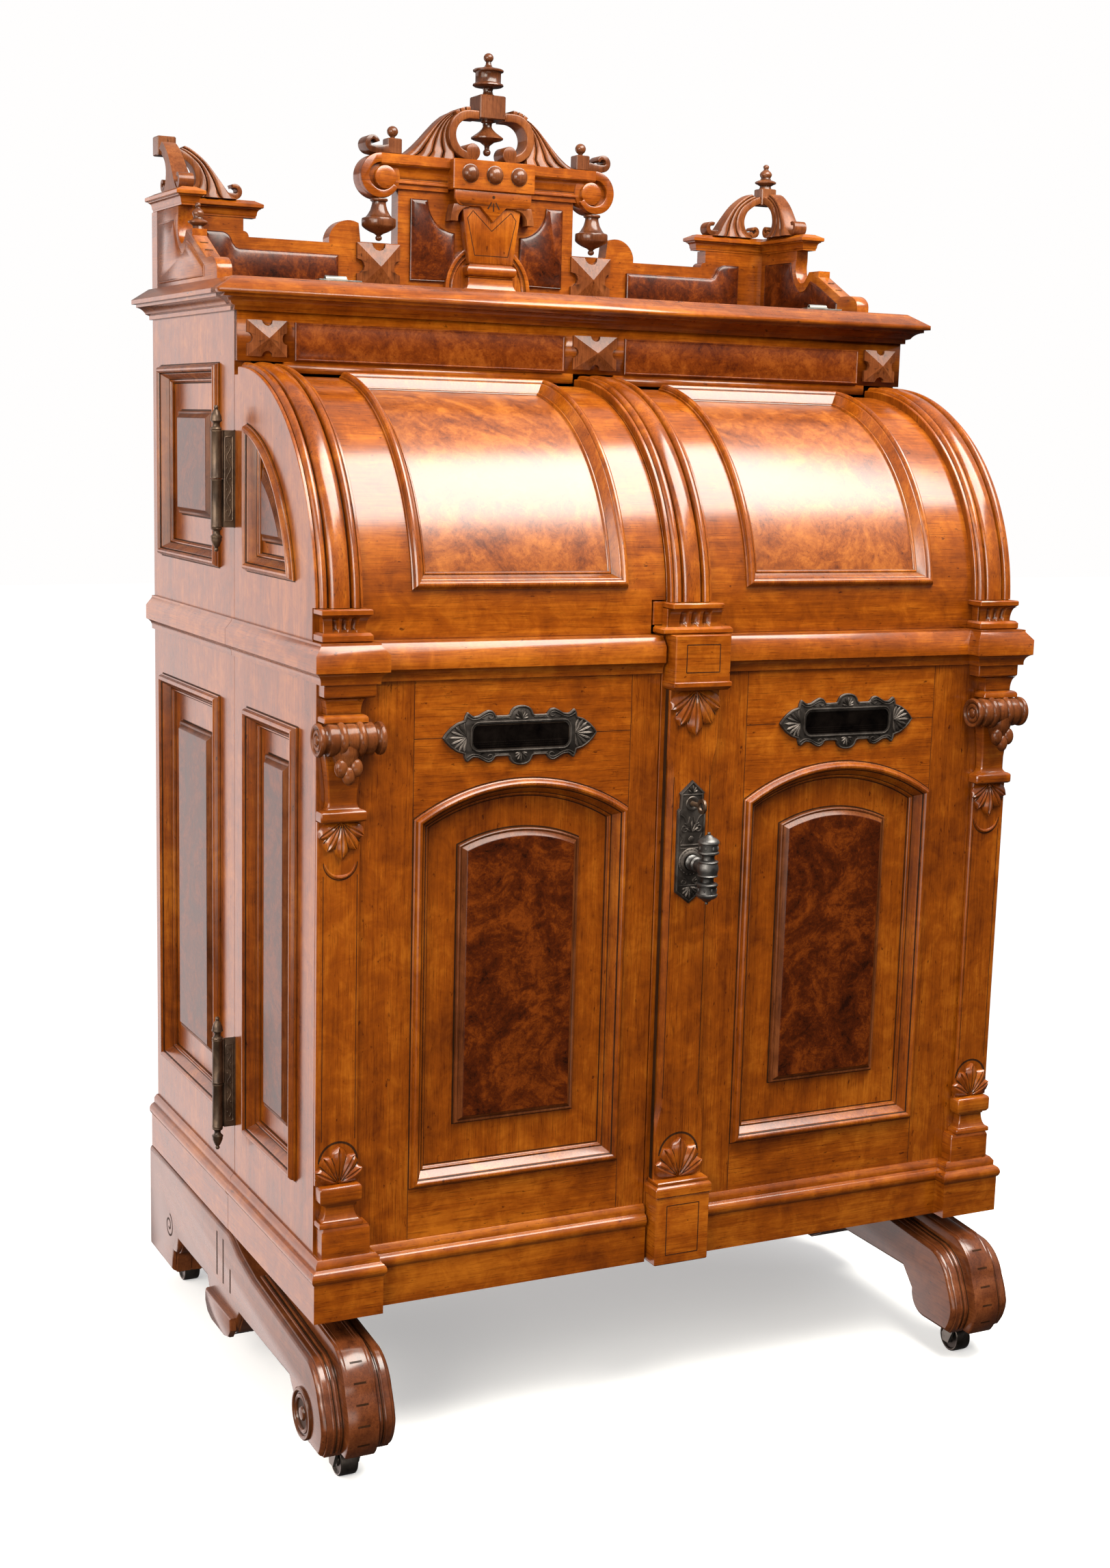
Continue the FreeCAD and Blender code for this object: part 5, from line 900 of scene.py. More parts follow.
@dataclass(frozen=True)
class Doors:
    """Frames and panels of both doors and of the carcass sides; millimetres in the row frame."""

    curve: Pair = (6.7, 84.0)
    curved_floor: float = -9.8
    curved_margin: float = 20.0
    low_levels: Pair = (360.0, 928.0)
    up_levels: Pair = (1100.0, 1361.0)
    door_span: Pair = (44.0, 239.0)
    carcass_span: Pair = (-342.0, -71.0)

    def on_front(self, spots: np.ndarray, height: float) -> np.ndarray:
        """Lays outline points on the door fronts."""
        return facing(spots, FRONT - height)

    def on_side(self, spots: np.ndarray, height: float) -> np.ndarray:
        """Lays outline points on the left side."""
        return np.stack([np.full(len(spots), -SIDE - height), -spots[:, 0], spots[:, 1]], 1)

    def on_crown(self, spots: np.ndarray, height: float) -> np.ndarray:
        """Bends points over the door top; the second value is an arc length at the outer face."""
        return np.stack([spots[:, 0], *crown_spot(height, spots[:, 1] / CROWN_R)], 1)

    def quarter(self, amount: float) -> np.ndarray:
        """Outline of the quarter-round side panel, seen from the left."""
        radius, low, rear = 224.0 - amount, 1104.0 + amount, 45.0 + amount
        reach = math.sqrt(radius ** 2 - (low - CROWN_Z) ** 2)
        rise = math.sqrt(radius ** 2 - (rear + CROWN_Y) ** 2)
        first = math.degrees(math.atan2(low - CROWN_Z, reach))
        last = math.degrees(math.atan2(rise, rear + CROWN_Y))
        return np.array([(rear, low)] + arc((-CROWN_Y, CROWN_Z), radius, first, last, 24))

    def crown_outline(self, middle: float) -> Outline:
        """Outline of the curved panel as x and arc length, with many points up its sides."""
        low, high = (math.radians(turn) * CROWN_R for turn in self.curve)

        def outline(amount: float) -> np.ndarray:
            half = PANEL_HALF - amount
            rise = np.linspace(low + amount, high - amount, 31)
            up = [(middle + half, level) for level in rise]
            return np.array(up + [(middle - half, level) for level in rise[::-1]])
        return outline

    def curved_field(self, middle: float) -> Surface:
        """The bent burl panel: a grid of x and arc length on the cylinder of its floor."""
        margin = self.curved_margin
        low, high = (math.radians(turn) * CROWN_R for turn in self.curve)
        half = PANEL_HALF - margin
        across = np.linspace(middle - half, middle + half, 9)
        return loft([self.on_crown(np.stack([across, np.full(9, level)], 1), self.curved_floor)
                     for level in np.linspace(low + margin, high - margin, 33)], False)

    def build(self) -> None:
        """Makes every frame and panel."""
        foot, radius, centre = ARCH
        for sign, tag in ((-1, "left"), (1, "right")):
            body, mirror, middle = tag + "_door", sign > 0, sign * PANEL_X
            shell = arched(middle, PANEL_HALF, *ARCH)
            raised = arched(middle, PANEL_HALF - 62.5, foot + 73.5, radius - 62.5, centre)
            front = PanelFrame(tag + "_front", body, shell, self.on_front, raised).build()
            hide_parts(tag + "_door_frames", tag + "_door_panels")
            low = rectangle(self.door_span, self.low_levels)
            panel = rectangle((96, 187), (412, 876))
            PanelFrame(tag + "_side", body, low, self.on_side, panel, mirror).build()
            inner = lambda amount: self.quarter(amount + 38.0)
            PanelFrame(tag + "_quarter", body, self.quarter, self.on_side, inner, mirror).build()
            crown = PanelFrame(tag + "_crown", body, self.crown_outline(middle), self.on_crown)
            rows = [row for row in crown.frame_rows if row[1] > -9.5]
            loft(crown.skin(rows, crown.outline)).piece(tag + "_crown_frame", body, Finish.WALNUT_Z, 28.0)
            self.curved_field(middle).piece(tag + "_crown_burl", body, Finish.BURL_WARM)
            for part, levels in (("low", self.low_levels), ("up", self.up_levels)):
                outline = rectangle(self.carcass_span, levels)
                raised = rectangle((-282, -131), (levels[0] + 60, levels[1] - 60))
                name = "carcass_%s_%s" % (tag, part)
                made = PanelFrame(name, "carcass", outline, self.on_side, raised, mirror).build()
                if name == "carcass_left_low":
                    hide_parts("carcass_frames", "carcass_panels")


def pile(middle: float, back: float, rows: Sequence[Triple], bevel: float = 0.8) -> Surface:
    """Stacks rectangles against a back plane.

    Args:
        middle: Middle of the stack on X.
        back: The plane on Y behind it.
        rows: Half width, depth in front of the plane, and height, from the bottom up.
        bevel: Size of the corner bevel.
    Returns:
        A closed surface.
    """
    return stack([(middle - half, middle + half, back - deep, back, level) for half, deep, level in rows],
                 bevel)


def petal(foot: Pair, turn: float, long: float, wide: float, high: float, face: float) -> Surface:
    """One carved lobe on a face that looks to -Y.

    Point = foot + long u way + w(u) v side with w = wide u^0.7 (1 - u^4)^0.7, raised by
    high (1 - 0.7 v^2)(0.4 + 0.6 sin 0.8 pi u) less a vein.
    """
    angle = math.radians(turn)
    way = np.array([math.sin(angle), math.cos(angle)])
    side = np.array([math.cos(angle), -math.sin(angle)])
    across = np.array([-1, -0.98, -0.6, -0.25, 0, 0.25, 0.6, 0.98, 1])
    rows = []
    for along in np.linspace(0.0, 1.0, 11):
        width = wide * along ** 0.7 * max(0.0, 1 - along ** 4) ** 0.7
        lift = high * (1 - 0.7 * across ** 2) * (0.4 + 0.6 * math.sin(0.8 * math.pi * along))
        lift = lift - 0.22 * high * np.exp(-(across / 0.16) ** 2)
        lift[[0, -1]] = -0.4
        spots = np.array(foot) + long * along * way + width * across[:, None] * side
        rows.append(facing(spots, face - lift))
    return loft(rows, False)


def palmette(foot: Pair, face: float, radius: float, high: float, lobes: int, spread: float, down: bool,
             wide: float) -> Surface:
    """A fan of carved lobes round a foot point, the middle one longest; it can hang down."""
    parts = []
    for turn in np.linspace(-spread, spread, lobes):
        long = radius * (1 - 0.26 * abs(turn) / spread)
        parts.append(petal(foot, turn, long, radius * wide, high * (1 - 0.15 * abs(turn) / spread), face))
    made = total(parts)
    if down:
        centre = np.array([foot[0], 0, foot[1]])
        made = Surface((made.points - centre) * np.array([-1, 1, -1]) + centre, made.faces)
    return made


def partings(foot: Pair, face: float, radius: float, high: float, lobes: int, spread: float,
             down: bool) -> Surface:
    """Dark cut lines between the lobes of a palmette."""
    turns = np.linspace(-spread, spread, lobes)
    way = -1 if down else 1
    parts = []
    for turn in (turns[1:] + turns[:-1]) / 2:
        angle = math.radians(turn)
        line = [(foot[0] + radius * share * math.sin(angle), face - high * lift,
                 foot[1] + way * radius * share * math.cos(angle))
                for share, lift in ((0.12, 0.5), (0.35, 0.62), (0.6, 0.56), (0.74, 0.4))]
        parts.append(tube(line, 0.75, 6))
    return total(parts)


def ball(centre: Sequence[float], reach: Sequence[float], steps: int = 20) -> Surface:
    """An ellipsoid: centre + (a cos p cos t, b cos p sin t, c sin p)."""
    angles = np.linspace(0, 2 * math.pi, steps, endpoint=False)
    rows = []
    for rise in np.linspace(-math.pi / 2 + 0.02, math.pi / 2 - 0.02, steps // 2 + 1):
        ring = [math.cos(rise) * np.cos(angles), math.cos(rise) * np.sin(angles),
                np.full(steps, math.sin(rise))]
        rows.append(np.array(centre) + np.array(reach) * np.stack(ring, 1))
    return solid(rows)


def ribbon(line: Sequence[Pair], half: Union[float, np.ndarray]) -> list[Pair]:
    """Returns the outline of a band along a line, with one half width or one for each point."""
    spots = np.array(line, float)
    ways = unit(np.gradient(spots, axis=0))
    side = np.stack([-ways[:, 1], ways[:, 0]], 1) * np.broadcast_to(half, (len(spots),))[:, None]
    return [tuple(spot) for spot in np.vstack([spots + side, (spots - side)[::-1]])]


def taper(line: Sequence[Pair], halves: Sequence[float], shares: Sequence[float] = (0, 1)) -> list[Pair]:
    """Returns the outline of a band whose half width runs through values at shares of its line."""
    return ribbon(line, np.interp(np.linspace(0, 1, len(line)), shares, halves))


def groove(line: Sequence[Pair], face: float, wide: float) -> Surface:
    """A cut line on a face that looks to -Y: a thin band laid just over it."""
    outline = np.array(ribbon(line, wide / 2))
    left, right = outline[:len(line)], outline[len(line):][::-1]
    return loft([facing(side, face - 0.12) for side in (right, left)], False)


def cut_round(corners: Sequence[Pair], face: float, wide: float) -> Surface:
    """Cut lines from corner to corner, round to the first one."""
    ends = list(corners[1:]) + [corners[0]]
    return total([groove(pair, face, wide) for pair in zip(corners, ends)])


def raised_line(line: Sequence[Pair], face: float, radius: Union[float, np.ndarray],
                closed: bool = False, steps: int = 8) -> Surface:
    """A round bead along a line on a face that looks to -Y."""
    return tube(facing(np.array(line), face), radius, steps, closed)


@dataclass(frozen=True)
class Pilasters:
    """Corner and centre pilasters with their capitals, consoles, carving and bent ribs."""

    face: float = FRONT
    side: float = -SIDE
    middle: float = -474.0
    shell: float = -288.0
    shaft: Pair = (7.0, 54.0)
    centre_deep: float = 12.0
    roll: Triple = (-512.0, -323.0, 925.5)
    rib_profile: Sequence[Pair] = (
        (0, -1), (0, 8.6), (0.8, 9.6), (3.6, 10), (4.4, 9), (4.8, 10.4), (6.2, 13), (8.2, 14.6),
        (10.2, 14.9), (12.2, 14.2), (13.8, 12.2), (14.6, 9.2), (15.4, 7), (16.4, 7), (17.2, 10.2),
        (18.6, 12.4), (21.6, 14.3), (25.6, 15.6), (30, 16),
    )

    def rib(self, left: float, start: float) -> tuple[Surface, Surface]:
        """A bent rib: its section carried round the axis of the door top, with its two dark cuts."""
        half = list(self.rib_profile)
        section = half + [(60 - across, high) for across, high in reversed(half[:-1])]
        first = math.degrees(math.asin((start - CROWN_Z) / CROWN_R))
        turns = np.radians(np.linspace(first, 89.6, 49))
        skins = [section] + [[(low, 7.2), (low + 1, 7.2)] for low in (15.4, 43.6)]
        rib, *cuts = [loft([[(left + across, *crown_spot(high, turn)) for across, high in row]
                            for turn in turns], False)
                      for row in skins]
        return rib, total(cuts)

    def flutes(self, spans: Pair, tops: Pair, levels: Pair, depths: Pair) -> Surface:
        """Front of a hollow capital: a grid whose depth is a cove less round cuts."""
        count = 61
        share = np.linspace(0, 1, count)
        mark = np.zeros(count)
        for middle in (-1.1, 0.0, 1.1):
            away = np.abs((share - 0.5) * 5.0 - middle) / 0.36
            mark = np.maximum(mark, np.sqrt(np.maximum(0, 1 - away ** 2)))
        rows = []
        for rise in np.linspace(0, 1, 11):
            curve = 1 - math.sqrt(max(0, 1 - rise ** 2))
            left = spans[0] + (tops[0] - spans[0]) * curve
            right = spans[1] + (tops[1] - spans[1]) * curve
            deep = depths[0] + (depths[1] - depths[0]) * curve
            front = self.shell - deep + mark * 4.5 * min(1.0, 6 * rise, 6 * (1 - rise))
            level = np.full(count, levels[0] + (levels[1] - levels[0]) * rise)
            rows.append(np.stack([left + (right - left) * share, front, level], 1))
        return loft(rows, False)

    def capital(self, middle: float, slab: Triple, hollow: Pair, top: Triple) -> Surface:
        """Slab, hollow with cuts and top slab; each slab is half width, bottom and top."""
        half, low, high = slab
        wide, under, over = top
        foot, head = hollow
        rows = ([(half - 1.5, 29, low), (half, 31, low + 1.6), (half, 31, high - 3),
                 (half - 2.5, 28, high)],
                [(foot - 1, 14, high - 1), (foot - 1, 14, under + 1)],
                [(wide - 3, 26.5, under), (wide, 29.5, under + 2.4), (wide, 29.5, over - 1.2),
                 (wide - 1, 28.5, over)])
        front = self.flutes((middle - foot, middle + foot), (middle - head, middle + head), (high, under),
                            (19.5, 26.5))
        return total([pile(middle, self.shell, part) for part in rows] + [front])

    def pedestal(self) -> Surface:
        """Foot block, hollow neck and slab under the carved fan."""
        plinth = [(31.25, 22, 287), (31.25, 22, 320), (30.4, 21.4, 322), (29.2, 20, 325), (29.2, 20, 325.2)]
        low = pile(-468.25, self.face, plinth)
        rows = [(28, 21, 325), (28, 21, 329.5), (27, 20, 331)]
        rows += cove((27, 20, 331), (-8.5, -6, 0), (0, 0, 20))
        rows += [(20, 15.5, 351.4), (20, 15.5, 353.4), (24.5, 18, 354), (26.2, 19.4, 356.4), (27, 20, 358),
                 (27, 20, 372.6), (26.2, 19.2, 374.8), (24.8, 18, 376)]
        core = block((self.side, -325, 208.8), (-432, self.face, 287), 0.5)
        return low + pile(self.middle, self.face, rows) + core

    def console(self) -> Surface:
        """Tapering body between the bracket slab and the roll, with a hollow side line."""
        rows = [(26.5, 18, 826), (29, 19.6, 827.4), (29.2, 20, 829), (29.2, 20, 836.4), (28.4, 19.4, 838.4),
                (26, 18, 839.6)]
        rows += cove((25.6, 17.6, 840), (-7.6, -3.6, 0), (0, 0, 9))
        for share in np.linspace(0, 1, 9):
            rows.append((18 + 6.6 * share ** 1.7, 14 + 5.5 * share ** 1.4, 850 + 58 * share))
        body = pile(self.middle, self.face, rows, 1.6)
        neck = [(27.8, 24, 945.5), (27.8, 24, 950), (26.6, 23, 952.4), (25, 21, 953.6)]
        neck += cove((21.4, 15, 954.5), (0, 0, 18.5), (5, 5.5, 0))
        slab = pile(self.middle, self.face, neck)
        cover = [(30.5, 20.4, 974), (32.4, 21.6, 975.4), (32.6, 22, 977), (32.6, 22, 990)]
        abacus = pile(-468.5, self.face, cover)
        core = block((self.side, -325, 990), (-436, self.face, 1038), 0.5)
        return body + slab + abacus + core

    def turned_roll(self) -> Surface:
        """The roll: ringed ends with a button, a waist on each side and a strap in the middle."""
        half = [(0, 0.6), (3.4, 0.4), (5.4, 1.6), (6.2, 3.2), (7.4, 3.4), (8.6, 2.2), (11, 1.8),
                (12.6, 2.6), (13.2, 3.6), (14.4, 3.2), (16, 1.6), (18.4, 1.2), (19.6, 2.4), (20, 4.6),
                (19.4, 6.6), (17.6, 7.6), (16.6, 9.4), (16.4, 11.6), (17.6, 13.6), (19.2, 14.6), (19.6, 17),
                (19, 22), (18.8, 26), (20.2, 27.4), (21.4, 29.6), (21.4, 32), (20.2, 34.2), (19, 35.4),
                (19.4, 39), (19.6, 42.5)]
        profile = half + [(radius, 85 - along) for radius, along in reversed(half[:-1])]
        return lathe(profile, Axis.X, 1, 44).moved(*self.roll)

    def pod(self) -> Surface:
        """The hanging pod: a swelling body under the strap that ends in three lobes."""
        x = self.middle
        rows = []
        angles = np.linspace(0, 2 * math.pi, 32, endpoint=False)
        for share in np.linspace(0, 1, 13):
            half = 17.5 * (1 - share) ** 0.25 * (0.72 + 0.42 * math.sin(math.pi * min(1, share * 1.25)))
            half = max(half, 0.4)
            deep = 16.5 * (0.8 + 0.34 * math.sin(math.pi * share)) * (1 - share) ** 0.4
            lobes = 1 + 0.1 * share * np.abs(np.cos(1.5 * (angles + math.pi / 2)))
            level = np.full(32, 934 - 56 * share)
            front = -324 + max(deep, 0.4) * lobes * np.sin(angles) * 1.1
            rows.append(np.stack([x + half * lobes * np.cos(angles), front, level], 1))
        body = solid(rows[::-1])
        lobes = [ball((x + shift, -334.5, level), (8.2, 6.6, 11.5))
                 for shift, level in ((-9.4, 893), (9.4, 893), (0, 884))]
        return total([body] + lobes)

    def shaft_marks(self) -> Surface:
        """Cut lines on the shaft: an arched head over the fan, side lines and a lower crescent line."""
        x, face = self.middle, self.face - self.shaft[0]
        lines = [groove(arc((x, 776), 21.5, 180, 360, 18), face, 1.2),
                 groove(arc((x, 404), 24.5, 0, 180, 18), face, 2.8)]
        for way in (-1, 1):
            lines.append(groove([(x + way * 21.5, 431), (x + way * 21.5, 760)], face, 0.9))
        return total(lines)

    def corner(self) -> dict[str, tuple]:
        """All the surfaces of the left corner pilaster."""
        x, front = self.middle, self.face - self.shaft[0]
        right = self.side + self.shaft[1]
        shaft = stack([(self.side, right, front, self.face, level) for level in (376, 826)], 1.4)
        sizes = np.concatenate([np.linspace(0.6, 2.6, 11), np.linspace(2.4, 0.6, 10)])
        rim = raised_line(arc((x, 777), 19, 190, 350, 20), front - 0.6, sizes)
        rib, lines = self.rib(self.side, 1076.5)
        capital = self.capital(-470.0, (32, 1038, 1049), (25.5, 31.5), (32, 1068, 1076.5))
        lobes = ((x, 377), front, 47.0, 8.0, 5, 60.0, False)
        leaf = ((x, 825), front, 45.0, 8.0, 5, 58.0, True)
        return {
            "shaft": (shaft, Finish.WALNUT_Z), "rim": (rim, Finish.WALNUT_Z),
            "foot": (self.pedestal(), Finish.WALNUT_X), "console": (self.console(), Finish.WALNUT_X),
            "roll": (self.turned_roll() + self.pod(), Finish.CARVED),
            "fan": (palmette(*lobes, 0.33), Finish.WALNUT_Z),
            "leaf": (palmette(*leaf, 0.32), Finish.WALNUT_Z),
            "capital": (capital, Finish.WALNUT_X), "rib": (rib, Finish.WALNUT_Z),
            "marks": (lines + self.shaft_marks() + partings(*lobes) + partings(*leaf), Finish.GROOVE),
        }

    def centre(self) -> dict[str, tuple]:
        """All the surfaces of the centre pilaster."""
        face = self.face
        front = face - self.centre_deep
        blocks = total([
            pile(0, face, [(39, 29, 208.8), (40, 30, 210), (40, 30, 300), (39, 29, 302)], 1.2),
            pile(0, face, [(40.5, 30.5, 302), (42, 32, 303.4), (42, 32, 312), (41.4, 31.4, 314.4),
                           (39.6, 29.6, 316.4), (38, 28, 317), (38, 28, 320.8), (37, 27, 322)]),
            pile(0, face, [(38, 28, 970), (39.4, 29, 971), (42, 32, 975), (42, 32, 980), (41, 31, 981)]),
            pile(0, face, [(40, 30, 981), (40, 30, 1039), (39, 29, 1040)], 1.2)])
        rows = []
        levels = [np.linspace(322, 452, 14), np.linspace(458, 850, 9), np.linspace(856, 970, 12)]
        for level in np.concatenate(levels):
            stop = min(1.0, max(0, (level - 384) / 46)) * min(1.0, max(0, (906 - level) / 46))
            cut = 1.2 + 8.4 * (3 * stop ** 2 - 2 * stop ** 3)
            ring = [(36, face), (36, front + cut), (36 - cut, front), (cut - 36, front), (-36, front + cut),
                    (-36, face)]
            rows.append([(x, y, level) for x, y in reversed(ring)])
        shaft = solid(rows)
        marks = [cut_round([(-24, low), (24, low), (24, high), (-24, high)], face - 30, 1.3)
                 for low, high in ((222, 290), (993, 1028))]
        rib, lines = self.rib(-30.0, 1078.5)
        capital = self.capital(0.0, (50, 1040, 1049), (38, 36.5), (37, 1070, 1078.5))
        lobes = ((0, 323), front, 54.0, 8.0, 5, 60.0, False)
        leaf = ((0, 969), front, 58.0, 8.0, 5, 56.0, True)
        # A dark strip on the stile's left side face: painted shadow of the gap beside the left door.
        side = [[(-36.15, face, level), (-36.15, face - 8, level)] for level in (970, 322)]
        marks += [lines, groove(arc((0, 354), 28.5, 0, 180, 18), front, 2.8), partings(*lobes),
                  partings(*leaf), loft(side, False)]
        for way in (-1, 1):
            marks.append(groove([(way * 26.4, 432), (way * 26.4, 858)], front, 1))
        return {
            "blocks": (blocks, Finish.WALNUT_X), "shaft": (shaft, Finish.WALNUT_Z),
            "rib": (rib, Finish.WALNUT_Z),
            "fan": (palmette(*lobes, 0.34), Finish.WALNUT_Z),
            "leaf": (palmette(*leaf, 0.32), Finish.WALNUT_Z),
            "capital": (capital, Finish.WALNUT_X), "marks": (total(marks), Finish.GROOVE),
        }

    def build(self) -> None:
        """Makes the three pilasters."""
        for tag in ("left", "right"):
            set_out(tag + "_corner_", tag + "_door", self.corner(), {"shaft": tag + "_pilaster"},
                    tag == "right")
        set_out("centre_", "right_door", self.centre(), {"blocks": "centre_pilaster"})


def fan(left: Sequence[Pair], right: Sequence[Pair], front: float, back: float, cuts: int = 4,
        swell: float = 6.0) -> Surface:
    """A fluted fan between two edge lines that run from its foot to its head.

    Point = (1 - u) left(v) + u right(v); the front stands out by swell |sin(cuts pi u)|^0.3 (1 - 0.4 v)
    and flares to the foot by 9 (1 - v)^2.4.
    """
    share = np.linspace(0, 1, cuts * 8 + 1)
    marks = np.linspace(0, 1, 15)
    lines = [np.array(line, float) for line in (left, right)]
    edges = [sample(line, marks * lengths(line)[-1]) for line in lines]
    rows = []
    for mark, low, high in zip(marks, *edges):
        spots = (1 - share)[:, None] * low + share[:, None] * high
        lift = swell * (np.abs(np.sin(cuts * math.pi * share)) ** 0.3) * (1 - 0.4 * mark)
        lift = lift + 9.0 * (1 - mark) ** 2.4
        rows.append(np.vstack([facing(spots, front - lift), facing(spots[::-1], back)]))
    return solid(rows)


def spiral(centre: Pair, start: float, end: float, first: float, turns: float, steps: int) -> list[Pair]:
    """Points of a spiral whose radius runs evenly from start to end; the first angle is in degrees."""
    angles = np.radians(first) + np.linspace(0, 2 * math.pi * turns, steps)
    radii = np.linspace(start, end, steps)
    return [(centre[0] + reach * math.cos(turn), centre[1] + reach * math.sin(turn))
            for reach, turn in zip(radii, angles)]


def circle(centre: Pair, radius: float, steps: int = 40) -> list[Pair]:
    """Points of a full circle."""
    return arc(centre, radius, 0, 360, steps)[:-1]


def saltire(low: Pair, high: Pair, face: float, rise: float) -> Surface:
    """A four-sided pyramid with a half-round nick in the middle of each side."""
    (x0, z0), (x1, z1) = low, high
    mid = ((x0 + x1) / 2, (z0 + z1) / 2)
    nick = min(x1 - x0, z1 - z0) * 0.16
    ring = []
    for centre, start, corner in (((mid[0], z0), 180, (x1, z0)), ((x1, mid[1]), 270, (x1, z1)),
                                  ((mid[0], z1), 0, (x0, z1)), ((x0, mid[1]), 90, (x0, z0))):
        ring += arc(centre, nick, start, start - 180, 6) + [corner]
    ring = np.array(ring)
    half = np.array([(x1 - x0) / 2, (z1 - z0) / 2])
    loops = [facing(ring, face + 0.5)]
    for share in (0.0, 0.3, 0.6, 0.97):
        spots = ring + (np.array(mid) - ring) * share
        away = np.max(np.abs(spots - np.array(mid)) / half, axis=1)
        loops.append(facing(spots, face - rise * (0.3 + 0.7 * (1 - away))))
    return loft(loops, True, False, True)


@dataclass(frozen=True)
class Gallery:
    """Crest, corner scrolls, tablet, burl panels and turned pieces of the gallery."""

    front: float = 346.0
    back: float = 385.0
    volute: Triple = (174.0, 1645.0, 32.0)
    hoop: Triple = (34.0, 1713.0, 29.5)
    urn_y: float = 356.0

    def beam(self) -> Surface:
        """Right beam: band, hollow, dark bead and fillet along X."""
        section = [(BOARD_Y, 1629.5), (BOARD_Y, CREST), (self.front, CREST), (self.front, 1663.4),
                   (self.front + 1.2, 1662.2)]
        section += cove((self.front + 1.6, 1661.6), (8.6, 0), (0, -18), 0, 8)
        section += [(354.4, 1643), (354.4, 1641.4), (352.8, 1640), (352.6, 1637.4), (354.2, 1636),
                    (355, 1635.6), (355, 1629.5)]
        return plate(section, Axis.X, 174.0, 65.0, SHARP)

    def scroll(self) -> Surface:
        """Right volute: a drum, a raised band that winds into an eye, and the eye."""
        x, z, radius = self.volute
        drum = plate(circle((x, z), radius - 0.6), Axis.Y, self.front + 7.0, GALLERY_BACK, EDGE)
        line = arc((x, z), radius - 6.6, 92, -150, 44)
        band = taper(line, (6.6, 6.4, 4), (0, 0.6, 1))
        band = plate(band, Axis.Y, self.front, self.front + 9.0, EDGE)
        dome = [(16.8, 0), (16.8, 7), (16.2, 8.2), (14.6, 8.9), (8, 9.2), (0, 9.3)]
        eye = lathe(dome, Axis.Y, -1).moved(x - 6.5, self.front + 8.6, z - 1.5)
        return drum + band + eye

    def arch(self) -> Surface:
        """Right C-scroll that hooks from the top cube round to an eye, with three ribs on its shoulder."""
        x, z, radius = self.hoop
        line = [(20.6, z + radius)] + arc((x, z), radius, 90, -95, 30)
        line += spiral((31, 1691), 9.5, 5.0, -100, -0.62, 20)
        band = taper(line, (6, 6.5, 5.6, 3.2), (0, 0.1, 0.62, 1))
        band = plate(band, Axis.Y, self.front, GALLERY_BACK, ((0, 1.6), (0.3, 0.7), (1, 0.2), (2, 0)))
        eye = [(11.6, 0), (11.6, 32), (10.8, 33.6), (8, 34.4), (4, 34.8), (0, 35)]
        eye = lathe(eye, Axis.Y, -1).moved(30.0, GALLERY_BACK, 1690.0)
        ribs = []
        for turn in (84.0, 70.0, 57.0):
            inner = arc((x, z), 33.0, turn - 5.4, turn + 5.4, 1)
            outer = arc((x, z), 40.4, turn - 5.0, turn + 5.0, 1)
            ribs.append(plate(inner[:1] + outer + inner[1:], Axis.Y, self.front + 1, GALLERY_BACK, EDGE))
        return total([band, eye] + ribs)

    def crest_fan(self) -> Surface:
        """Right fan between the C-scroll and the end cube."""
        x, z, _ = self.hoop
        left = [(57, CREST)] + arc((x, z), 34.0, -48, 62, 14)
        right = [(142, CREST), (131, 1681), (118, 1691.5), (105, 1704.5), (92, 1719), (80, 1731.5),
                 (68, 1741), (55, 1747)]
        return fan(left, right, 361.0, 381.0)

    def cube_end(self) -> Surface:
        """Right end cube with its curl; the ball is turned on its own."""
        cube = block((142, 348, CREST), (164, 370, 1699), 1.2)
        line = [(162, 1683.5), (172, 1682), (182, 1681.4)] + arc((187, 1690), 8.2, -95, 165, 18)
        return cube + plate(taper(line, (6.2, 4.4, 2.6), (0, 0.3, 1)), Axis.Y, 347.0, 378.0, EDGE)

    def corner_scroll(self, along: Axis) -> Surface:
        """Fan and C-scroll that climb a right corner cap, along X or along Y."""
        foot, cube = (383.0, 476.0) if along is Axis.X else (263.0, 356.0)
        span, low, high = cube - foot, 1597.0, 1665.0

        def spot(share: float, rise: float) -> Pair:
            return foot + share * span, low + rise * (high - low)

        inner = [(0.84, 0), (0.70, 0.12), (0.64, 0.36), (0.70, 0.62), (0.86, 0.8), (1, 0.88)]
        outer = [(0.06, 0), (0.17, 0.1), (0.33, 0.4), (0.52, 0.72), (0.72, 0.93), (0.84, 1)]
        inner, outer = ([spot(*row) for row in rounded(line, 5)] for line in (inner, outer))
        curl = spiral(spot(0.9, 0.17), 8.6, 3.0, 200, 0.9, 20)
        tip = [spot(0.26, 0.08), spot(0.14, 0.065)] + arc(spot(0.075, 0.17), 7.4, -70, -300, 14)
        made = total([fan(outer, [(across - 2, up) for across, up in inner], 0, 18, 3, 4),
                      plate(taper(inner, (4.2, 5.2)), Axis.Y, -5, 16, EDGE),
                      plate(taper(curl, (3.6, 1.6)), Axis.Y, -5, 16, FINE_EDGE),
                      plate(taper(tip, (4.6, 2.4)), Axis.Y, -4, 17, EDGE)])
        if along is Axis.X:
            return made.moved(0, 364.0, 0)
        return Surface(made.points[:, [1, 0, 2]], made.faces).flipped().moved(483.0)

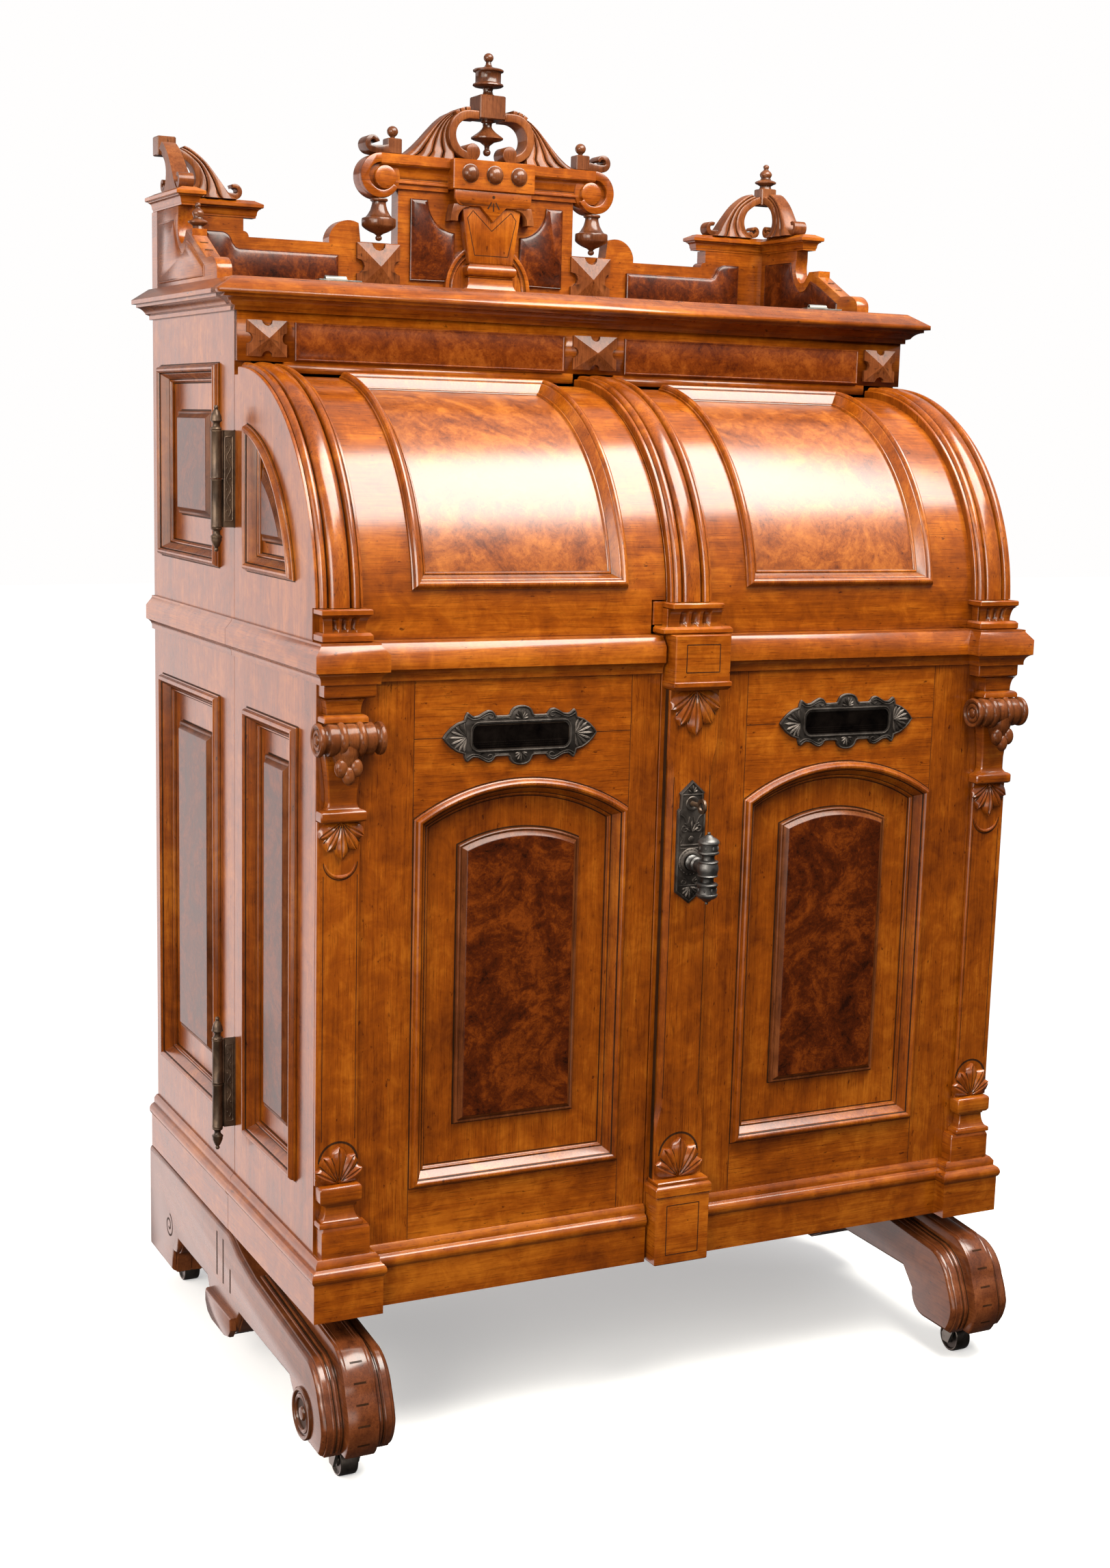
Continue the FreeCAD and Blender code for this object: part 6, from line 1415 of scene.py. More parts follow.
    def tablet(self) -> dict[str, tuple]:
        """Tablet with bosses, apron, keystone, ears, ring, foot and half disc."""
        slab = block((-66, 333, 1633.5), (66, BOARD_Y, CREST), 1.2)
        dome = [(13.5, -0.5), (13.5, 1.2), (12.4, 1.6), (12.2, 3), (10.6, 6.4), (7.4, 9), (3.4, 10.1),
                (0, 10.3)]
        boss = lathe(dome, Axis.Y, -1, 36)
        bosses = [boss.moved(step * 39.4, 333.4, 1657) for step in (-1, 0, 1)]
        side = [(21, 1611), (50, 1611)] + arc((50, 1623), 12.0, -90, 0, 8) + [(62, 1633.5)]
        apron = [(0, 1590)] + side + [(-x, z) for x, z in reversed(side)]
        apron_plate = plate(apron, Axis.Y, 335.8, 341.0, EDGE)
        stone = [(-36, 1529), (36, 1529), (51.5, 1633.5), (-51.5, 1633.5)]
        key = plate(stone, Axis.Y, 340.8, BOARD_Y, ((0, 1.6), (0.6, 0.6), (1.6, 0)))
        swell = [(33.5 + 7 * math.cos(turn), 16.8 + 6.4 * math.cos(turn), 1519 + 8.6 * math.sin(turn))
                 for turn in np.linspace(-1.35, 1.35, 11)]
        foot = [(48, 26.2, 1468), (48, 26.2, 1486), (47, 25.2, 1489), (44.5, 23.4, 1490)]
        foot += cove((44.5, 23.4, 1490.4), (-8.5, -5.4, 0), (0, 0, 18), 0.1, 8)
        foot = pile(0, BOARD_Y, foot + [(38, 20, 1509.6)] + swell + [(36, 18.2, 1529)], 0.6)
        ear = [(38, 1613)] + arc((38, 1591), 18.0, 90, 0, 10)
        ear += [(56, 1588.4), (68, 1588.4), (66.5, 1600), (63, 1613)]
        ears = [plate([(way * x, z) for x, z in ear], Axis.Y, 337.4, BOARD_Y, EDGE) for way in (-1, 1)]
        rings = [(69, 353), (69, 350.6), (66.4, 349.8), (63.6, 350.6), (62.6, 352.4), (59.6, 352.4),
                 (58.2, 351), (56.4, 352.6), (56, 354.4)]
        disc = loft([facing(np.array(arc((0, 1492), reach, -19, 199, 39)), level)
                     for reach, level in [(69, BOARD_Y)] + rings], False)
        middle = plate(arc((0, 1492), 57, -19, 199, 39), Axis.Y, 354.2, BOARD_Y, SHARP)
        cube = block((-20.5, 344, 1738), (20.5, self.back, 1772), 1.4)
        mark = [(-27, 1541), (27, 1541), (39.5, 1594), (31, 1605), (0, 1577), (-31, 1605), (-39.5, 1594)]
        marks = [cut_round(mark, 340.8, 1.2)]
        for turn in np.radians((-34, 0, 34)):
            ray = [(across * math.sin(turn), 1624 - down * math.cos(turn))
                   for across, down in ((6, 7), (11, 13), (17, 19))]
            marks.append(groove(ray, 335.8, 2.2))
        marks.append(lathe([(2.4, 0), (2.4, 0.2), (0, 0.2)], Axis.Y, -1, 16).moved(0, 335.8, 1625.5))
        return {
            "block": (slab + apron_plate, Finish.WALNUT_X), "bosses": (total(bosses), Finish.TURNED),
            "keystone": (key, Finish.WALNUT_Z), "foot": (foot, Finish.WALNUT_X),
            "ears": (total(ears), Finish.CARVED), "disc": (disc, Finish.WALNUT_X),
            "disc_field": (middle, Finish.WALNUT_Z), "cube": (cube, Finish.TURNED),
            "marks": (total(marks), Finish.GROOVE),
        }

    def finials(self) -> Surface:
        """All the turned pieces of the gallery."""
        axis_y = 364.5
        top = [(10, 0), (10.2, 2), (7.8, 3.6), (6.8, 8), (8, 11.6), (14, 13), (20.6, 13.8), (23, 15.4),
               (22.6, 17.4), (20, 18.6), (19, 20), (19, 33), (20, 34.4), (22.6, 35.4), (23, 37.2),
               (21, 38.8), (12, 40.4), (6.2, 42.4), (4.2, 46), (3.8, 49.6)]
        top += bead(7.4, 6.8, 55.2, -0.95, 9)
        parts = [lathe(top).moved(0, axis_y, 1772)]
        hang = [(9.6, 0), (9.6, 2.6), (7, 4.2), (6.6, 9), (8.4, 12.4), (13, 16.8), (19.8, 21.6), (24, 24.6),
                (24, 26.6), (21, 28.2), (11, 31), (7, 34), (4, 36.4), (3.6, 40.6)]
        hang += bead(5.8, 5.4, 45.6, -0.9, 8)
        parts.append(lathe(hang, Axis.Z, -1).moved(0, axis_y, 1738))
        urn = [(12.4, 0), (13, 1.6), (12.4, 3.4), (10.4, 4.4), (10.2, 6.6), (10.8, 10), (12.6, 16),
               (16, 22), (19.4, 26.4), (24.4, 28), (25, 30)]
        urn += [(25, 38), (24, 40), (20, 43.2), (14, 46.6), (7, 49.4), (4, 51.4), (3.4, 52.6)]
        urn += bead(5.0, 4.2, 55.6, -0.7, 7)
        button = [(3.6, 0), (3.4, 2.4), (5, 4)] + bead(8.2, 7.8, 10.2, -0.8, 9)
        for way in (-1, 1):
            parts.append(lathe(urn, Axis.Z, -1).moved(way * self.volute[0], self.urn_y, 1613))
            parts.append(lathe(button).moved(way * 153, 359, 1699))
        bud = [(10, 0), (9, 3), (8.6, 4.6), (12.6, 7), (16.6, 8.8), (17, 10.6), (14.4, 12.4), (8.6, 14.4),
               (7.4, 17.4), (9.2, 20.4), (9.8, 23), (8, 26.4), (4.6, 29), (3.4, 31), (4.6, 33.4),
               (4.4, 35.8), (2.4, 37.6), (0, 38)]
        parts.append(lathe(bud).moved(489, 369, 1675))
        small = [(radius * 0.79, high * 0.92) for radius, high in bud]
        parts.append(lathe(small).moved(-490.5, 205, 1539))
        return total(parts)

    def cap(self) -> Surface:
        """Right corner cap: an L with neck, hollow, fascia and sloped top."""
        shape = anticlockwise([(351, 349), (472, 349), (472, 227), (513, 227), (513, 385), (351, 385)])
        rows = [(9, 1573), (9, 1575.2), (8.2, 1576.2), (7.8, 1578)]
        rows += cove((7.8, 1578), (0, 7), (-4.4, 0), 0.2, 6)
        rows += [(3.4, 1586.2), (1, 1586.6), (0, 1587.6), (0, 1591.6), (0.8, 1592.2), (9.6, 1596.4),
                 (10.2, 1597)]
        loops = []
        for amount, level in rows:
            spots = inset(shape, amount)
            loops.append(np.stack([spots[:, 0], spots[:, 1], np.full(len(spots), level)], 1))
        return solid(loops)

    def side_wing(self) -> Surface:
        """Right side wing: rear post, scoop, small stand and a ramp down to the front foot."""
        scoop = rounded([(256, 1559), (257, 1547), (254, 1534), (246, 1525), (236, 1523), (227, 1529),
                         (219, 1539)], 4)
        foot = rounded([(128, 1498), (105, 1498), (93, 1495), (84, 1488), (81.6, 1481.5)], 3)
        outline = [(81.6, 1468), (359, 1468), (359, 1573), (256, 1573)] + scoop
        outline += [(191, 1539), (191, 1530)] + foot
        return plate(outline, Axis.X, 503.0, 492.5, EDGE) + plate(outline, Axis.X, 482.0, 492.5, EDGE)

    def side_panel(self, face: float, back: float) -> Surface:
        """Raised panel on a side wing, with a scoop and a slope."""
        scoop = rounded([(270, 1556), (266, 1538), (256, 1520), (241, 1510), (226, 1513), (213, 1525)], 3)
        outline = [(136, 1474), (346, 1474), (346, 1556)] + scoop + [(198, 1520), (136, 1488)]
        edge = ((0, 2), (0.9, 0.9), (1.6, 1.2), (2.2, 0.8), (4, 0))
        return plate(outline, Axis.X, face, back, edge)

    def ramp_marks(self) -> Surface:
        """Two short cut lines on the slope of a right side wing."""
        low, high = np.array([128, 1498]), np.array([191, 1530])
        way = (high - low) / np.linalg.norm(high - low)
        lift = np.array([-way[1], way[0]]) * 0.25
        parts = []
        for share in (0.34, 0.68):
            spot = low + (high - low) * share + lift
            rows = [[(487, *(spot + way * step)), (498, *(spot + way * step))] for step in (-1.4, 1.4)]
            parts.append(loft(rows, False))
        return total(parts)

    def burl(self) -> tuple[Surface, Surface]:
        """Right burl panels: the scooped one beside the keystone and the stepped one on the wing."""
        edge = ((0, 2.2), (1, 1.4), (1.6, 1.6), (2.2, 1.4), (5.4, 0))
        crest = [(53, 1501), (124, 1500), (124, 1617), (97, 1617)] + arc((52, 1617), 45.0, -4, -88, 14)
        wing = [(237, 1468.5), (436, 1468.5), (436, 1552), (412, 1552)] + arc((412, 1536), 16.0, 96, 160, 6)
        wing += [(396, 1538.5), (391, 1531.8), (386, 1530), (237, 1530)]
        return (plate(crest, Axis.Y, 353, BOARD_Y, edge), plate(wing, Axis.Y, 351, BOARD_Y, edge))

    def build(self) -> None:
        """Makes the gallery's pieces."""
        crest, wing = self.burl()
        parts = {
            "beam": (self.beam(), Finish.WALNUT_X), "scroll": (self.scroll(), Finish.WALNUT_X),
            "arch": (self.arch(), Finish.CARVED), "fan": (self.crest_fan(), Finish.CARVED),
            "end": (self.cube_end(), Finish.TURNED),
            "corner_back": (self.corner_scroll(Axis.X), Finish.CARVED),
            "corner_side": (self.corner_scroll(Axis.Y), Finish.CARVED),
            "corner_cube": (block((476, 356, 1649), (502, 382, 1675), 1.2), Finish.TURNED),
            "saltire": (saltire((140.5, 1482.6), (207.5, 1549.6), BOARD_Y, 15), Finish.CARVED, 10),
            "wing": (self.side_wing(), Finish.WALNUT_Y), "cap": (self.cap(), Finish.WALNUT_X),
            "side_out": (self.side_panel(505.2, 502), Finish.WALNUT_Y),
            "side_in": (self.side_panel(479.6, 483), Finish.BURL),
            "ramp": (self.ramp_marks(), Finish.GROOVE),
            "crest_burl": (crest, Finish.BURL, 25), "wing_burl": (wing, Finish.BURL, 25),
        }
        stands = {"beam": "gallery_scrolls", "cap": "gallery_caps", "wing": "gallery_returns",
                  "crest_burl": "gallery_panels"}
        set_out("gallery_left_", "carcass", parts, stands, True)
        set_out("gallery_right_", "carcass", parts, {})
        set_out("tablet_", "carcass", self.tablet(), {"block": "gallery_tablet"})
        turnings = {"turnings": (self.finials(), Finish.TURNED, 50)}
        set_out("gallery_", "carcass", turnings, {"turnings": "gallery_finials"})


@dataclass(frozen=True)
class Frieze:
    """Saltire blocks and burl panels on the frieze flap."""

    face: float = -5.0

    def build(self) -> None:
        """Makes the blocks and panels."""
        spans = ((-492, -439), (-33, 33), (439, 492))
        blocks = [saltire((low, 1370), (high, 1415), self.face, 13) for low, high in spans]
        edge = ((0, 2.6), (1, 1.6), (2, 1.4), (2.6, 1.9), (3.4, 1.8), (7.4, 0))
        burls = [plate(rectangle((low, high), (1366, 1414))(0), Axis.Y, self.face - 6, self.face, edge)
                 for low, high in ((-428, -46), (46, 428))]
        # The frieze burl is darkened as painted shade under the cornice.
        parts = {"saltires": (total(blocks), Finish.CARVED, 10), "burl_0": (burls[0], Finish.BURL_RED, 25),
                 "burl_1": (burls[1], Finish.BURL_RED, 25)}
        set_out("frieze_", "top_flap", parts, {"saltires": "frieze_blocks", "burl_0": "frieze_panels"})


def bowed(rows: Sequence[Sequence[float]]) -> list[Pair]:
    """Returns an outline; a third value of a corner bends the side that follows it to that radius."""
    made = []
    for row, after in zip(rows, list(rows[1:]) + [rows[0]]):
        made.append((row[0], row[1]))
        if len(row) < 3:
            continue
        start, end = np.array(row[:2], float), np.array(after[:2], float)
        chord = end - start
        half = np.linalg.norm(chord) / 2
        radius, turn = abs(row[2]), math.copysign(1.0, row[2])
        left = np.array([-chord[1], chord[0]]) / (2 * half)
        centre = (start + end) / 2 + left * turn * math.sqrt(max(radius ** 2 - half ** 2, 0))
        first, last = (math.atan2(spot[1] - centre[1], spot[0] - centre[0]) for spot in (start, end))
        if (last - first) * turn < 0:
            last += turn * 2 * math.pi
        made += arc(tuple(centre), radius, math.degrees(first), math.degrees(last), 10)[1:-1]
    return made


def even(outline: Sequence[Pair], count: int) -> np.ndarray:
    """Returns a closed outline as evenly spaced points."""
    spots = np.array(list(outline) + [outline[0]], float)
    return sample(spots, np.linspace(0, lengths(spots)[-1], count, endpoint=False))


@dataclass(frozen=True)
class LetterPlate:
    """Cast plate with shell ends round a letter slot; the band in the slot is bare."""

    middle: float
    level: float = LETTER_Z
    face: float = FRONT - 4.0
    back: float = FRONT
    half: float = 104.5
    high: float = 37.0
    slot: Pair = (66.0, 16.25)
    quarter: Sequence[Pair] = (
        (1, 0), (0.96, 0.16), (0.9, 0.33), (0.82, 0.48), (0.73, 0.56), (0.722, 0.68), (0.695, 0.84),
        (0.665, 0.78), (0.62, 0.68), (0.55, 0.7), (0.49, 0.8), (0.43, 0.88), (0.38, 0.86), (0.345, 0.76),
        (0.33, 0.68), (0.165, 0.68), (0.15, 0.72), (0.135, 0.84), (0.1, 0.94), (0.05, 0.99), (0, 1),
    )

    def spot(self, across: float, up: float) -> Pair:
        """Returns a place on the plate from shares of its half sizes."""
        return self.middle + across * self.half, self.level + up * self.high

    def outline(self) -> np.ndarray:
        """Returns the outline, from the right tip round."""
        first = list(self.quarter)
        second = [(-across, up) for across, up in reversed(first[:-1])]
        lower = [(across, -up) for across, up in reversed((first + second)[1:-1])]
        return even([self.spot(*row) for row in first + second + lower], 220)

    def opening(self, more: float, bend: float) -> np.ndarray:
        """Returns the slot's outline with rounded corners, from its right end round."""
        wide, tall = self.slot[0] + more, self.slot[1] + more
        spots = [(wide, 0)]
        for start, sign_x, sign_z in ((0, 1, 1), (90, -1, 1), (180, -1, -1), (270, 1, -1)):
            spots += arc((sign_x * (wide - bend), sign_z * (tall - bend)), bend, start, start + 90, 10)
        return even([(self.middle + x, self.level + z) for x, z in spots], 220)

    def ring(self) -> Surface:
        """The plate itself: a skin from its outline to the slot, with a lip over the slot's corners."""
        shape, slot = self.outline(), self.opening(0.4, 1.0)
        rows = [(shape, self.back), (shape, self.face + 1.4), (inset(shape, 1.2), self.face + 0.4),
                (self.opening(4, 12), self.face + 0.4), (self.opening(0.6, 10), self.face - 0.5),
                (self.opening(-0.8, 10), self.face - 0.4), (slot, self.face - 0.3), (slot, self.back)]
        return loft([facing(spots, level) for spots, level in rows])

    def relief(self) -> Surface:
        """Cast beads, shells and curls."""
        face = self.face + 0.2
        curl = rounded([(0.7, 0.68), (0.63, 0.58), (0.55, 0.6), (0.48, 0.7), (0.42, 0.76), (0.375, 0.72),
                        (0.37, 0.64), (0.4, 0.6), (0.43, 0.65)], 4)
        parts = [raised_line(inset(self.outline(), 1.4), face, 1.2, True),
                 raised_line(self.opening(1.6, 11), face - 0.5, 1.2, True)]
        for way in (-1, 1):
            shell = palmette((0, 0), 0.0, 25.0, 2.2, 9, 78.0, False, 0.13).turned(Axis.Y, 90 * way)
            parts.append(shell.moved(self.spot(way * 0.7, 0)[0], self.face + 0.5, self.level))
            parts.append(palmette(self.spot(0, way * 0.56), self.face + 0.5, 12.5, 2, 7, 80, way < 0, 0.17))
            for end in (-1, 1):
                bar = [self.spot(end * across, way * 0.6) for across in (0.16, 0.34)]
                parts.append(raised_line([self.spot(end * x, way * z) for x, z in curl], face, 1))
                parts.append(raised_line(bar, face, 0.8))
        return total(parts)

    def band(self, front: float) -> Surface:
        """Bare band in the slot with a row of small cast pyramids along its foot."""
        count = 177
        wide, tall = self.slot
        across = np.linspace(-wide + 1.2, wide - 1.2, count)
        rows = []
        for up in np.linspace(-tall + 1.2, tall - 2.3, 41):
            share = (up + tall) / (2 * tall)
            grain = np.abs(np.sin(across * 1.1)) * abs(math.sin(up * 1.1)) * (share < 0.3)
            pebble = 0.06 * (1 + np.sin(across * 5.1 + up * 3.7)) * (1 + math.sin(up * 4.9)) / 2
            level = np.full(count, self.level + up)
            rows.append(np.stack([self.middle + across, front - 0.08 - 0.4 * grain - pebble, level], 1))
        return loft(rows, False)


@dataclass(frozen=True)
class Lock:
    """Lock plate, case and T-handle on the right door."""

    face: float = -318.0
    back: float = -315.0
    handle: Pair = (-363.0, 747.0)
    key_z: float = 823.0
    inner: float = -281.0

    def plate(self) -> Surface:
        """Plate with a gabled head and a pointed foot, and its relief."""
        half = [(0, 692), (20.8, 708), (20.8, 814.5), (17.6, 817.5), (17, 834), (18.6, 836.5), (0, 853)]
        outline = half + [(-x, z) for x, z in reversed(half[1:-1])]
        parts = [plate(outline, Axis.Y, self.face, self.back, EDGE)]
        parts.append(raised_line(even(inset(anticlockwise(outline), 2.2), 160), self.face, 1.2, True))
        for z in (834.5, 769.0, 764.5, 716.0):
            parts.append(raised_line([(-15.5, z), (15.5, z)], self.face, 1.1))
        parts.append(palmette((0, 837.5), self.face, 10, 2.2, 5, 70, False, 0.2))
        parts.append(palmette((0, 714), self.face, 16, 2.4, 7, 75, True, 0.18))
        parts.append(palmette((0, 786), self.face, 15, 2.2, 5, 60, False, 0.17))
        collar = [(9.6, 0), (9.6, 1), (8.8, 1.9), (7.2, 2.1), (6, 1.5), (4.9, 0.7), (3.2, 0.5)]
        parts.append(lathe(collar, Axis.Y, -1, 32).moved(0, self.face + 0.3, self.key_z))
        stud = [(4.2, 0), (4.2, 0.9), (3.4, 1.5), (0, 1.8)]
        parts.append(lathe(stud, Axis.Y, -1, 24).moved(0, self.face, 776.5))
        for way in (-1, 1):
            lines = ((spiral((way * 10.5, 791), 6.2, 1.4, 90, 1.4 * way, 34), 1.1),
                     (rounded([(way * 16.4, 809), (way * 11, 805), (way * 6, 797), (way * 3, 806)], 5), 1.1),
                     (rounded([(way * 16, 784), (way * 13, 777), (way * 15.5, 772)], 5), 1),
                     (spiral((way * 9, 721), 4.6, 1.2, 90, 1.2 * way, 26), 1))
            parts += [raised_line(line, self.face, size) for line, size in lines]
        dish = [(18, 0), (18, 1.2), (17.2, 2), (15.4, 2.2), (14.4, 3.2), (11.4, 3.9), (10.6, 3.2), (8.4, 3),
                (7, 2)]
        parts.append(lathe(dish, Axis.Y, -1, 44).moved(0, self.face, self.handle[1]))
        for x, z in circle((0, self.handle[1]), 16.2, 20):
            parts.append(ball((x, self.face - 2.1, z), (1, 0.6, 1), 8))
        return total(parts)

    def case(self) -> Surface:
        """Thin walls of the lock case behind the door front, open where the bolt slides."""
        x, low, high, back = 19.0, 692.0, 853.0, self.inner + 30.0
        walls = [((-x, back - 3, low), (x, back, high)), ((x - 3, self.inner, low), (x, back - 3, high)),
                 ((-x + 3, self.inner, low), (x - 3, back - 3, low + 3)),
                 ((-x + 3, self.inner, high - 3), (x - 3, back - 3, high)),
                 ((-x, self.inner, low), (-x + 3, back - 3, 769.4)),
                 ((-x, self.inner, 780.6), (-x + 3, back - 3, high))]
        return total([block(*wall, 0.4) for wall in walls])

    def grip(self) -> Surface:
        """Turned T-grip with ringed drums, its neck and the spindle through the lock."""
        half = [(13.9, 0), (13.5, 3), (12.6, 6), (12.4, 7.6), (13.4, 9), (12.2, 10.2), (8.8, 11.4), (8, 14),
                (8.6, 17.6), (12.6, 19), (13.8, 20.2), (13.6, 21.8), (12.4, 22.6), (12.4, 31.6),
                (12.6, 32.2), (13.8, 33), (13.8, 34.4), (12.8, 36.4), (10.4, 38.6), (6.4, 40.4),
                (4.4, 42.6), (1.8, 43.8), (2.2, 45), (1.8, 46.4), (0, 47)]
        profile = [(radius, -level) for radius, level in reversed(half[1:])] + half
        body = lathe(profile, Axis.Z, 1, 36).moved(0, *self.handle)
        neck = [(6, -49), (6, 4.6), (10.2, 5), (10.2, 6.4), (8.4, 7.8), (7.2, 11), (8.2, 14), (9.4, 16),
                (9.4, 18), (7.4, 20), (6.6, 25), (7.4, 31), (8.4, 36), (8.4, 42)]
        stem = lathe(neck, Axis.Y, -1, 32).moved(0, self.face, self.handle[1])
        parts = [body, stem]
        for x, y in circle((0, self.handle[0]), 12.3, 8):
            for level in (-27.0, 27.0):
                parts.append(ball((x, y, self.handle[1] + level), (1.3, 1.3, 2.6), 8))
        return total(parts)


@dataclass(frozen=True)
class Hinges:
    """Door hinges: two leaves, a split barrel and turned tips."""

    axis: Pair = (-527.0, 8.1)
    spans: Sequence[Pair] = ((355, 477.5), (1154.5, 1277))
    tip: Sequence[Pair] = (
        (6.4, 0), (7.3, 1.2), (6.8, 2.6), (4.6, 4.4), (4.2, 7.4), (5.2, 9.4), (7.5, 11.4), (7.5, 12.8),
        (6.8, 14.2), (7, 16), (5.6, 20), (3.8, 24), (2.2, 26), (2.8, 27.4), (2.9, 29), (1.8, 30.6), (0, 31),
    )

    def halves(self) -> tuple[Surface, Surface]:
        """Returns the door's half and the carcass's half of both left hinges."""
        door, case = [], []
        x, y = self.axis
        for low, high in self.spans:
            mid = (low + high) / 2
            for parts, start, end in ((case, low, mid - 0.3), (door, mid + 0.3, high)):
                long = end - start
                barrel = [(6.6, 0), (7.4, 0.8), (7.4, 2.2), (7, 2.8), (7, long - 2.8), (7.4, long - 2.2),
                          (7.4, long - 0.8), (6.6, long)]
                parts.append(lathe(barrel, Axis.Z, 1, 28).moved(x, y, start))
            door.append(lathe(self.tip, Axis.Z, 1, 28).moved(x, y, high))
            case.append(lathe(self.tip, Axis.Z, -1, 28).moved(x, y, low))
            leaf = rectangle((-518.7, -481), (low, high))(0.0)
            door.append(plate(leaf, Axis.Y, 5.3, 7.7, FINE_EDGE))
            case.append(plate(leaf, Axis.Y, 10.9, 8.5, FINE_EDGE))
            door.append(block((-522, 5.3, mid + 0.4), (-517, 7.7, high), 0.3))
            case.append(block((-522, 8.5, low), (-517, 10.9, mid - 0.4), 0.3))
            border = rectangle((-516.6, -506.4), (low + 8, high - 8))(0.0)
            door.append(raised_line(even(border, 60), 5.2, 0.9, True, 6))
            turns = np.linspace(0, 7 * math.pi, 90)
            wave = [(-511.5 + 2.6 * math.sin(turn), low + 14 + 94.5 * turn / (7 * math.pi))
                    for turn in turns]
            door.append(raised_line(wave, 5.2, 1))
            for step in range(7):
                middle = (-511.5 - 2.4 * math.cos(math.pi * step), 5.2, low + 14 + 13.5 * (step + 0.5))
                door.append(ball(middle, (1.2, 0.8, 1.6), 10))
        return total(door), total(case)


@dataclass(frozen=True)
class Hardware:
    """All the metalwork of the doors."""

    def build(self) -> None:
        """Makes letter plates, lock, handle and hinges."""
        for tag, middle, front in (("left", -LETTER_X, -306.5), ("right", LETTER_X, -306)):
            cast = LetterPlate(middle)
            shown = cast.ring() + cast.relief()
            made = shown.piece(tag + "_plate_cast", tag + "_door", Finish.IRON, 40.0)
            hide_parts(tag + "_letter_plate")
            body = "letter_flap" if tag == "left" else "right_door"
            # The band is near-black: painted shade of the deep slot.
            cast.band(front).piece(tag + "_plate_band", body, Finish.SLOT, 30.0)
            if tag == "right":
                back = block((middle - 66, -306, 902.8), (middle + 66, FRONT, 935.2), 0.2)
                back.piece("right_plate_blank", "right_door", Finish.IRON)
        lock = Lock()
        made = (lock.plate() + lock.case()).piece("lock_cast", "right_door", Finish.IRON, 40.0)
        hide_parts("lock_plate")
        made = lock.grip().piece("handle_turned", "handle", Finish.GUN, 35.0)
        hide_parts("handle")
        door, case = Hinges().halves()
        for tag in ("left", "right"):
            surface = door.mirrored(tag == "right")
            made = surface.piece(tag + "_hinge_leaves", tag + "_door", Finish.BRONZE, 40.0)
            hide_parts(tag + "_door_hinges")
        made = (case + case.mirrored()).piece("carcass_hinge_leaves", "carcass", Finish.BRONZE, 40.0)
        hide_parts("carcass_hinges")


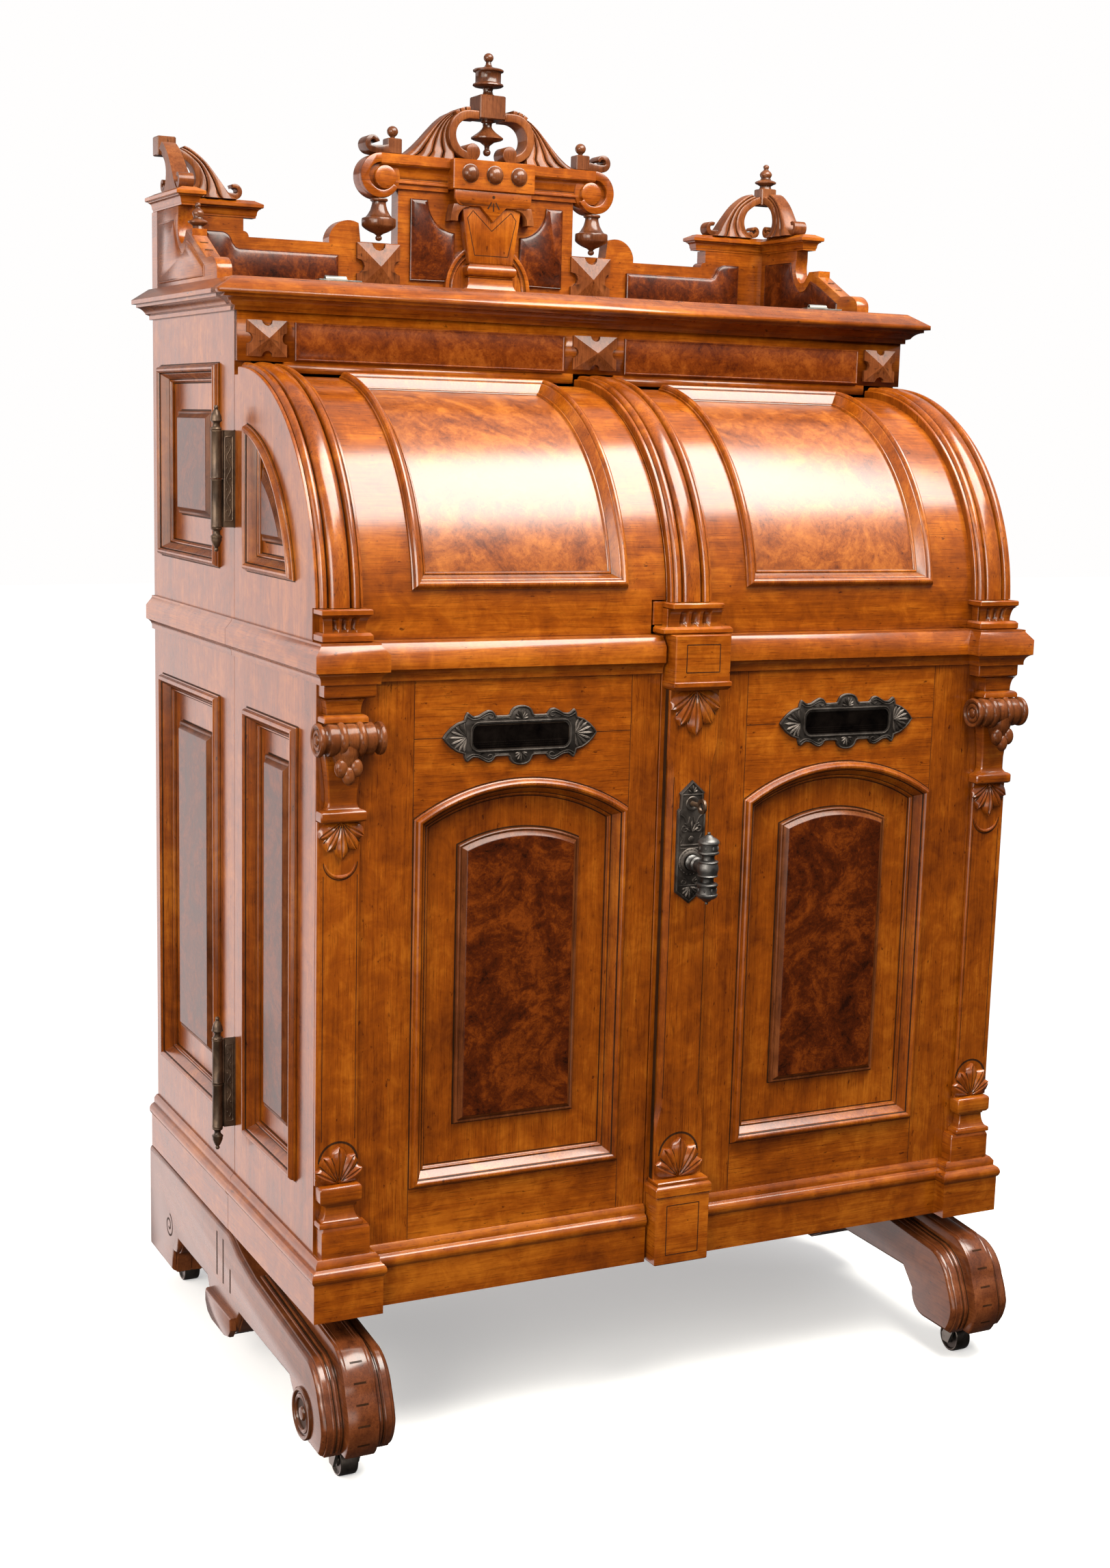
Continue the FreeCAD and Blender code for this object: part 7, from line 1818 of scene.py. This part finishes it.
@dataclass(frozen=True)
class Base:
    """Trestle feet with their cut lines and roundels, and the caster wheels."""

    middle: float = -467.0
    core: float = 20.5
    half: float = 48.5
    roundel: Pair = (-305.5, 82.0)
    set_back: float = 14.0
    set_down: float = 16.0
    axles: Sequence[tuple[str, float]] = (("front", -322), ("rear", 350))

    def outline(self, back: float, drop: float) -> list[Pair]:
        """Side view of a trestle as (y, z)."""
        high = 208.0 - drop
        rows = [(391, 48), (391, 208), (-1, 208), (-41, 199 - drop * 0.4), (-101, high - 12),
                (back - 331, high - 30, 60),
                (back - 377, 130 - drop * 0.5, 120), (back - 391, 86, 60), (back - 377, 48),
                (-305.5, 48, 33), (-272.5, 82), (-250.5, 106), (-50, 106), (-30, 75), (-4, 61), (52, 61),
                (78, 75), (98, 106), (235, 106, 27), (262, 80), (268, 48)]
        return bowed(rows)

    def toe(self, back: float = 0.0, drop: float = 0.0) -> np.ndarray:
        """Returns a line from the shoulder to the toe, on the band or set back on a cheek."""
        rows = bowed([(-60, 200 - drop), (-101, 196 - drop), (back - 331, 178 - drop, 60),
                      (back - 377, 130 - drop * 0.5, 120),
                      (back - 391, 86, 60), (back - 377, 48)])
        return np.array([spot for spot in rows if spot[0] < -100 and spot[1] > 52])

    def cheek(self) -> np.ndarray:
        """Returns the line down the front of a cheek."""
        return self.toe(self.set_back, self.set_down)

    def strand(self, line: np.ndarray, x: float, sunk: float, size: float, steps: int = 8) -> Surface:
        """A bead down a front line, beside the trestle's middle and sunk into the wood."""
        return tube([(self.middle + x, y + sunk, z) for y, z in line], size, steps)

    def wood(self) -> Surface:
        """Core, two cheeks and the drop bracket of the left trestle."""
        band_edge = ((0, 3), (0.8, 1), (3, 0))
        cheek_edge = ((0, 7), (0.9, 6), (1.6, 5.8), (2, 4.6), (2.9, 2.6), (4.4, 1), (6, 0.2), (7, 0))
        cheek = self.outline(self.set_back, self.set_down)
        parts = []
        for way in (-1, 1):
            near, far = self.middle + way * self.core, self.middle + way * self.half
            parts.append(plate(self.outline(0, 0), Axis.X, near, self.middle, band_edge))
            parts.append(plate(cheek, Axis.X, far, near, cheek_edge))
        drop = [(-34, 98), (82, 98), (82, 80), (70, 66), (52, 61), (-4, 61), (-22, 66), (-34, 80)]
        parts.append(plate(drop, Axis.X, self.middle - self.half - 8, self.middle - self.half + 1,
                           ((0, 4), (1.4, 1.4), (4, 0))))
        for x, size in ((-15, 1.5), (15, 1.5), (-10.6, 0.8), (10.6, 0.8)):
            parts.append(self.strand(self.toe(), x, 1.6, size))
        for x in (-34.0, -27.0, 27.0, 34.0):
            parts.append(self.strand(self.cheek(), x, 0.6, 1.9))
        return total(parts)

    def rings(self) -> Surface:
        """Turned roundel on the outer cheek."""
        profile = [(33, 0), (33, 2.4), (31.6, 3.6), (29, 3.9), (27.4, 2.9), (26.6, 1.2), (25, 1.2),
                   (24, 2.6), (21.5, 3.4), (19.6, 2.6), (18.6, 0.4), (9.6, 0.4), (8.8, 1.6), (7.6, 3),
                   (4.4, 3.8), (0, 4)]
        return lathe(profile, Axis.X, -1, 48).moved(self.middle - self.half, *self.roundel)

    def marks(self) -> Surface:
        """Five dashes on the toe, lines and a spiral on the outer cheek, and the roundel's dark ring."""
        line = self.toe()
        long = lengths(line)[-1]
        parts = []
        for spot in np.linspace(long - 118, long - 14, 5):
            ends = sample(line, [spot - 1.3, spot + 1.3])
            way = (ends[1] - ends[0]) / np.linalg.norm(ends[1] - ends[0])
            ends = ends + np.array([way[1], -way[0]]) * 0.2
            rows = [[(self.middle - 8, y, z), (self.middle + 8, y, z)] for y, z in ends[::-1]]
            parts.append(loft(rows, False))
        side = self.middle - self.half
        strips = [([(49, 129), (49, 192)], 5), ([(21, 126), (21, 190)], 5), ([(-10, 124), (-10, 158)], 5),
                  (spiral((285, 116), 19, 3, 100, 1.6, 50), 3.2)]
        for strip, wide in strips:
            flat = groove([(-y, z) for y, z in strip], 0.0, wide)
            spots = flat.points[:, [1, 0, 2]] * np.array([1, -1, 1])
            parts.append(Surface(spots, flat.faces).moved(side))
        ring = lathe([(18.4, 0), (18.4, 0.6), (9.8, 0.6), (9.8, 0)], Axis.X, -1, 40)
        ring = ring.moved(side, *self.roundel)
        for x in (-30.5, -22.4, 22.4, 30.5):
            parts.append(self.strand(self.cheek(), x, 0.5, 1.1, 6))
        return total(parts + [ring])

    def wheel(self) -> Surface:
        """A caster wheel with rounded rims and a hub, round its own axle."""
        half = [(4.4, 12), (7.6, 12), (8.2, 11.2), (8.4, 9.6), (9.6, 9), (16.4, 9), (17.2, 9.8),
                (17.8, 11.4), (19.4, 11.6), (20.6, 10.6), (21, 8.8), (21, 0)]
        profile = [(radius, -along) for radius, along in half]
        return lathe(profile + list(reversed(half[:-1])), Axis.X, 1, 40)

    def build(self) -> None:
        """Makes both trestles and the four wheels."""
        parts = {"wood": (self.wood(), Finish.FOOT, 32), "rings": (self.rings(), Finish.TURNED, 32),
                 "marks": (self.marks(), Finish.GROOVE, 32)}
        for tag, x in (("left", self.middle), ("right", -self.middle)):
            set_out(tag + "_trestle_", "carcass", parts, {"wood": tag + "_trestle"}, tag == "right")
            for end, y in self.axles:
                name = "%s_%s_caster_wheel" % (tag, end)
                made = self.wheel().moved(x, y, 21.0).piece(name + "_cast", name, Finish.IRON)
                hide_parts(name)


@dataclass(frozen=True)
class Inside:
    """Drawer fronts and knobs, a moulded writing board and the filler beside the centre capital."""

    front: float = 13.5
    floor: float = 230.0
    bed: float = 740.0
    near: float = 165.25
    far: float = 480.75

    def build(self) -> None:
        """Makes the inner fittings."""
        step_high = (self.bed - self.floor) / 3
        fronts, knobs = [], []
        edge = ((0, 1.6), (1.2, 0.9), (2.4, 0.9), (3.6, 0))
        knob = [(9, 0), (9, 1.2), (5.4, 2.4), (4.6, 4.6), (7.4, 6.6), (9.4, 9), (8.8, 11.2), (5, 12.4),
                (0, 12.8)]
        for step in range(3):
            low, high = self.floor + step * step_high + 3, self.floor + (step + 1) * step_high - 3
            for way in (-1, 1):
                x = sorted((way * (self.near + 3), way * (self.far - 3)))
                outline = rectangle(x, (low, high))(0.0)
                fronts.append(plate(outline, Axis.Y, self.front - 1.8, self.front, edge))
                for share in (0.28, 0.72):
                    spot = x[0] + (x[1] - x[0]) * share
                    turned = lathe(knob, Axis.Y, -1, 28)
                    knobs.append(turned.moved(spot, self.front - 1.6, (low + high) / 2))
        total(fronts).piece("drawer_fronts", "carcass", Finish.WALNUT_X)
        total(knobs).piece("drawer_knobs", "carcass", Finish.TURNED, 40.0)
        board = rectangle((-478, 478), (765, 1145))(0.0)
        rows = ((0, 1.8), (1.4, 0.8), (3, 0.8), (4.4, 0), (28, 0), (30, 1.2), (31.5, 1.2))
        plate(board, Axis.Y, 20.2, 22.0, rows).piece("fall_frame", "carcass", Finish.WALNUT_X)
        filler = block((-49.5, -288, 1049.5), (-31, -271, 1079), 0.6)
        filler.piece("capital_filler", "right_door", Finish.WALNUT_X)


@dataclass(frozen=True)
class Fronts:
    """Joint lines of the door fronts and of the back, and the cross-grained rails of the doors."""

    seam_face: float = FRONT - 0.15
    rail_face: float = FRONT - 0.1
    rail_back: float = FRONT + 0.1
    slot: Pair = (68.0, 18.5)
    joints: Sequence[float] = (-288.0, -96.0, 96.0, 288.0)

    def seams(self, sign: int) -> Surface:
        """Fine joint lines of one door front."""
        middle, half = sign * PANEL_X, PANEL_HALF + 2
        low, high = middle - half, middle + half
        uprights = [[(x, start), (x, end)] for x in (low, high)
                    for start, end in ((DOOR_FOOT, 353), (822, DOOR_HEAD))]
        across = [[(low, LETTER_Z), (middle - 104 + 1.5 * sign, LETTER_Z)],
                  [(middle + 105 + 6.5 * sign, LETTER_Z), (high, LETTER_Z)]]
        lines = [groove(line, self.seam_face, 0.7) for line in uprights]
        return total(lines + [groove(line, self.seam_face, 0.8) for line in across])

    def rails(self, sign: int) -> Surface:
        """A skin over the rails of one door front, round the panel and the letter slot."""
        middle, half = sign * PANEL_X, PANEL_HALF + 2
        low, high = middle - half, middle + half
        left, right = sign * LETTER_X - self.slot[0], sign * LETTER_X + self.slot[0]
        under, over = LETTER_Z - self.slot[1], LETTER_Z + self.slot[1]
        head = [tuple(spot) for spot in arched(middle, PANEL_HALF, *ARCH)(0)[2:]]
        shapes = [[(high, head[0][1])] + head + [(low, head[-1][1]), (low, under), (high, under)]]
        for u, v in (((low, high), (over, DOOR_HEAD)), ((low, left), (under, over)),
                     ((right, high), (under, over)), ((low, high), (DOOR_FOOT, 353.6))):
            shapes.append(rectangle(u, v)(0))
        return total([plate(shape, Axis.Y, self.rail_face, self.rail_back, SHARP) for shape in shapes])

    def build(self) -> None:
        """Makes the lines on both doors and the back, and the rails."""
        sides = (("left", -1), ("right", 1))
        for tag, sign in sides:
            self.seams(sign).piece(tag + "_seams", tag + "_door", Finish.GROOVE)
        boards = total([groove([(x, 240), (x, 1418)], -385, 2) for x in self.joints])
        boards.turned(Axis.Z, 180.0).piece("back_seams", "carcass", Finish.GROOVE)
        for tag, sign in sides:
            self.rails(sign).piece(tag + "_rails", tag + "_door", Finish.WALNUT_X)


UPRIGHT = ("left_door_side", "right_door_side", "carcass_left_side", "carcass_right_side",
           "left_door_front", "right_door_front")
INNER = ("carcass_interior", "carcass_bottom", "interior_drawers", "writing_fall", "left_door_shelves",
         "right_door_shelves")


def dress_nodes() -> None:
    """Gives every CAD node that is still shown its finish."""
    slots = {entry["node"]: entry["material_slot"] for entry in frame["record"]["subparts"]}
    metals = {"bronze": Finish.BRONZE, "iron": Finish.IRON, "steel": Finish.STEEL}
    finishes = {"carcass_back": Finish.INNER_Z, "carcass_mouldings": Finish.WALNUT_Y}
    finishes.update({name: Finish.WALNUT_Z for name in UPRIGHT})
    finishes.update({name: Finish.INNER for name in INNER})
    for name, item in frame["nodes"].items():
        if item.hide_render:
            continue
        finish = finishes.get(name) or metals.get(slots[name], Finish.WALNUT_X)
        if "caster_fork" in name:
            finish = Finish.STEEL
        dress(name, finish, 0.0 if name == "top_flap" else 0.9)


def main() -> None:
    """Builds the looks."""
    logging.basicConfig(level=logging.INFO)
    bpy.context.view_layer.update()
    for group in (Studio, Doors, Pilasters, Gallery, Frieze, Hardware, Base, Inside, Fronts):
        group().build()
    dress_nodes()


if __name__ == "__main__":
    main()
